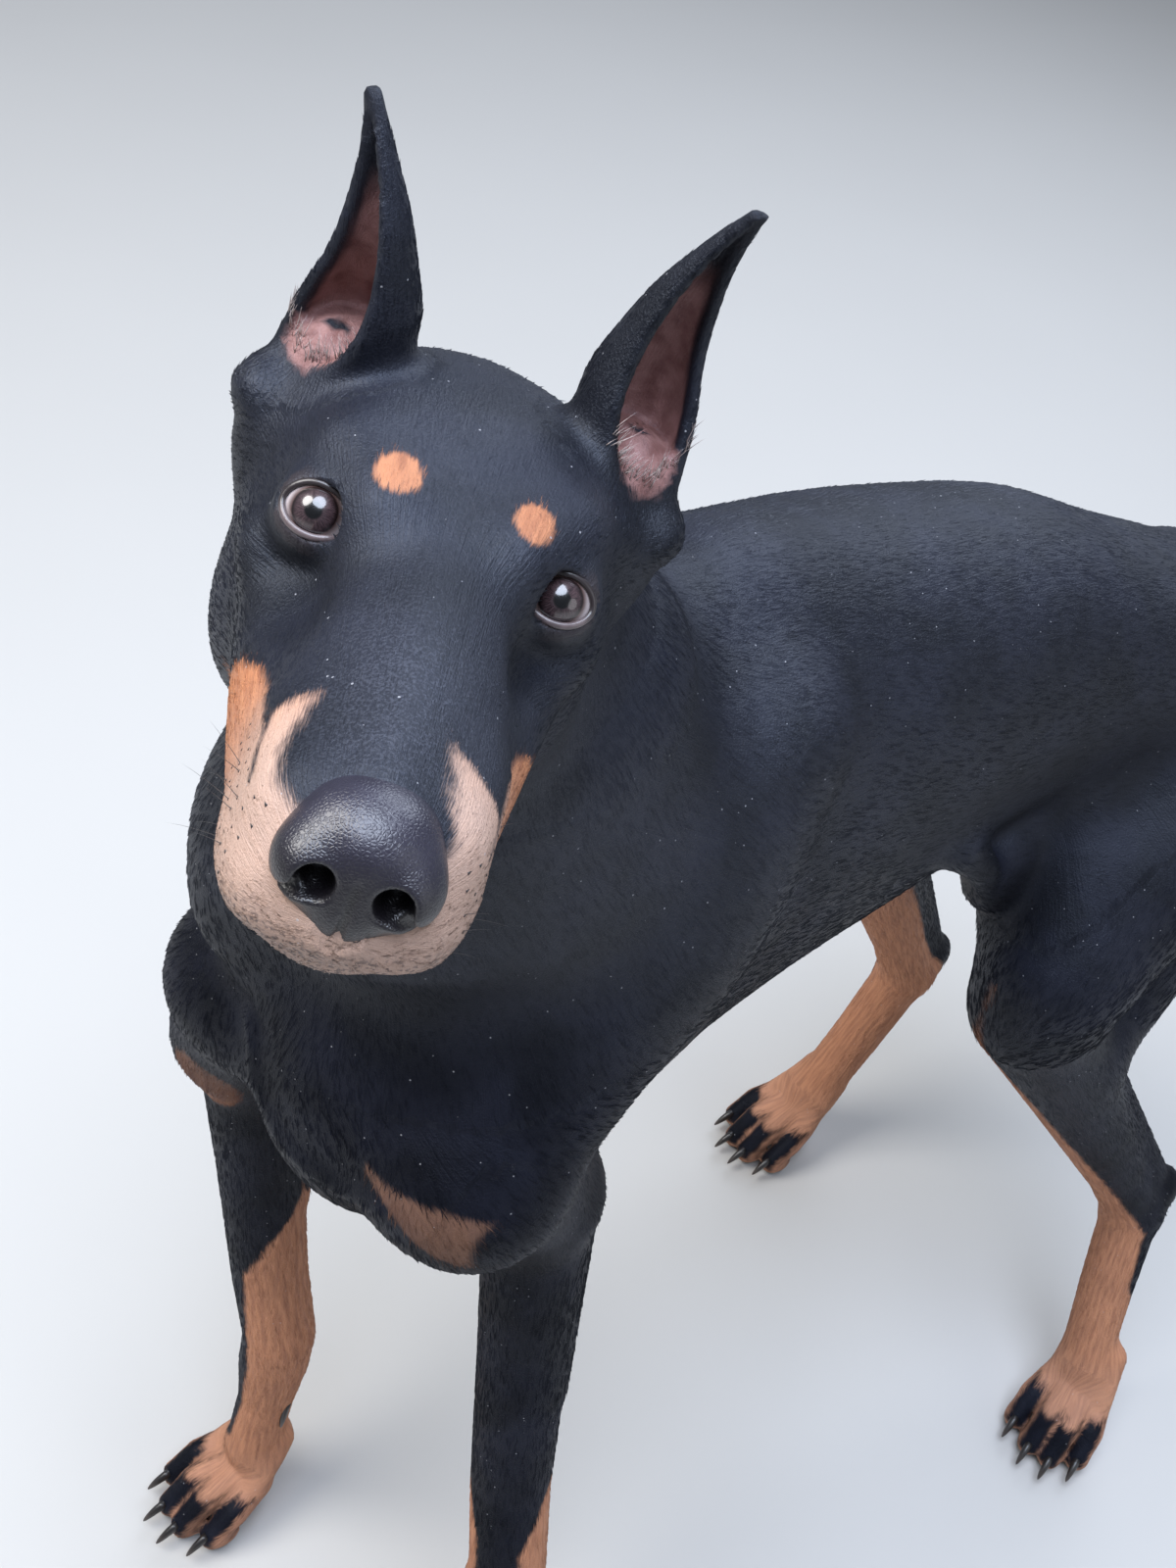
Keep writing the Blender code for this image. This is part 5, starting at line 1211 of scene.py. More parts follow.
@dataclass
class Markings:
    """Where the coat is rust, pale or thin, and where painted shade and a painted sky sheen lie on it. The
    marks are distances in metres, above zero inside.
    """

    body: Body
    ragged: float = 0.0035

    def head_marks(self, local: Array) -> Array:
        """Rust of the muzzle, cheeks and brows, for places in the head's frame."""
        x, y, z = local.T
        right = -0.0158 - 0.25 * (x - 0.066)
        left = np.interp(x, (0.064, 0.0816, 0.0986, 0.1036, 0.110),
                         (-0.0085, -0.0120, -0.0182, -0.0243, -0.0300))
        bridge = np.where(y > 0, left, right) - z
        side = np.minimum(bridge, x - (np.where(y > 0, 0.0780, 0.0670) + (-0.0138 - z) * 0.20))
        top = np.interp(x, (0.0, 0.0197, 0.0348, 0.0631, 0.0884, 0.11),
                        (-0.062, -0.042, -0.0325, -0.0272, -0.031, -0.036))
        cheek = np.minimum(top - z, x - 0.004)
        below = np.minimum(-0.066 - z, x + 0.020)
        mark = np.maximum(np.maximum(side, cheek), below)
        share = np.clip((x - 0.066) / 0.026, 0.0, 1.0)
        crease = np.hypot(z - (-0.0245 - 0.0068 * share), np.maximum(np.abs(x - 0.079) - 0.013, 0.0))
        mark = np.minimum(mark, (crease - 0.0011) * 1.6)
        spots = ((-0.0022, -0.0190, 0.0195, 0.0074), (-0.0018, 0.0212, 0.0192, 0.0070))
        for cx, cy, cz, radius in spots:
            away = np.linalg.norm((local - (cx, cy, cz)) * (0.88, 1.08, 1.0), axis=1)
            mark = np.maximum(mark, 1.7 * (radius - away))
        return mark

    def leg_marks(self, points: Array, leg: Leg, outward: tuple, stages: tuple) -> Array:
        """Rust of a leg: all round below, and above that all but a black stripe.

        Args:
            points: Places on the skin.
            leg: The leg.
            outward: The way the middle of the stripe faces.
            stages: Height and half angle of the stripe in degrees, from the floor up.

        Returns:
            The mark.
        """
        toe = (leg.paw[0] + 0.03, leg.paw[1], 0.012)
        chain = Strand(np.array([leg.middle, leg.lower, leg.ball, toe], float),
                       np.array([0.034, 0.022, 0.022, 0.024]))
        ratio, _, _, out = chain.near(points)
        heights = [stage[0] for stage in stages]
        half = np.radians(np.interp(points[:, 2], heights, [stage[1] for stage in stages]))
        facing = unit((outward[0], outward[1], 0.0))
        flat = out.copy()
        flat[:, 2] = 0
        size = np.maximum(np.linalg.norm(flat, axis=1), 1e-5)
        angle = np.arccos(np.clip(flat @ facing / size, -1, 1))
        mark = (angle - half) * np.minimum(size, 0.02)
        return np.where(ratio < 1.7, mark, -0.03)

    def toe_stripes(self, points: Array, leg: Leg) -> Array:
        """The black stripes on the toes, above zero inside."""
        turn = math.radians(leg.heading)
        axes = square_axes((math.cos(turn), math.sin(turn), 0.0), (-math.sin(turn), math.cos(turn), 0.0))
        x, y, z = ((points - (leg.paw[0], leg.paw[1], 0.0)) @ axes).T / leg.size
        found = np.full(len(points), -0.02)
        for spread in (-1.5, -0.5, 0.5, 1.5):
            reach = 0.044 if abs(spread) < 1 else 0.033
            aside = np.abs(y - spread * self.body.toe_spread * 1.05)
            wide = 0.0024 + 0.0042 * ramp_up(x, -0.004, 0.026)
            tall = np.minimum(z - 0.010, 0.034 - z)
            stripe = np.minimum(wide - aside, np.minimum(reach + 0.004 - x, np.minimum(x - 0.004, tall)))
            found = np.maximum(found, stripe)
        return found

    def read(self, points: Array) -> dict:
        """Reads every mark at some places.

        Args:
            points: Places on the skin, in the dog's frame.

        Returns:
            Arrays named rust, pale, ear, bare, pad, dim, freckle, shade and frost.
        """
        head = self.body.head
        local = head.local(points)
        x, y, z = local.T
        on_head = (x > -0.12) & (np.linalg.norm(local, axis=1) < 0.17)
        rust = np.where(on_head, np.clip(self.head_marks(local), -0.03, 0.03), -0.03)
        for side in (1.0, -1.0):
            across = points[:, 1] * side
            wide = 0.004 + 0.024 * ramp_up(across, 0.048, 0.094)
            middle = 0.517 - 0.20 * (across - 0.050)
            patch = np.minimum(0.5 * wide - np.abs(points[:, 2] - middle), 0.006)
            patch = np.minimum(patch, np.minimum(across - 0.046, 0.098 - across))
            rust = np.maximum(rust, np.where(x > -0.15, np.minimum(patch, points[:, 0] - 0.225), -0.03))
        marked = (
            (FORE["right"], (0.50, -0.85),
             ((0.05, 0), (0.07, 40), (0.16, 62), (0.24, 76), (0.272, 120), (0.300, 180))),
            (FORE["left"], (0.86, 0.50),
             ((0.05, 0), (0.08, 20), (0.16, 24), (0.205, 34), (0.23, 70), (0.27, 180))),
            (HIND["right"], (-1.0, -0.8),
             ((0.06, 0), (0.09, 30), (0.17, 75), (0.23, 105), (0.34, 140), (0.42, 180))),
            (HIND["left"], (-1.0, 0.35),
             ((0.06, 0), (0.10, 20), (0.125, 85), (0.21, 118), (0.32, 150), (0.40, 180))),
        )
        low = points[:, 2] < 0.45
        for leg, outward, stages in marked:
            mark = self.leg_marks(points[low], leg, outward, stages)
            mark = np.minimum(mark, -self.toe_stripes(points[low], leg))
            rust[low] = np.maximum(rust[low], np.clip(mark, -0.03, 0.03))
        smudge = 0.020 - np.linalg.norm((points - (0.258, -0.089, 0.404)) / (1.0, 1.0, 1.5), axis=1)
        rust = np.maximum(rust, np.clip(smudge, -0.03, 0.004))
        vent = 0.022 - np.linalg.norm((points - bent(-0.418, 0, 0.520)) / (1.0, 1.0, 1.7), axis=1)
        rust = np.maximum(rust, np.clip(vent, -0.03, 0.03))
        pale = np.where(on_head, ramp_up(x, 0.03, 0.095), 0.25 * (1 - ramp_up(points[:, 2], 0.30, 0.36)))
        # Painted sky sheen: a bluish grey laid over the black on the top of the head, most along the bridge
        # of the muzzle, and faintly along the top of the back, where the light from above falls.
        top = ramp_up(z, -0.030, 0.0) * (1 - 0.75 * ramp_up(np.abs(y), 0.014, 0.040))
        painted_sky_sheen = np.where(on_head, (0.20 + 0.80 * ramp_up(x, 0.02, 0.07)) * top,
                         0.10 * ramp_up(points[:, 2], 0.55, 0.65))
        pale = np.maximum(pale, 0.40 * (1 - ramp_up(points[:, 2], 0.03, 0.13)))
        pale = np.maximum(pale, 0.45 * ramp_up(points[:, 2], 0.40, 0.46) * (1.0 - on_head))
        freckle = np.where(on_head, 0.7 * ramp_up(x, 0.055, 0.085) * (1 - ramp_up(z, -0.058, -0.046)), 0.0)
        flank = ramp_up(-points[:, 0], -0.10, 0.06)
        lit = np.maximum(ramp_up(points[:, 2], 0.54 - 0.10 * flank, 0.66 - 0.10 * flank),
                         flank * 0.45 * ramp_up(points[:, 2], 0.24, 0.38))
        shade = (1.0 - lit) * (1.0 - on_head)
        inner = np.zeros(len(points))
        for side in SIDES:
            ear = head.ear(side)
            out, aside, share, radius, opening = ear.local(local)
            within = radius * 0.98 - np.hypot(out, aside)
            close = (np.hypot(out, aside) < radius * 1.5 + 0.004) & (share > -0.10) & (share < 1.0)
            past_rim = (np.arctan2(np.abs(aside), out) - opening) * radius
            deep = ramp_up(within, -0.0006, 0.0010) * (1 - ramp_up(share, 0.58, 0.76))
            deep = deep * np.where(share > 0.10, ramp_up(past_rim, 0.0005, 0.0045), 1.0)
            inner = np.where(close, np.maximum(inner, deep), inner)
        bare = np.zeros(len(points))
        for side in SIDES:
            away = np.linalg.norm(local - head.eye(side), axis=1) - head.eye_radius
            facing = (local - head.eye(side)) @ head.look(side)
            bare = np.maximum(bare, np.where(facing > 0.0065, 1 - ramp_up(away, 0.0012, 0.0030), 0.0))
        pad = np.where(points[:, 2] < 0.05, 1 - ramp_up(points[:, 2], 0.0035, 0.0065), 0.0)
        # Painted shade on the rust: its share is cut on the head behind the muzzle and on the body above 0.4
        # m, as on the brows, cheeks, chest patches and under the tail.
        painted_rust_shade = np.where(on_head, 0.30 * (1 - ramp_up(x, 0.0, 0.03)), ramp_up(points[:, 2], 0.36, 0.40))
        return {"rust": rust, "pale": pale, "ear": inner, "bare": bare, "pad": pad, "painted_rust_shade": painted_rust_shade,
                "freckle": freckle, "shade": shade, "painted_sky_sheen": painted_sky_sheen}


class Shader:
    """A material and its nodes while they are being joined."""

    def __init__(self, name: str) -> None:
        """Starts a material with only its output and one principled surface."""
        self.material = bpy.data.materials.new(name)
        self.material.use_nodes = True
        self.tree = self.material.node_tree
        self.surface = self.tree.nodes["Principled BSDF"]

    def set(self, **values: object) -> None:
        """Sets sockets of the surface, with underscores in place of spaces."""
        for name, value in values.items():
            self.surface.inputs[name.replace("_", " ")].default_value = value

    def node(self, kind: str, **settings: object) -> bpy.types.Node:
        """Adds a node with the given settings."""
        made = self.tree.nodes.new(kind)
        for name, value in settings.items():
            setattr(made, name, value)
        return made

    def put(self, socket: bpy.types.NodeSocket, value: object) -> None:
        """Links a socket if the value is one, or else sets it."""
        if isinstance(value, bpy.types.NodeSocket):
            self.tree.links.new(value, socket)
        else:
            socket.default_value = value

    def math(self, operation: str, first: object, second: object = 0.0,
             third: object = 0.0) -> bpy.types.NodeSocket:
        """One step of arithmetic."""
        made = self.node("ShaderNodeMath", operation=operation)
        for socket, value in zip(made.inputs, (first, second, third)):
            self.put(socket, value)
        return made.outputs[0]

    def attribute(self, name: str) -> bpy.types.NodeSocket:
        """The number that the mesh carries under that name."""
        return self.node("ShaderNodeAttribute", attribute_name=name).outputs["Fac"]

    def position(self) -> bpy.types.NodeSocket:
        """Object coordinates."""
        return self.node("ShaderNodeTexCoord").outputs["Object"]

    def stretched(self, name: str, along: float, across: float) -> bpy.types.NodeSocket:
        """A map's coordinates scaled, so that noise on them runs along the hair."""
        mapping = self.node("ShaderNodeMapping")
        self.tree.links.new(self.node("ShaderNodeUVMap", uv_map=name).outputs["UV"], mapping.inputs["Vector"])
        mapping.inputs["Scale"].default_value = (along, across, 1.0)
        return mapping.outputs["Vector"]

    def noise(self, where: object, scale: float, detail: float = 2.0,
              rough: float = 0.5) -> bpy.types.NodeSocket:
        """Soft noise from zero to one."""
        made = self.node("ShaderNodeTexNoise")
        self.put(made.inputs["Vector"], where)
        made.inputs["Scale"].default_value = scale
        made.inputs["Detail"].default_value = detail
        made.inputs["Roughness"].default_value = rough
        return made.outputs["Fac"]

    def node_value(self, colour: bpy.types.NodeSocket) -> bpy.types.NodeSocket:
        """The red part of a colour."""
        parts = self.node("ShaderNodeSeparateColor")
        self.put(parts.inputs["Color"], colour)
        return parts.outputs["Red"]

    def step(self, value: object, low: float, high: float) -> bpy.types.NodeSocket:
        """A smooth rise from zero at low to one at high."""
        made = self.node("ShaderNodeMapRange", interpolation_type="SMOOTHSTEP", clamp=True)
        for name, number in (("Value", value), ("From Min", low), ("From Max", high)):
            self.put(made.inputs[name], number)
        return made.outputs["Result"]

    def mix(self, share: object, first: object, second: object) -> bpy.types.NodeSocket:
        """A blend of two colours."""
        made = self.node("ShaderNodeMix", data_type="RGBA")
        self.put(made.inputs[0], share)
        for socket, value in ((made.inputs[6], first), (made.inputs[7], second)):
            self.put(socket, (*value, 1.0) if isinstance(value, tuple) else value)
        return made.outputs[2]

    def bump(self, height: object, distance: float, strength: float = 1.0, below: object = None) -> object:
        """A bump, on top of another one if that is given."""
        made = self.node("ShaderNodeBump")
        self.put(made.inputs["Height"], height)
        made.inputs["Distance"].default_value = distance
        made.inputs["Strength"].default_value = strength
        if below is not None:
            self.put(made.inputs["Normal"], below)
        return made.outputs["Normal"]

    def finish(self, colour: object, roughness: object, normal: object = None) -> bpy.types.Material:
        """Joins the last links and gives the material."""
        self.put(self.surface.inputs["Base Color"], (*colour, 1.0) if isinstance(colour, tuple) else colour)
        self.put(self.surface.inputs["Roughness"], roughness)
        if normal is not None:
            self.put(self.surface.inputs["Normal"], normal)
        return self.material


@dataclass(frozen=True)
class CoatFinish:
    """Short glossy hair: black with rust marks, thin and pink in the ears, with a painted sky sheen on top of
    the black and painted shade on the upper rust.
    """

    black: tuple = (0.0030, 0.0033, 0.0058)
    dusty: tuple = (0.0095, 0.0105, 0.0180)
    # Bluish grey of the painted sky sheen on the top of the head and the back.
    painted_sky_sheen: tuple = (0.0420, 0.0450, 0.0600)
    rust: tuple = (0.520, 0.215, 0.098)
    deep: tuple = (0.300, 0.105, 0.045)
    pale: tuple = (0.470, 0.332, 0.265)
    ear: tuple = (0.360, 0.195, 0.178)
    ear_low: tuple = (0.180, 0.080, 0.070)
    freckle: tuple = (0.045, 0.030, 0.030)
    speck: tuple = (0.450, 0.450, 0.480)
    bare: tuple = (0.030, 0.022, 0.023)
    pad: tuple = (0.020, 0.019, 0.020)

    def material(self) -> bpy.types.Material:
        """The coat's material, for the skin and the tufts alike."""
        look = Shader("coat")
        where = look.position()
        hairs = look.noise(look.stretched("Lie", 150.0, 1500.0), 1.0, 3.0, 0.6)
        clumps = look.noise(look.stretched("Lie", 45.0, 320.0), 1.0, 2.0)
        clouds = look.noise(where, 26.0, 3.0)
        tone = look.attribute("tone")
        ragged = look.math("MULTIPLY", look.math("SUBTRACT", hairs, 0.5), 0.0065)
        wave = look.math("MULTIPLY", look.math("SUBTRACT", look.noise(where, 90.0, 2.0), 0.5), 0.0032)
        edge = look.math("ADD", look.attribute("rust"), look.math("ADD", ragged, wave))
        is_rust = look.step(edge, -0.0020, 0.0022)
        black = look.mix(look.step(look.math("ADD", clouds, look.math("MULTIPLY", tone, 0.25)), 0.45, 0.85),
                         self.black, self.dusty)
        grain = look.step(look.noise(where, 1100.0, 2.0, 0.6), 0.42, 0.66)
        # Painted sky sheen mixed over the black, broken up by the fine grain.
        painted_sheen_share = look.math("MULTIPLY", look.attribute("painted_sky_sheen"),
                            look.math("ADD", look.math("MULTIPLY", grain, 0.75), 0.25))
        black = look.mix(painted_sheen_share, black, self.painted_sky_sheen)
        rust = look.mix(look.step(look.math("ADD", clumps, look.math("MULTIPLY", tone, 0.3)), 0.35, 0.85),
                        self.deep, self.rust)
        rust = look.mix(look.math("MULTIPLY", look.attribute("pale"), 0.85), rust, self.pale)
        # Painted shade: the rust is mixed back towards black by the painted rust shade mark.
        rust_under_painted_shade = look.math("SUBTRACT", 1.0, look.math("MULTIPLY", look.attribute("painted_rust_shade"), 0.68))
        colour = look.mix(look.math("MULTIPLY", is_rust, rust_under_painted_shade), black, rust)
        dots = look.node("ShaderNodeTexVoronoi")
        look.put(dots.inputs["Vector"], where)
        dots.inputs["Scale"].default_value = 240.0
        bright = look.math("GREATER_THAN", look.node_value(dots.outputs["Color"]), 0.78)
        speck = look.math("MULTIPLY", look.math("LESS_THAN", dots.outputs["Distance"], 0.085), bright)
        colour = look.mix(look.math("MULTIPLY", speck, 0.55), colour, self.speck)
        peppered = look.math("MULTIPLY", look.attribute("freckle"),
                             look.step(look.noise(where, 620.0, 2.0), 0.50, 0.62))
        colour = look.mix(peppered, colour, self.freckle)
        flesh = look.mix(look.step(look.noise(where, 120.0, 3.0), 0.30, 0.70), self.ear_low, self.ear)
        colour = look.mix(look.attribute("ear"), colour, flesh)
        colour = look.mix(look.attribute("bare"), colour, self.bare)
        colour = look.mix(look.attribute("pad"), colour, self.pad)
        roughness = look.math("ADD", look.math("MULTIPLY", hairs, 0.14), look.math("MULTIPLY", is_rust, 0.10))
        roughness = look.math("ADD", roughness,
                              look.math("SUBTRACT", 0.50, look.math("MULTIPLY", tone, 0.12)))
        shaded = look.math("SUBTRACT", 1.0, look.math("MULTIPLY", look.attribute("shade"), 0.72))
        look.put(look.surface.inputs["Specular IOR Level"], look.math("MULTIPLY", shaded, 0.46))
        rough_skin = look.bump(look.noise(where, 55.0, 3.0), 0.0012, 0.35)
        height = look.math("ADD", look.math("ADD", hairs, look.math("MULTIPLY", clumps, 0.8)),
                           look.math("MULTIPLY", grain, 0.25))
        normal = look.bump(height, 0.00060, 0.65, rough_skin)
        look.set(Specular_Tint=(0.78, 0.85, 1.0, 1.0))
        return look.finish(colour, roughness, normal)


@dataclass(frozen=True)
class NoseFinish:
    """Slate leather with a fine pebble and a moist shine."""

    # top: the lighter, bluer leather of the painted light from above; low: the darker leather below it.
    top: tuple = (0.028, 0.026, 0.041)
    low: tuple = (0.010, 0.0085, 0.0115)

    def material(self) -> bpy.types.Material:
        """The nose leather's material."""
        look = Shader("nose_leather")
        where = look.position()
        cells = look.node("ShaderNodeTexVoronoi", feature="DISTANCE_TO_EDGE")
        look.put(cells.inputs["Vector"], where)
        cells.inputs["Scale"].default_value = 950.0
        pebble = look.step(cells.outputs["Distance"], 0.0, 0.30)
        cloud = look.noise(where, 90.0, 3.0)
        # Painted light: the upper leather is lighter and bluer, as lit from above, and the lower leather
        # darker.
        painted_top_light = look.math("MULTIPLY", look.attribute("painted_top_light"), look.math("ADD", cloud, 0.35))
        colour = look.mix(painted_top_light, self.low, self.top)
        # Painted shade in the nostrils, their slits and the groove between them.
        colour = look.mix(look.attribute("hollow"), colour, (0.004, 0.003, 0.004))
        roughness = look.math("ADD", look.math("MULTIPLY", cloud, 0.22), 0.24)
        normal = look.bump(pebble, 0.00022, 0.40, look.bump(cloud, 0.0010, 0.3))
        look.set(Specular_IOR_Level=0.6, Coat_Weight=0.15, Coat_Roughness=0.25)
        return look.finish(colour, roughness, normal)


@dataclass(frozen=True)
class EyeFinish:
    """Dark brown iris round a black pupil, a darker rim, and a white that shows only at the corners."""

    pupil: float = 0.20
    iris: float = 0.56

    def material(self) -> bpy.types.Material:
        """The eye's material, by the angle from the middle of the cornea."""
        look = Shader("eye")
        off = look.attribute("off_axis")
        streaks = look.noise(look.stretched("Iris", 34.0, 1.6), 1.0, 3.0, 0.7)
        iris = look.mix(look.step(streaks, 0.35, 0.75), (0.024, 0.014, 0.016), (0.085, 0.052, 0.056))
        ring = look.mix(look.step(off, self.iris - 0.14, self.iris), iris, (0.008, 0.004, 0.004))
        white = look.mix(look.noise(look.position(), 300.0, 3.0), (0.42, 0.34, 0.33), (0.56, 0.50, 0.50))
        white = look.mix(look.step(off, self.iris + 0.02, self.iris + 0.26), (0.09, 0.055, 0.05), white)
        colour = look.mix(look.step(off, self.iris - 0.02, self.iris + 0.05), ring, white)
        colour = look.mix(look.step(off, self.pupil - 0.03, self.pupil + 0.03), (0.0015, 0.0015, 0.0018),
                          colour)
        look.set(Specular_IOR_Level=0.6, Coat_Weight=1.0, Coat_Roughness=0.02)
        return look.finish(colour, 0.22)


@dataclass(frozen=True)
class LidFinish:
    """The moist rim of the lids: dark above, flesh-coloured below."""

    dark: tuple = (0.022, 0.016, 0.017)
    flesh: tuple = (0.125, 0.092, 0.094)

    def material(self) -> bpy.types.Material:
        """The rim's material, by how far below the middle of the eye a place lies."""
        look = Shader("lid_rim")
        cloud = look.noise(look.position(), 420.0, 3.0)
        share = look.math("MULTIPLY", look.attribute("flesh"), look.math("ADD", cloud, 0.35))
        look.set(Specular_IOR_Level=0.55, Coat_Weight=0.4, Coat_Roughness=0.12)
        return look.finish(look.mix(share, self.dark, self.flesh), 0.38, look.bump(cloud, 0.0002, 0.6))


@dataclass(frozen=True)
class HornFinish:
    """Dark claw horn with fine lines along it."""

    dark: tuple = (0.014, 0.012, 0.012)
    worn: tuple = (0.075, 0.058, 0.048)

    def material(self) -> bpy.types.Material:
        """The claws' material, paler towards the worn tip."""
        look = Shader("claw_horn")
        streaks = look.noise(look.position(), 520.0, 3.0, 0.6)
        tip = look.math("MULTIPLY", look.attribute("tip"), look.math("ADD", streaks, 0.15))
        look.set(Specular_IOR_Level=0.5, Coat_Weight=0.25, Coat_Roughness=0.2)
        return look.finish(look.mix(tip, self.dark, self.worn),
                           look.math("ADD", look.math("MULTIPLY", streaks, 0.2), 0.3),
                           look.bump(streaks, 0.0003, 0.5))


@dataclass(frozen=True)
class WhiskerFinish:
    """Black whiskers and the dark spots that they grow from."""

    colour: tuple = (0.012, 0.010, 0.011)
    other: tuple = (0.035, 0.026, 0.024)

    def material(self) -> bpy.types.Material:
        """The whiskers' material."""
        look = Shader("whisker")
        speck = look.noise(look.position(), 800.0, 2.0)
        look.set(Specular_IOR_Level=0.5)
        return look.finish(look.mix(speck, self.colour, self.other), 0.35)


@dataclass(frozen=True)
class FloorFinish:
    """A plain pale floor."""

    colour: tuple = (0.52, 0.51, 0.49)

    def material(self) -> bpy.types.Material:
        """The floor's material."""
        look = Shader("floor")
        cloud = look.noise(look.position(), 3.0, 3.0)
        darker = tuple(part * 0.96 for part in self.colour)
        return look.finish(look.mix(cloud, self.colour, darker), 0.75)


def mesh_object(name: str, points: Array, faces: Array) -> bpy.types.Object:
    """Makes an object from arrays.

    Args:
        name: The piece's name.
        points: Its points.
        faces: Rows of three or four point numbers.

    Returns:
        The object, shaded smooth and linked to the scene.
    """
    mesh = bpy.data.meshes.new(name)
    sides = faces.shape[1]
    mesh.vertices.add(len(points))
    mesh.vertices.foreach_set("co", np.asarray(points, np.float32).ravel())
    mesh.loops.add(faces.size)
    mesh.loops.foreach_set("vertex_index", np.asarray(faces, np.int32).ravel())
    mesh.polygons.add(len(faces))
    mesh.polygons.foreach_set("loop_start", np.arange(0, faces.size, sides, dtype=np.int32))
    mesh.polygons.foreach_set("use_smooth", np.ones(len(faces), bool))
    mesh.update(calc_edges=True)
    made = bpy.data.objects.new(name, mesh)
    bpy.context.scene.collection.objects.link(made)
    return made


def points_of(mesh: bpy.types.Mesh) -> Array:
    """The mesh's points as rows."""
    found = np.empty(len(mesh.vertices) * 3, np.float32)
    mesh.vertices.foreach_get("co", found)
    return found.reshape(-1, 3).astype(float)


def put_points(mesh: bpy.types.Mesh, points: Array) -> None:
    """Moves the mesh's points to the given rows."""
    mesh.vertices.foreach_set("co", np.asarray(points, np.float32).ravel())
    mesh.update()


def carry(mesh: bpy.types.Mesh, marks: dict) -> None:
    """Stores numbers on the mesh's points, each under its name."""
    for name, values in marks.items():
        layer = mesh.attributes.new(name, "FLOAT", "POINT")
        layer.data.foreach_set("value", np.asarray(values, np.float32))


def put_map(mesh: bpy.types.Mesh, name: str, coordinates: Array) -> None:
    """Adds a map with one row for each corner of the mesh."""
    layer = mesh.uv_layers.new(name=name)
    layer.uv.foreach_set("vector", np.asarray(coordinates, np.float32).ravel())


def drop_maps(mesh: bpy.types.Mesh) -> None:
    """Removes the maps that a primitive comes with."""
    while mesh.uv_layers:
        mesh.uv_layers.remove(mesh.uv_layers[0])


def smooth_faces(mesh: bpy.types.Mesh) -> None:
    """Shades every face smooth."""
    mesh.polygons.foreach_set("use_smooth", np.ones(len(mesh.polygons), bool))


def corners_of(mesh: bpy.types.Mesh) -> Array:
    """The point number of each corner."""
    found = np.empty(len(mesh.loops), np.int32)
    mesh.loops.foreach_get("vertex_index", found)
    return found


def dress(piece: bpy.types.Object, material: bpy.types.Material, slot: Slot) -> None:
    """Gives a piece its material and lets it ride on the body."""
    piece.data.materials.clear()
    piece.data.materials.append(material)
    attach(piece, "root")


def pick(piece: bpy.types.Object) -> None:
    """Selects one object alone and makes it active."""
    bpy.ops.object.select_all(action="DESELECT")
    piece.select_set(True)
    bpy.context.view_layer.objects.active = piece


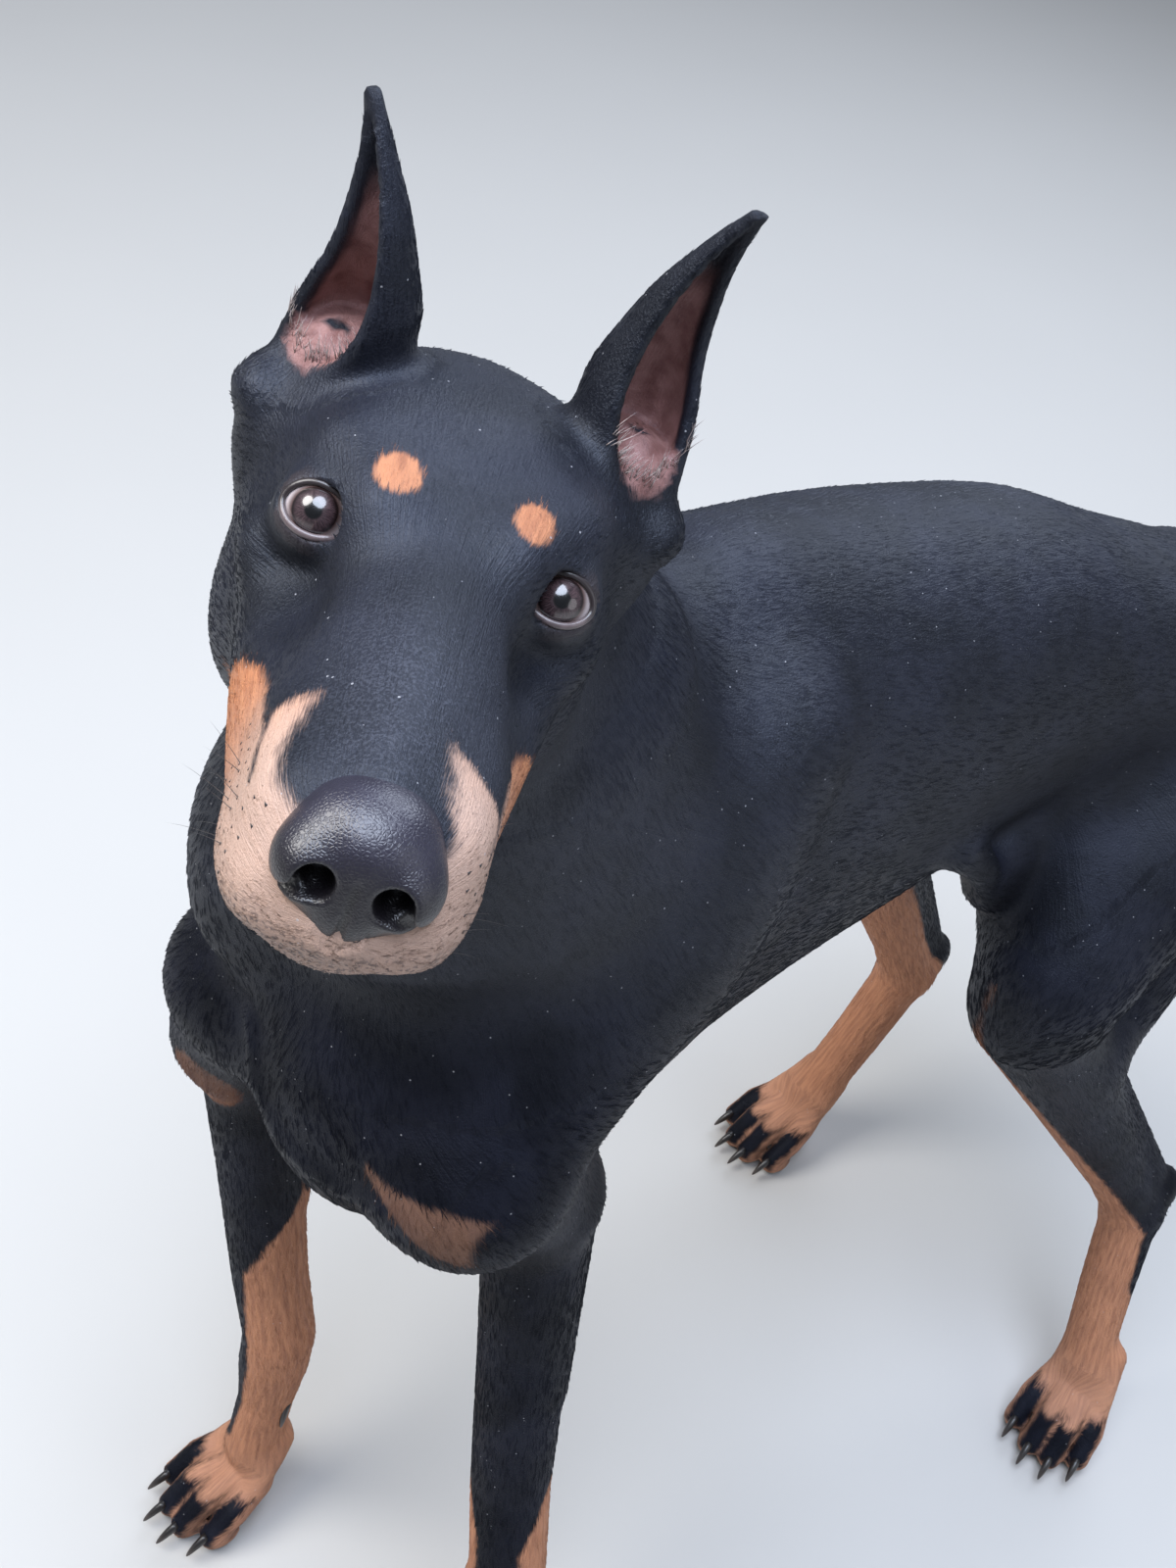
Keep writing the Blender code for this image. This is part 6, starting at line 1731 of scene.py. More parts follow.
@dataclass
class Skin:
    """One closed skin over the whole dog, finest at the head and the feet."""

    body: Body
    lie: Lie
    markings: Markings
    shift: Array
    coat_depth: float = 0.0012
    coarse: float = 0.0046
    fine: float = 0.0021
    most_triangles: int = 196000
    low: tuple = (-0.500, -0.185, -0.002)
    high: tuple = (0.425, 0.330, 0.985)

    def shape(self) -> Inset:
        """The body with its lids, lips and ears, hollow where the nose leather sits."""
        head = self.body.head
        steps = head.skull_steps()
        for side in SIDES:
            steps += head.lid_steps(side)
        groove = [(0.1255, 0, -0.0400), (0.1205, 0, -0.0640)]
        steps.append(("cut", 0.0030, Chain(groove, (0.0016, 0.0012))))
        for side in SIDES:
            steps.append(("cut", 0.0015, Egg((0.1190, side * 0.0100, -0.0340), (0.0110, 0.0070, 0.0075))))
        for side in SIDES:
            ear = head.ear(side)
            steps.append(("add", 0.009, ear))
            floor = ear.base + ear.axes @ (0.0, 0.0, -0.005)
            steps.append(("add", 0.006, Egg(floor, (0.0155, 0.0155, 0.0140), ear.axes)))
        fold = [(0.2760, -0.0335, 0.5294), (0.2805, -0.0215, 0.5087), (0.2800, -0.0020, 0.4930),
                (0.2790, 0.0155, 0.4870), (0.2760, 0.0340, 0.4900), (0.2745, 0.0559, 0.5051)]
        ridge = Chain(fold, (0.0030, 0.0044, 0.0046, 0.0046, 0.0044, 0.0030))
        flesh = self.body.steps() + [("add", 0.010, ridge)]
        whole = Group(flesh + [("add", 0.030, Group(steps, head.origin, head.axes))])
        return Inset(whole, head, self.coat_depth)

    def grid(self) -> list:
        """Lines close together across the head and the feet, and wider apart elsewhere."""
        fine, coarse = self.fine, self.coarse
        spans = (
            ((self.low[0], -0.300, coarse), (-0.300, -0.200, 0.0030), (-0.200, 0.165, coarse),
             (0.165, 0.425, fine)),
            ((self.low[1], -0.085, coarse), (-0.085, 0.225, fine), (0.225, 0.290, 0.0030),
             (0.290, 0.330, coarse)),
            ((self.low[2], 0.052, 0.0024), (0.052, 0.715, coarse), (0.715, 0.985, fine)),
        )
        return [np.unique(np.concatenate([lines(*span) for span in axis])) for axis in spans]

    def refine(self, piece: bpy.types.Object, shape: Inset) -> None:
        """Cuts the faces round the eyes, the nostrils and the lips in four."""
        head = self.body.head
        mesh = bmesh.new()
        mesh.from_mesh(piece.data)
        places = np.array([edge.verts[0].co for edge in mesh.edges], float)
        local = head.local(places)
        near = np.zeros(len(places), bool)
        for side in SIDES:
            near |= np.linalg.norm(local - head.eye(side), axis=1) < 0.0195
        lip = (local[:, 0] > 0.095) & (local[:, 2] < -0.02)
        near |= lip & (np.abs(local[:, 1]) < 0.030)
        edges = [edge for edge, chosen in zip(mesh.edges, near) if chosen]
        bmesh.ops.subdivide_edges(mesh, edges=edges, cuts=1, use_grid_fill=True)
        bmesh.ops.triangulate(mesh, faces=[face for face in mesh.faces if len(face.verts) > 4])
        mesh.to_mesh(piece.data)
        mesh.free()

    def build(self) -> bpy.types.Object:
        """Makes the skin's mesh in the dog's frame, with its marks and maps."""
        shape = self.shape()
        points, quads = polygonise(shape, self.grid())
        points = settle(shape, points, self.fine, 2)
        piece = mesh_object("skin", points, quads)
        self.refine(piece, shape)
        modifier = piece.modifiers.new("fewer", "DECIMATE")
        count = sum(len(face.vertices) - 2 for face in piece.data.polygons)
        LOG.info("skin: %d triangles before thinning", count)
        if count > self.most_triangles:
            modifier.ratio = self.most_triangles / count
        pick(piece)
        bpy.ops.object.modifier_apply(modifier=modifier.name)
        settled = settle(shape, points_of(piece.data), self.fine * 0.6, 2)
        put_points(piece.data, settled)
        smooth_faces(piece.data)
        self.lay_maps(piece.data, settled)
        return piece

    def lay_maps(self, mesh: bpy.types.Mesh, points: Array) -> None:
        """Stores the marks, and a map in metres along and round each strand, without a jump inside a face."""
        carry(mesh, {**self.markings.read(points), "tone": np.full(len(points), 0.5)})
        chosen, along, angle, _ = self.lie.read(points)
        corners = corners_of(mesh)
        starts = np.empty(len(mesh.polygons), np.int32)
        mesh.polygons.foreach_get("loop_start", starts)
        sizes = np.diff(np.append(starts, len(corners)))
        first = np.repeat(corners[starts], sizes)
        turn = angle[corners] - angle[first]
        turn -= 2 * math.pi * np.round(turn / (2 * math.pi))
        around = (angle[first] + turn) * MAP_RADII[chosen[first]]
        same = chosen[corners] == chosen[first]
        length = np.where(same, along[corners], along[first])
        put_map(mesh, "Lie", np.stack([length + chosen[first] * 1.7, around + chosen[first] * 0.9], 1))


@dataclass
class Tuft:
    """The size of one kind of tuft: a closed spike of four faces that lies along the skin."""

    length: float
    width: float
    lift: float
    root: float = 0.0006


@dataclass
class Coat:
    """One piece of the coat: many small tufts rooted in the skin."""

    name: str
    count: int
    tuft: Tuft
    where: Callable[[Array, Array], Array]
    seed: int
    low: Array
    high: Array

    def roots(self, skin: bpy.types.Object) -> tuple[Array, Array]:
        """Random places on the skin, by how dense the coat is there.

        Args:
            skin: The skin, in the dog's frame.

        Returns:
            Places and normals.
        """
        mesh = skin.data
        points = points_of(mesh)
        normals = np.empty(len(mesh.vertices) * 3, np.float32)
        mesh.vertices.foreach_get("normal", normals)
        normals = normals.reshape(-1, 3)
        mesh.calc_loop_triangles()
        faces = np.empty(len(mesh.loop_triangles) * 3, np.int32)
        mesh.loop_triangles.foreach_get("vertices", faces)
        faces = faces.reshape(-1, 3)
        a, b, c = (points[faces[:, n]] for n in range(3))
        area = np.linalg.norm(np.cross(b - a, c - a), axis=1) / 2
        middle = (a + b + c) / 3
        weight = area * self.where(middle, normals[faces].mean(1))
        draw = np.random.default_rng(self.seed)
        index = draw.choice(len(faces), self.count, p=weight / weight.sum())
        first, second = draw.random((2, self.count))
        over = first + second > 1
        first[over], second[over] = 1 - first[over], 1 - second[over]
        share = np.stack([1 - first - second, first, second], 1)[:, :, None]
        places = (points[faces[index]] * share).sum(1)
        facing = (normals[faces[index]] * share).sum(1)
        return places, unit_rows(facing)

    def build(self, skin: bpy.types.Object, lie: Lie, markings: Markings) -> bpy.types.Object:
        """Grows the tufts.

        Args:
            skin: The skin, in the dog's frame.
            lie: How the coat lies.
            markings: Where it is rust.

        Returns:
            The piece, in the dog's frame.
        """
        places, normals = self.roots(skin)
        draw = np.random.default_rng(self.seed + 100)
        chosen, along, angle, flow = lie.read(places)
        flow += draw.normal(0, 0.10, flow.shape)
        flow -= (flow * normals).sum(1)[:, None] * normals
        flow /= np.maximum(np.linalg.norm(flow, axis=1), 1e-6)[:, None]
        across = np.cross(normals, flow)
        size = (draw.uniform(0.75, 1.25, len(places)) * lie.fineness(places))[:, None]
        length = self.tuft.length * size
        width = self.tuft.width * draw.uniform(0.8, 1.2, len(places))[:, None]
        lift = self.tuft.lift * draw.uniform(0.5, 1.5, len(places))[:, None]
        base = places - normals * self.tuft.root
        corners = np.stack([
            base - across * width / 2,
            base + across * width / 2,
            base + normals * (self.tuft.root + width * 0.22) + flow * length * 0.12,
            places + flow * length + normals * lift * length,
        ], 1)
        corners = np.clip(corners, self.low, self.high)
        faces = np.array([(0, 3, 2), (2, 3, 1), (0, 1, 3), (0, 2, 1)])
        number = np.arange(len(places))[:, None, None] * 4
        piece = mesh_object(self.name, corners.reshape(-1, 3), (faces[None] + number).reshape(-1, 3))
        mesh = piece.data
        marks = {name: np.repeat(values, 4) for name, values in markings.read(places).items()}
        marks["tone"] = np.repeat(draw.random(len(places)), 4)
        carry(mesh, marks)
        patch = lie.patch(chosen, along, angle)
        corner = corners_of(mesh)
        spread = np.array([(-0.0015, -0.0015), (-0.0015, 0.0015), (0.0, 0.0), (0.0015, 0.0)])
        put_map(mesh, "OFBake", patch[corner // 4] + spread[corner % 4])
        root = np.stack([along + chosen * 1.7, angle * MAP_RADII[chosen] + chosen * 0.9], 1)
        step = np.array([(0.0, -0.5), (0.0, 0.5), (0.1, 0.0), (1.0, 0.0)])[corner % 4]
        size_of = np.concatenate([length, width], 1)[corner // 4]
        put_map(mesh, "Lie", root[corner // 4] + step * size_of)
        lean = draw.normal(0, 0.10, (len(places), 1))
        tilt = normals + across * lean + flow * draw.normal(0, 0.06, (len(places), 1))
        mesh.normals_split_custom_set_from_vertices(np.repeat(unit_rows(tilt), 4, axis=0).tolist())
        return piece


@dataclass
class NoseLeather:
    """The pad of the nose with its nostrils."""

    head: Head
    cell: float = 0.0009

    def build(self) -> bpy.types.Object:
        """Makes the pad in the dog's frame, with painted shade in the nostrils, their slits and the groove,
        and painted light on its top.
        """
        head = self.head
        cleft = Chain([(0.1222, 0, -0.0300), (0.1217, 0, -0.0400), (0.1192, 0, -0.0500)],
                      (0.0006, 0.0011, 0.0012))
        shape = Group(head.nose_steps() + [("cut", 0.0010, cleft)], head.origin, head.axes)
        middle = head.place(0.110, 0, -0.034)
        grid = [lines(middle[n] - 0.036, middle[n] + 0.036, self.cell) for n in range(3)]
        points, quads = polygonise(shape, grid)
        points = settle(shape, points, self.cell, 3)
        piece = mesh_object("nose_pad", points, quads)
        local = head.local(points)
        # Painted shade: the nostrils, their slits and the groove between them are painted near black where
        # they sink in.
        hollow = np.zeros(len(points))
        for side in SIDES:
            away = np.linalg.norm((local - (0.1185, side * 0.0100, -0.0340)) / (0.0090, 0.0054, 0.0058),
                                  axis=1)
            slit = Strand(np.array([(0.1190, side * 0.0115, -0.0365), (0.1150, side * 0.0165, -0.0400),
                                    (0.1110, side * 0.0205, -0.0400)]), np.full(3, 0.0020))
            hollow = np.maximum(hollow, 1 - ramp_up(away, 0.80, 1.15))
            hollow = np.maximum(hollow, 0.85 * (1 - ramp_up(slit.near(local)[0], 0.6, 1.5)))
        in_cleft = (1 - ramp_up(np.abs(local[:, 1]), 0.0004, 0.0016)) * ramp_up(-local[:, 2], 0.029, 0.034)
        hollow = np.maximum(hollow, 0.8 * in_cleft * ramp_up(local[:, 0], 0.110, 0.114))
        # The top-light mark rises towards the top of the leather: painted light from above.
        carry(piece.data, {"hollow": hollow, "painted_top_light": ramp_up(local[:, 2], -0.034, -0.018)})
        return piece


@dataclass
class Eyeball:
    """An eye with its bulging cornea."""

    head: Head
    side: float
    bulge: float = 0.0011

    def build(self) -> bpy.types.Object:
        """Makes the eye in the dog's frame, with the angle off its axis and a map round the iris."""
        head = self.head
        bpy.ops.object.select_all(action="DESELECT")
        bpy.ops.mesh.primitive_uv_sphere_add(segments=56, ring_count=40, radius=head.eye_radius)
        piece = bpy.context.object
        piece.name = piece.data.name = "eyeball_left" if self.side > 0 else "eyeball_right"
        points = points_of(piece.data)
        off = np.arccos(np.clip(points[:, 2] / head.eye_radius, -1, 1))
        points *= (1 + self.bulge / head.eye_radius * (1 - ramp_up(off, 0.10, 0.66)))[:, None]
        turn = np.arctan2(points[:, 1], points[:, 0])
        look, across, up = head.lid_axes(self.side).T
        frame = head.axes @ np.stack([across, up, look], 1)
        centre = head.place(*head.eye(self.side))
        put_points(piece.data, points @ frame.T + centre)
        smooth_faces(piece.data)
        carry(piece.data, {"off_axis": off})
        drop_maps(piece.data)
        corners = corners_of(piece.data)
        put_map(piece.data, "Iris", np.stack([np.sin(turn[corners]) * 0.5, off[corners] * 3], 1))
        return piece


@dataclass
class LidRim:
    """The moist edge of the lids round one eye."""

    head: Head
    side: float
    thick: float = 0.00095
    around: int = 72
    across: int = 10

    def build(self) -> bpy.types.Object:
        """Bends a ring onto the almond of the lids, in the dog's frame."""
        head = self.head
        bpy.ops.object.select_all(action="DESELECT")
        bpy.ops.mesh.primitive_torus_add(major_radius=1.0, minor_radius=0.2,
                                         major_segments=self.around, minor_segments=self.across)
        piece = bpy.context.object
        piece.name = piece.data.name = "lid_rim_left" if self.side > 0 else "lid_rim_right"
        points = points_of(piece.data)
        turn = np.arctan2(points[:, 1], points[:, 0])
        out = (np.hypot(points[:, 0], points[:, 1]) - 1.0) / 0.2
        rise = points[:, 2] / 0.2
        inner = -np.cos(turn) * self.side
        across = 0.0101 * np.cos(turn) * (1 + 0.10 * ramp_up(inner, 0.6, 1.0))
        above = np.where(np.sin(turn) > 0, 0.0078, 0.0072) * np.sin(turn) * (1 - 0.10 * np.cos(turn) ** 4)
        above -= 0.0012 * ramp_up(inner, 0.55, 1.0)
        ball = head.eye_radius + 0.0008
        deep = np.sqrt(np.maximum(ball**2 - across**2 - above**2, 1e-6))
        core = np.stack([deep, across, above], 1)
        normal = unit_rows(core)
        rings = core.reshape(self.around, self.across, 3)
        ahead = unit_rows((np.roll(rings, -1, 0) - np.roll(rings, 1, 0)).reshape(-1, 3))
        aside = np.cross(ahead, normal)
        local = core + (aside * out[:, None] * 1.25 + normal * rise[:, None]) * self.thick
        frame = head.axes @ head.lid_axes(self.side)
        put_points(piece.data, local @ frame.T + head.place(*head.eye(self.side)))
        smooth_faces(piece.data)
        flesh = np.maximum(ramp_up(-above, 0.0005, 0.0050), ramp_up(inner, 0.80, 1.0))
        carry(piece.data, {"flesh": flesh})
        drop_maps(piece.data)
        return piece


@dataclass
class Claws:
    """All the claws as one shape, a curved cone, set at each toe."""

    body: Body
    length: float = 0.0150
    radius: float = 0.0035

    def template(self) -> tuple[Array, Array]:
        """A straight cone along z, cut into rings, as points and faces."""
        bpy.ops.object.select_all(action="DESELECT")
        bpy.ops.mesh.primitive_cone_add(vertices=14, radius1=1.0, radius2=0.20, depth=1.0,
                                        end_fill_type="NGON")
        shape = bpy.context.object
        bpy.ops.object.mode_set(mode="EDIT")
        bpy.ops.mesh.select_all(action="SELECT")
        bpy.ops.mesh.bisect(plane_co=(0, 0, -0.30), plane_no=(0, 0, 1))
        for level in (-0.10, 0.10, 0.25, 0.38, 0.46):
            bpy.ops.mesh.select_all(action="SELECT")
            bpy.ops.mesh.bisect(plane_co=(0, 0, level), plane_no=(0, 0, 1))
        bpy.ops.mesh.select_all(action="SELECT")
        bpy.ops.mesh.quads_convert_to_tris()
        bpy.ops.object.mode_set(mode="OBJECT")
        points = points_of(shape.data)
        faces = corners_of(shape.data).reshape(-1, 3)
        bpy.data.objects.remove(shape)
        return points, faces

    def build(self) -> list:
        """Makes each claw in the dog's frame, named as the node that it replaces."""
        points, faces = self.template()
        share = points[:, 2] + 0.5
        round_off = np.sqrt(np.clip(1 - share**3, 0.02, 1))
        made = []
        for legs, word in ((FORE, "fore"), (HIND, "hind")):
            for side, leg in legs.items():
                for number, (root, ahead) in enumerate(self.body.claws(leg, word == "fore")):
                    name = f"dewclaw_{side}" if number == 4 else f"claw_{word}_{side}_{number + 1}"
                    aside = unit(np.cross((0.0, 0.0, 1.0), ahead))
                    lift = np.cross(ahead, aside)
                    bow = np.clip(share, 0, 1)
                    thick = self.radius * (1 - 0.25 * bow) * round_off
                    away = np.hypot(points[:, 0], points[:, 1])
                    wide, high = points[:, 0] / np.maximum(away, 1e-9), points[:, 1] / np.maximum(away, 1e-9)
                    around = away / (1 - 0.8 * share)
                    place = root + ahead * (self.length * (share - 0.22))[:, None]
                    place = place + (wide * thick * around * 0.80)[:, None] * aside
                    place = place + (high * thick * around)[:, None] * lift
                    place[:, 2] -= 0.0046 * bow**2
                    piece = mesh_object(name + "_horn", place, faces)
                    carry(piece.data, {"tip": ramp_up(share, 0.45, 1.0)})
                    made.append((piece, name))
        return made


@dataclass
class Spikes:
    """Fine curved hairs, each a cone of a few faces: whiskers, and the pale hairs at the edge of an ear."""

    sides: int = 5
    rings: int = 6
    sideways: tuple = (0.30, 0.17, 0.94)

    def template(self) -> tuple[Array, Array]:
        """A cone along its first axis, as share along it and two places across, with its faces."""
        points, faces = [], []
        for ring in range(self.rings):
            share = ring / self.rings
            for number in range(self.sides):
                turn = 2 * math.pi * number / self.sides
                points.append((share, (1 - share) * math.cos(turn), (1 - share) * math.sin(turn)))
        points.append((1.0, 0.0, 0.0))
        for ring in range(self.rings - 1):
            for number in range(self.sides):
                a = ring * self.sides + number
                b = ring * self.sides + (number + 1) % self.sides
                faces += [(a, b, b + self.sides), (a, b + self.sides, a + self.sides)]
        last = (self.rings - 1) * self.sides
        for number in range(self.sides):
            faces.append((last + number, last + (number + 1) % self.sides, len(points) - 1))
        for number in range(1, self.sides - 1):
            faces.append((0, number + 1, number))
        return np.array(points), np.array(faces)

    def build(self, name: str, roots: Array, ways: Array, droops: Array, lengths: Array,
              radius: float) -> bpy.types.Object:
        """Sets a hair at each root.

        Args:
            name: The piece's name.
            roots: Where the hairs start.
            ways: Which way they leave.
            droops: How their tips are shifted, in metres.
            lengths: Their lengths.
            radius: Their thickness at the root.

        Returns:
            The piece.
        """
        points, faces = self.template()
        ways = unit_rows(ways)
        side = unit_rows(np.cross(ways, self.sideways))
        above = np.cross(side, ways)
        share = points[None, :, :1]
        place = roots[:, None] + ways[:, None] * share * lengths[:, None, None]
        place = place + droops[:, None] * share**2
        place = place + (side[:, None] * points[None, :, 1:2] + above[:, None] * points[None, :, 2:]) * radius
        number = np.arange(len(roots))[:, None, None] * len(points)
        return mesh_object(name, place.reshape(-1, 3), (faces[None] + number).reshape(-1, 3))


@dataclass
class Whiskers:
    """The rows of whiskers on the lips, with the dark spots at their roots."""

    head: Head
    skin: Inset
    seed: int = 11

    def onto_skin(self, local: Array) -> Array:
        """Moves places of the head's frame onto the skin, from outside along the line to the head's
        middle."""
        head = self.head
        places = head.origin + local @ head.axes.T
        return settle(self.skin, settle(self.skin, places, 0.008, 6), 0.002, 3)

    def spots(self) -> tuple[Array, Array]:
        """Roots on both sides of the muzzle, in rows from the nose back, and whether each bears a whisker."""
        draw = np.random.default_rng(self.seed)
        rows = []
        for side in SIDES:
            for row in range(5):
                for number in range(8 - row // 2):
                    x = 0.104 - 0.0062 * number - 0.0016 * row
                    z = -0.0300 - 0.0062 * row - 0.0008 * number
                    wide = 0.0265 + 0.0012 * number
                    rows.append((x + draw.normal(0, 0.0007), side * wide, z + draw.normal(0, 0.0007),
                                 row >= 1))
        rows = np.array(rows)
        return rows[:, :3], rows[:, 3] > 0.5

    def build(self) -> list:
        """Makes the whiskers and the spots in the dog's frame."""
        head, draw = self.head, np.random.default_rng(self.seed + 1)
        local, bearing = self.spots()
        roots = self.onto_skin(local)
        normals = unit_rows(slope_of(self.skin, roots, 0.0005)[1])
        spikes = Spikes()
        back = -head.axes[:, 0]
        chosen = bearing & (draw.random(len(roots)) < 0.34)
        count = int(chosen.sum())
        ways = normals[chosen] * 0.8 + back * 0.75 + draw.normal(0, 0.12, (count, 3))
        droops = np.tile((0.0, 0.0, -0.006), (count, 1)) + back * 0.004
        lengths = draw.uniform(0.010, 0.024, count)
        whiskers = spikes.build("whiskers", roots[chosen] - normals[chosen] * 0.0005, ways, droops, lengths,
                                0.00012)
        flat = Spikes(6, 2)
        lying = back + draw.normal(0, 0.05, (len(roots), 3))
        lying -= (lying * normals).sum(1)[:, None] * normals
        start = roots - normals * 0.00025
        spots = flat.build("whisker_spots", start, lying, normals * 0.0, np.full(len(roots), 0.0021), 0.00058)
        return [whiskers, spots]


@dataclass
class EarHair:
    """Pale hairs at the lower end of the opening of the ears."""

    head: Head
    skin: Inset
    seed: int = 21
    count: int = 95

    def build(self) -> bpy.types.Object:
        """Makes the hairs in the dog's frame, from the rims of both cups."""
        head, draw = self.head, np.random.default_rng(self.seed)
        roots, ways = [], []
        for side in SIDES:
            ear = head.ear(side)
            turn = draw.uniform(-1.25, 1.25, self.count)
            share = draw.uniform(-0.02, 0.06, self.count) + 0.10 * np.abs(turn)
            radius = np.interp(share, ear.places, ear.table[0]) * 0.94
            rim = np.stack([radius * np.cos(turn), radius * np.sin(turn), share * ear.length], 1)
            way = np.stack([0.25 - 0.3 * np.cos(turn), -0.35 * np.sin(turn), np.full(self.count, 0.9)], 1)
            way += draw.normal(0, 0.17, way.shape)
            axes = head.axes @ ear.axes
            base = head.place(*ear.base)
            roots.append(base + rim @ axes.T)
            ways.append(way @ axes.T)
        roots, ways = settle(self.skin, np.concatenate(roots), 0.004, 6), np.concatenate(ways)
        droops = ways * 0.0 + head.axes[:, 0] * 0.002
        lengths = draw.uniform(0.004, 0.009, len(roots))
        return Spikes(3, 3).build("ear_hair", roots, ways, droops, lengths, 0.00019)


@dataclass
class Studio:
    """Floor, soft lights and the camera where the photographer stood."""

    shift: Array
    camera_at: tuple = (0.5908, 0.3362, 1.155)
    look: tuple = (-0.5887, -0.434, -0.682)
    right: tuple = (-0.7159, 0.6717, 0.1905)
    focal: float = 41.7
    ambient: tuple = (0.70, 0.77, 0.90, 1.0)
    ambient_strength: float = 0.20
    lamps: tuple = (
        ("key", (1.6, -1.2, 2.7), 1.8, 84.0, (1.0, 0.985, 0.96)),
        ("sky", (0.55, 0.35, 2.9), 2.0, 100.0, (0.74, 0.83, 1.0)),
        ("fill", (-0.5, 2.5, 1.2), 2.0, 12.0, (0.95, 0.97, 1.0)),
        ("rim", (-2.0, -0.6, 2.4), 2.0, 50.0, (0.78, 0.86, 1.0)),
    )

    def floor(self) -> None:
        """A wide plain floor under the paws."""
        bpy.ops.object.select_all(action="DESELECT")
        bpy.ops.mesh.primitive_plane_add(size=9.0)
        plane = bpy.context.object
        plane.name = plane.data.name = "floor"
        plane.data.materials.append(FloorFinish().material())
        plane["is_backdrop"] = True

    def light(self, name: str, place: tuple, size: float, power: float, colour: tuple) -> None:
        """A large round light that faces the dog."""
        data = bpy.data.lights.new(name, "AREA")
        data.shape, data.size, data.energy, data.color = "DISK", size, power, colour
        lamp = bpy.data.objects.new(name, data)
        way = Vector((0.05, 0.0, 0.5)) - Vector(place)
        lamp.matrix_world = Matrix.Translation(place) @ way.to_track_quat("-Z", "Y").to_matrix().to_4x4()
        bpy.context.scene.collection.objects.link(lamp)

    def camera(self) -> None:
        """The camera in the photograph's place, with its framing."""
        data = bpy.data.cameras.new("camera")
        data.sensor_width, data.lens, data.clip_start = 36.0, self.focal, 0.02
        made = bpy.data.objects.new("camera", data)
        look = unit(self.look)
        right = unit(np.array(self.right) - look * (np.array(self.right) @ look))
        above = np.cross(right, look)
        turn = Matrix(np.stack([right, above, -look], 1).tolist()).to_4x4()
        made.matrix_world = Matrix.Translation(self.camera_at + self.shift) @ turn
        bpy.context.scene.collection.objects.link(made)
        bpy.context.scene.camera = made

    def build(self) -> None:
        """Sets up the floor, the lights, the sky and the camera."""
        self.floor()
        for lamp in self.lamps:
            self.light(*lamp)
        world = bpy.data.worlds.new("sky")
        world.use_nodes = True
        backdrop = world.node_tree.nodes["Background"]
        backdrop.inputs["Color"].default_value = self.ambient
        backdrop.inputs["Strength"].default_value = self.ambient_strength
        bpy.context.scene.world = world
        bpy.context.scene.view_settings.view_transform = "Standard"
        self.camera()


def face_and_feet(body: Body) -> Callable[[Array, Array], Array]:
    """Where the shortest hair grows: the head, the ears' backs and the feet.

    Args:
        body: The dog.

    Returns:
        A function that gives the density for places and normals.
    """
    head = body.head

    def density(places: Array, normals: Array) -> Array:
        """How dense the hair is."""
        local = head.local(places)
        near = 1 - ramp_up(np.linalg.norm(local + (0.02, 0, 0), axis=1), 0.13, 0.15)
        feet = 0.7 * (1 - ramp_up(places[:, 2], 0.10, 0.16))
        eyes = np.minimum(*[np.linalg.norm(local - head.eye(side), axis=1) for side in SIDES])
        clear = ramp_up(eyes, 0.0145, 0.0165)
        nose = np.linalg.norm((local - (0.112, 0, -0.033)) / (0.020, 0.024, 0.020), axis=1)
        inner = np.zeros(len(places))
        for side in SIDES:
            ear = head.ear(side)
            out, aside, share, radius, _ = ear.local(local)
            close = (share > 0) & (share < 1) & (np.hypot(out, aside) < radius * 1.3 + 0.003)
            inner = np.where(close & (np.hypot(out, aside) < radius), 1.0, inner)
            tip = (share > 0.90) & (share < 1.2) & (np.hypot(out, aside) < 0.015)
            inner = np.where(tip, 1.0, inner)
        hair = np.maximum(near, feet) * clear * ramp_up(nose, 0.95, 1.15)
        return hair * (1 - inner) * (places[:, 2] > 0.006)

    return density


def trunk_and_legs(body: Body) -> Callable[[Array, Array], Array]:
    """Where the flat hair of the body grows.

    Args:
        body: The dog.

    Returns:
        A function that gives the density for places and normals.
    """
    head = body.head

    def density(places: Array, normals: Array) -> Array:
        """How dense the hair is."""
        local = head.local(places)
        away = ramp_up(np.linalg.norm(local + (0.02, 0, 0), axis=1), 0.12, 0.15)
        return away * ramp_up(places[:, 2], 0.08, 0.16)

    return density


def edges_of_form(body: Body) -> Callable[[Array, Array], Array]:
    """Where the coat breaks the form: behind the legs, along the belly, on the crest and on the tail.

    Args:
        body: The dog.

    Returns:
        A function that gives the density for places and normals.
    """

    def density(places: Array, normals: Array) -> Array:
        """How dense the hair is."""
        x, y, z = places.T
        behind = ramp_up(-x, 0.22, 0.28) * ramp_up(z, 0.10, 0.16) * ramp_up(-normals[:, 0], 0.2, 0.5)
        belly = ramp_up(-z, -0.54, -0.50) * ramp_up(z, 0.34, 0.40)
        belly = belly * ramp_up(-normals[:, 2], 0.3, 0.6) * ramp_up(-x, -0.22, -0.16)
        foreback = ramp_up(x, 0.08, 0.14) * ramp_up(-z, -0.42, -0.36) * ramp_up(z, 0.10, 0.16)
        foreback = foreback * ramp_up(-normals[:, 0], 0.3, 0.7)
        crest = 0.5 * ramp_up(z, 0.62, 0.70) * ramp_up(-z, -0.90, -0.84)
        crest = crest * ramp_up(normals[:, 2], 0.4, 0.7) * ramp_up(-x, -0.26, -0.20)
        tail = ramp_up(-x, 0.34, 0.40)
        return np.maximum.reduce([behind, belly, foreback, crest, tail])

    return density


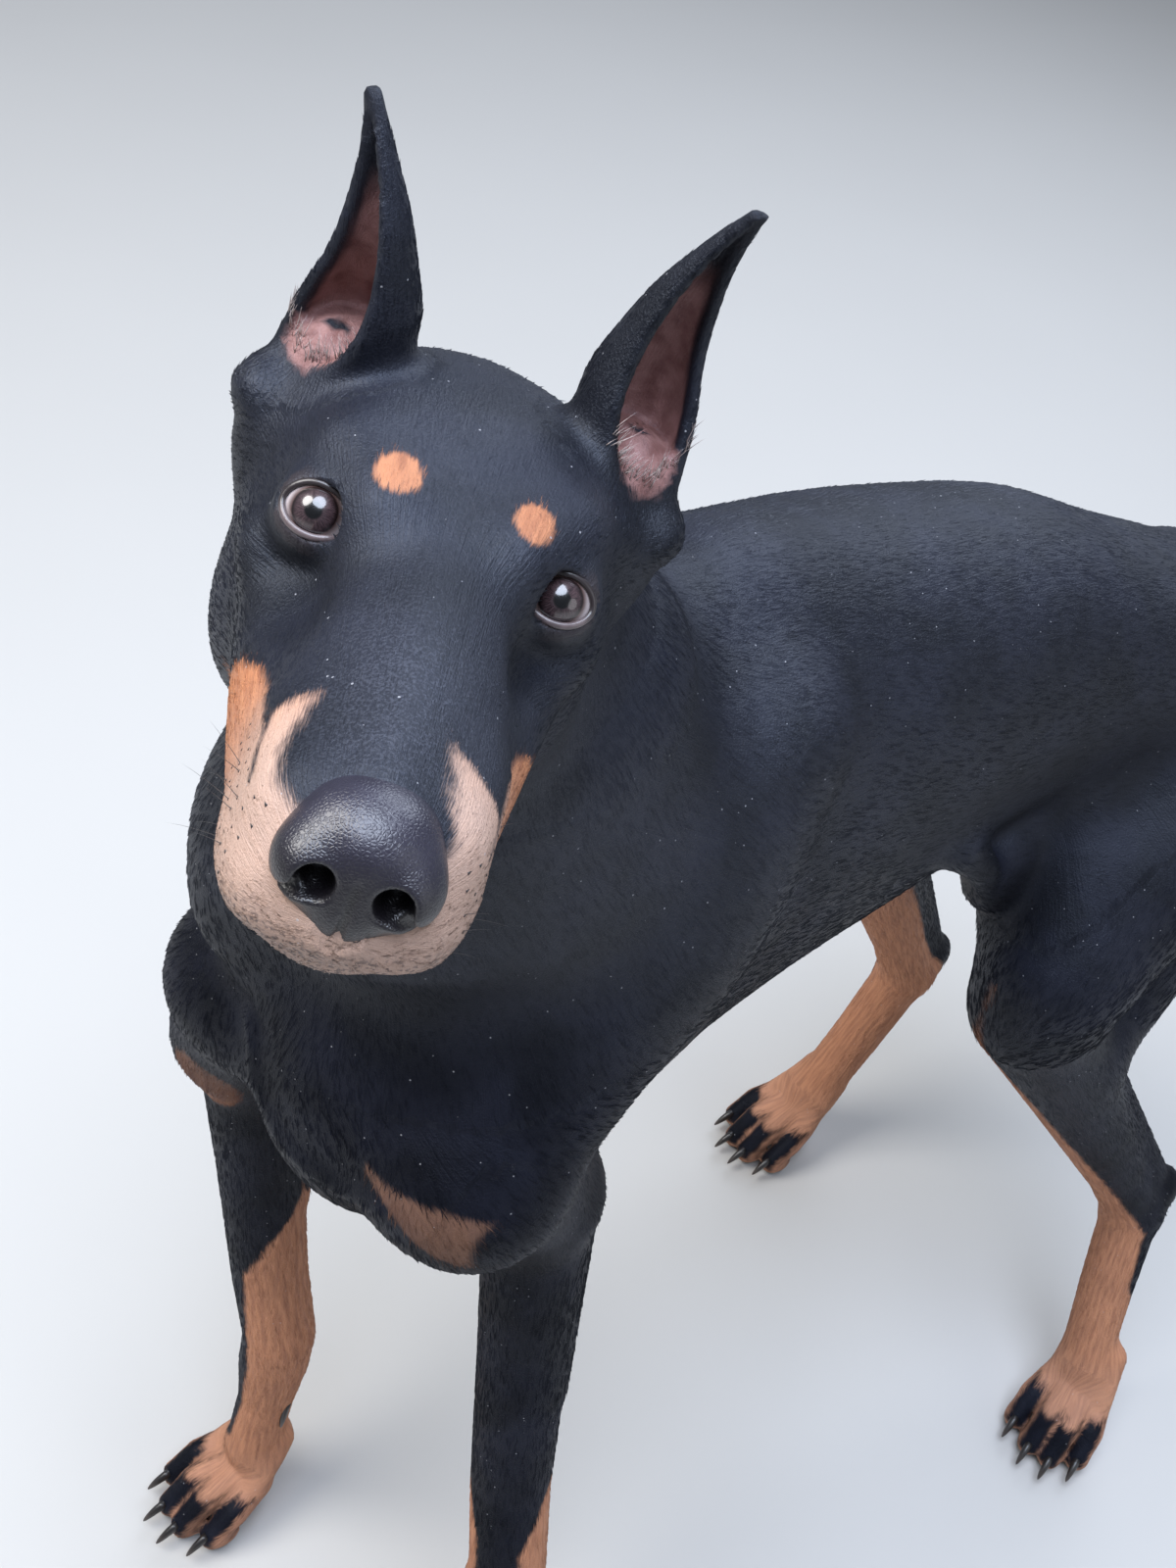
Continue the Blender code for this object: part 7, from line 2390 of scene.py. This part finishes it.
@dataclass
class Dog:
    """The whole dog, dressed."""

    body: Body
    shift: Array
    low: Array
    high: Array

    def put(self, piece: bpy.types.Object) -> None:
        """Moves a finished piece from the dog's frame into the row's."""
        piece.data.transform(Matrix.Translation(Vector(self.shift)))
        piece.data.update()

    def build(self) -> None:
        """Builds every piece and gives each its finish."""
        body, head = self.body, self.body.head
        lie, markings = Lie(body), Markings(body)
        coat_look = CoatFinish().material()
        skin_maker = Skin(body, lie, markings, self.shift)
        skin = skin_maker.build()
        LOG.info("skin: %d triangles", len(skin.data.polygons))
        limits = (self.low, self.high)
        coats = (
            Coat("coat_face", 46000, Tuft(0.0034, 0.00058, 0.05), face_and_feet(body), 1, *limits),
            Coat("coat_body", 46000, Tuft(0.0066, 0.00100, 0.040), trunk_and_legs(body), 2, *limits),
            Coat("coat_flow", 46000, Tuft(0.0058, 0.00090, 0.040), trunk_and_legs(body), 3, *limits),
            Coat("coat_edge", 24000, Tuft(0.0056, 0.00085, 0.10), edges_of_form(body), 4, *limits),
        )
        grown = [coat.build(skin, lie, markings) for coat in coats]
        for piece in grown:
            LOG.info("%s: %d faces", piece.name, len(piece.data.polygons))
        whiskers = Whiskers(head, skin_maker.shape()).build()
        whisker_look = WhiskerFinish().material()
        nose = NoseLeather(head).build()
        eyes = [Eyeball(head, side).build() for side in (1.0, -1.0)]
        rims = [LidRim(head, side).build() for side in (1.0, -1.0)]
        hair = EarHair(head, skin_maker.shape()).build()
        claws = Claws(body).build()
        eye_look, rim_look, horn = EyeFinish().material(), LidFinish().material(), HornFinish().material()
        pale_hair = WhiskerFinish((0.36, 0.29, 0.28), (0.58, 0.50, 0.48)).material()
        for piece in (skin, *grown, *whiskers, nose, *eyes, *rims, hair, *(piece for piece, _ in claws)):
            self.put(piece)
        dress(skin, coat_look, Slot.BLACK)
        for piece in grown:
            dress(piece, coat_look, Slot.BLACK)
        for piece in whiskers:
            dress(piece, whisker_look, Slot.BLACK)
        dress(hair, pale_hair, Slot.RUST)
        dress(nose, NoseFinish().material(), Slot.NOSE)
        for piece, side in zip(eyes, ("left", "right")):
            dress(piece, eye_look, Slot.EYE)
            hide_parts(f"eye_{side}")
        for piece in rims:
            dress(piece, rim_look, Slot.NOSE)
        for piece, name in claws:
            dress(piece, horn, Slot.CLAW)
            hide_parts(name)
        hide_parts("nose")


def flesh_nodes(nodes: dict) -> list:
    """The names of the nodes that the skin stands for."""
    kept = ("eye_", "claw_", "dewclaw_", "nose")
    return sorted(name for name in nodes if not name.startswith(kept))


def eye_shift(head: Head) -> Array:
    """How far the row's frame lies from the dog's, read from the left eye's place."""
    low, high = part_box("eye_left")
    return (np.array(low) + np.array(high)) / 2 - head.place(*head.eye(1.0))


def corners(bounds: object) -> list:
    """The bounds as plain lists of numbers."""
    return [[float(part) for part in corner] for corner in bounds]


def main() -> None:
    """Loads the solids, builds the dog over them and sets up the studio."""
    logging.basicConfig(level=logging.INFO, format="%(message)s")
    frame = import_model()
    sizes = {"solids": corners(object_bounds())}
    body = Body(Head())
    shift = eye_shift(body.head)
    low, high = (np.array(corner) - shift for corner in sizes["solids"])
    dog = Dog(body, shift, low, high)
    LOG.info("shift of the frame: %s", np.round(dog.shift, 4))
    dog.build()
    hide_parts(*flesh_nodes(frame["nodes"]))
    Studio(dog.shift).build()
    sizes["dressed"] = corners(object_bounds())


if __name__ == "__main__":
    main()
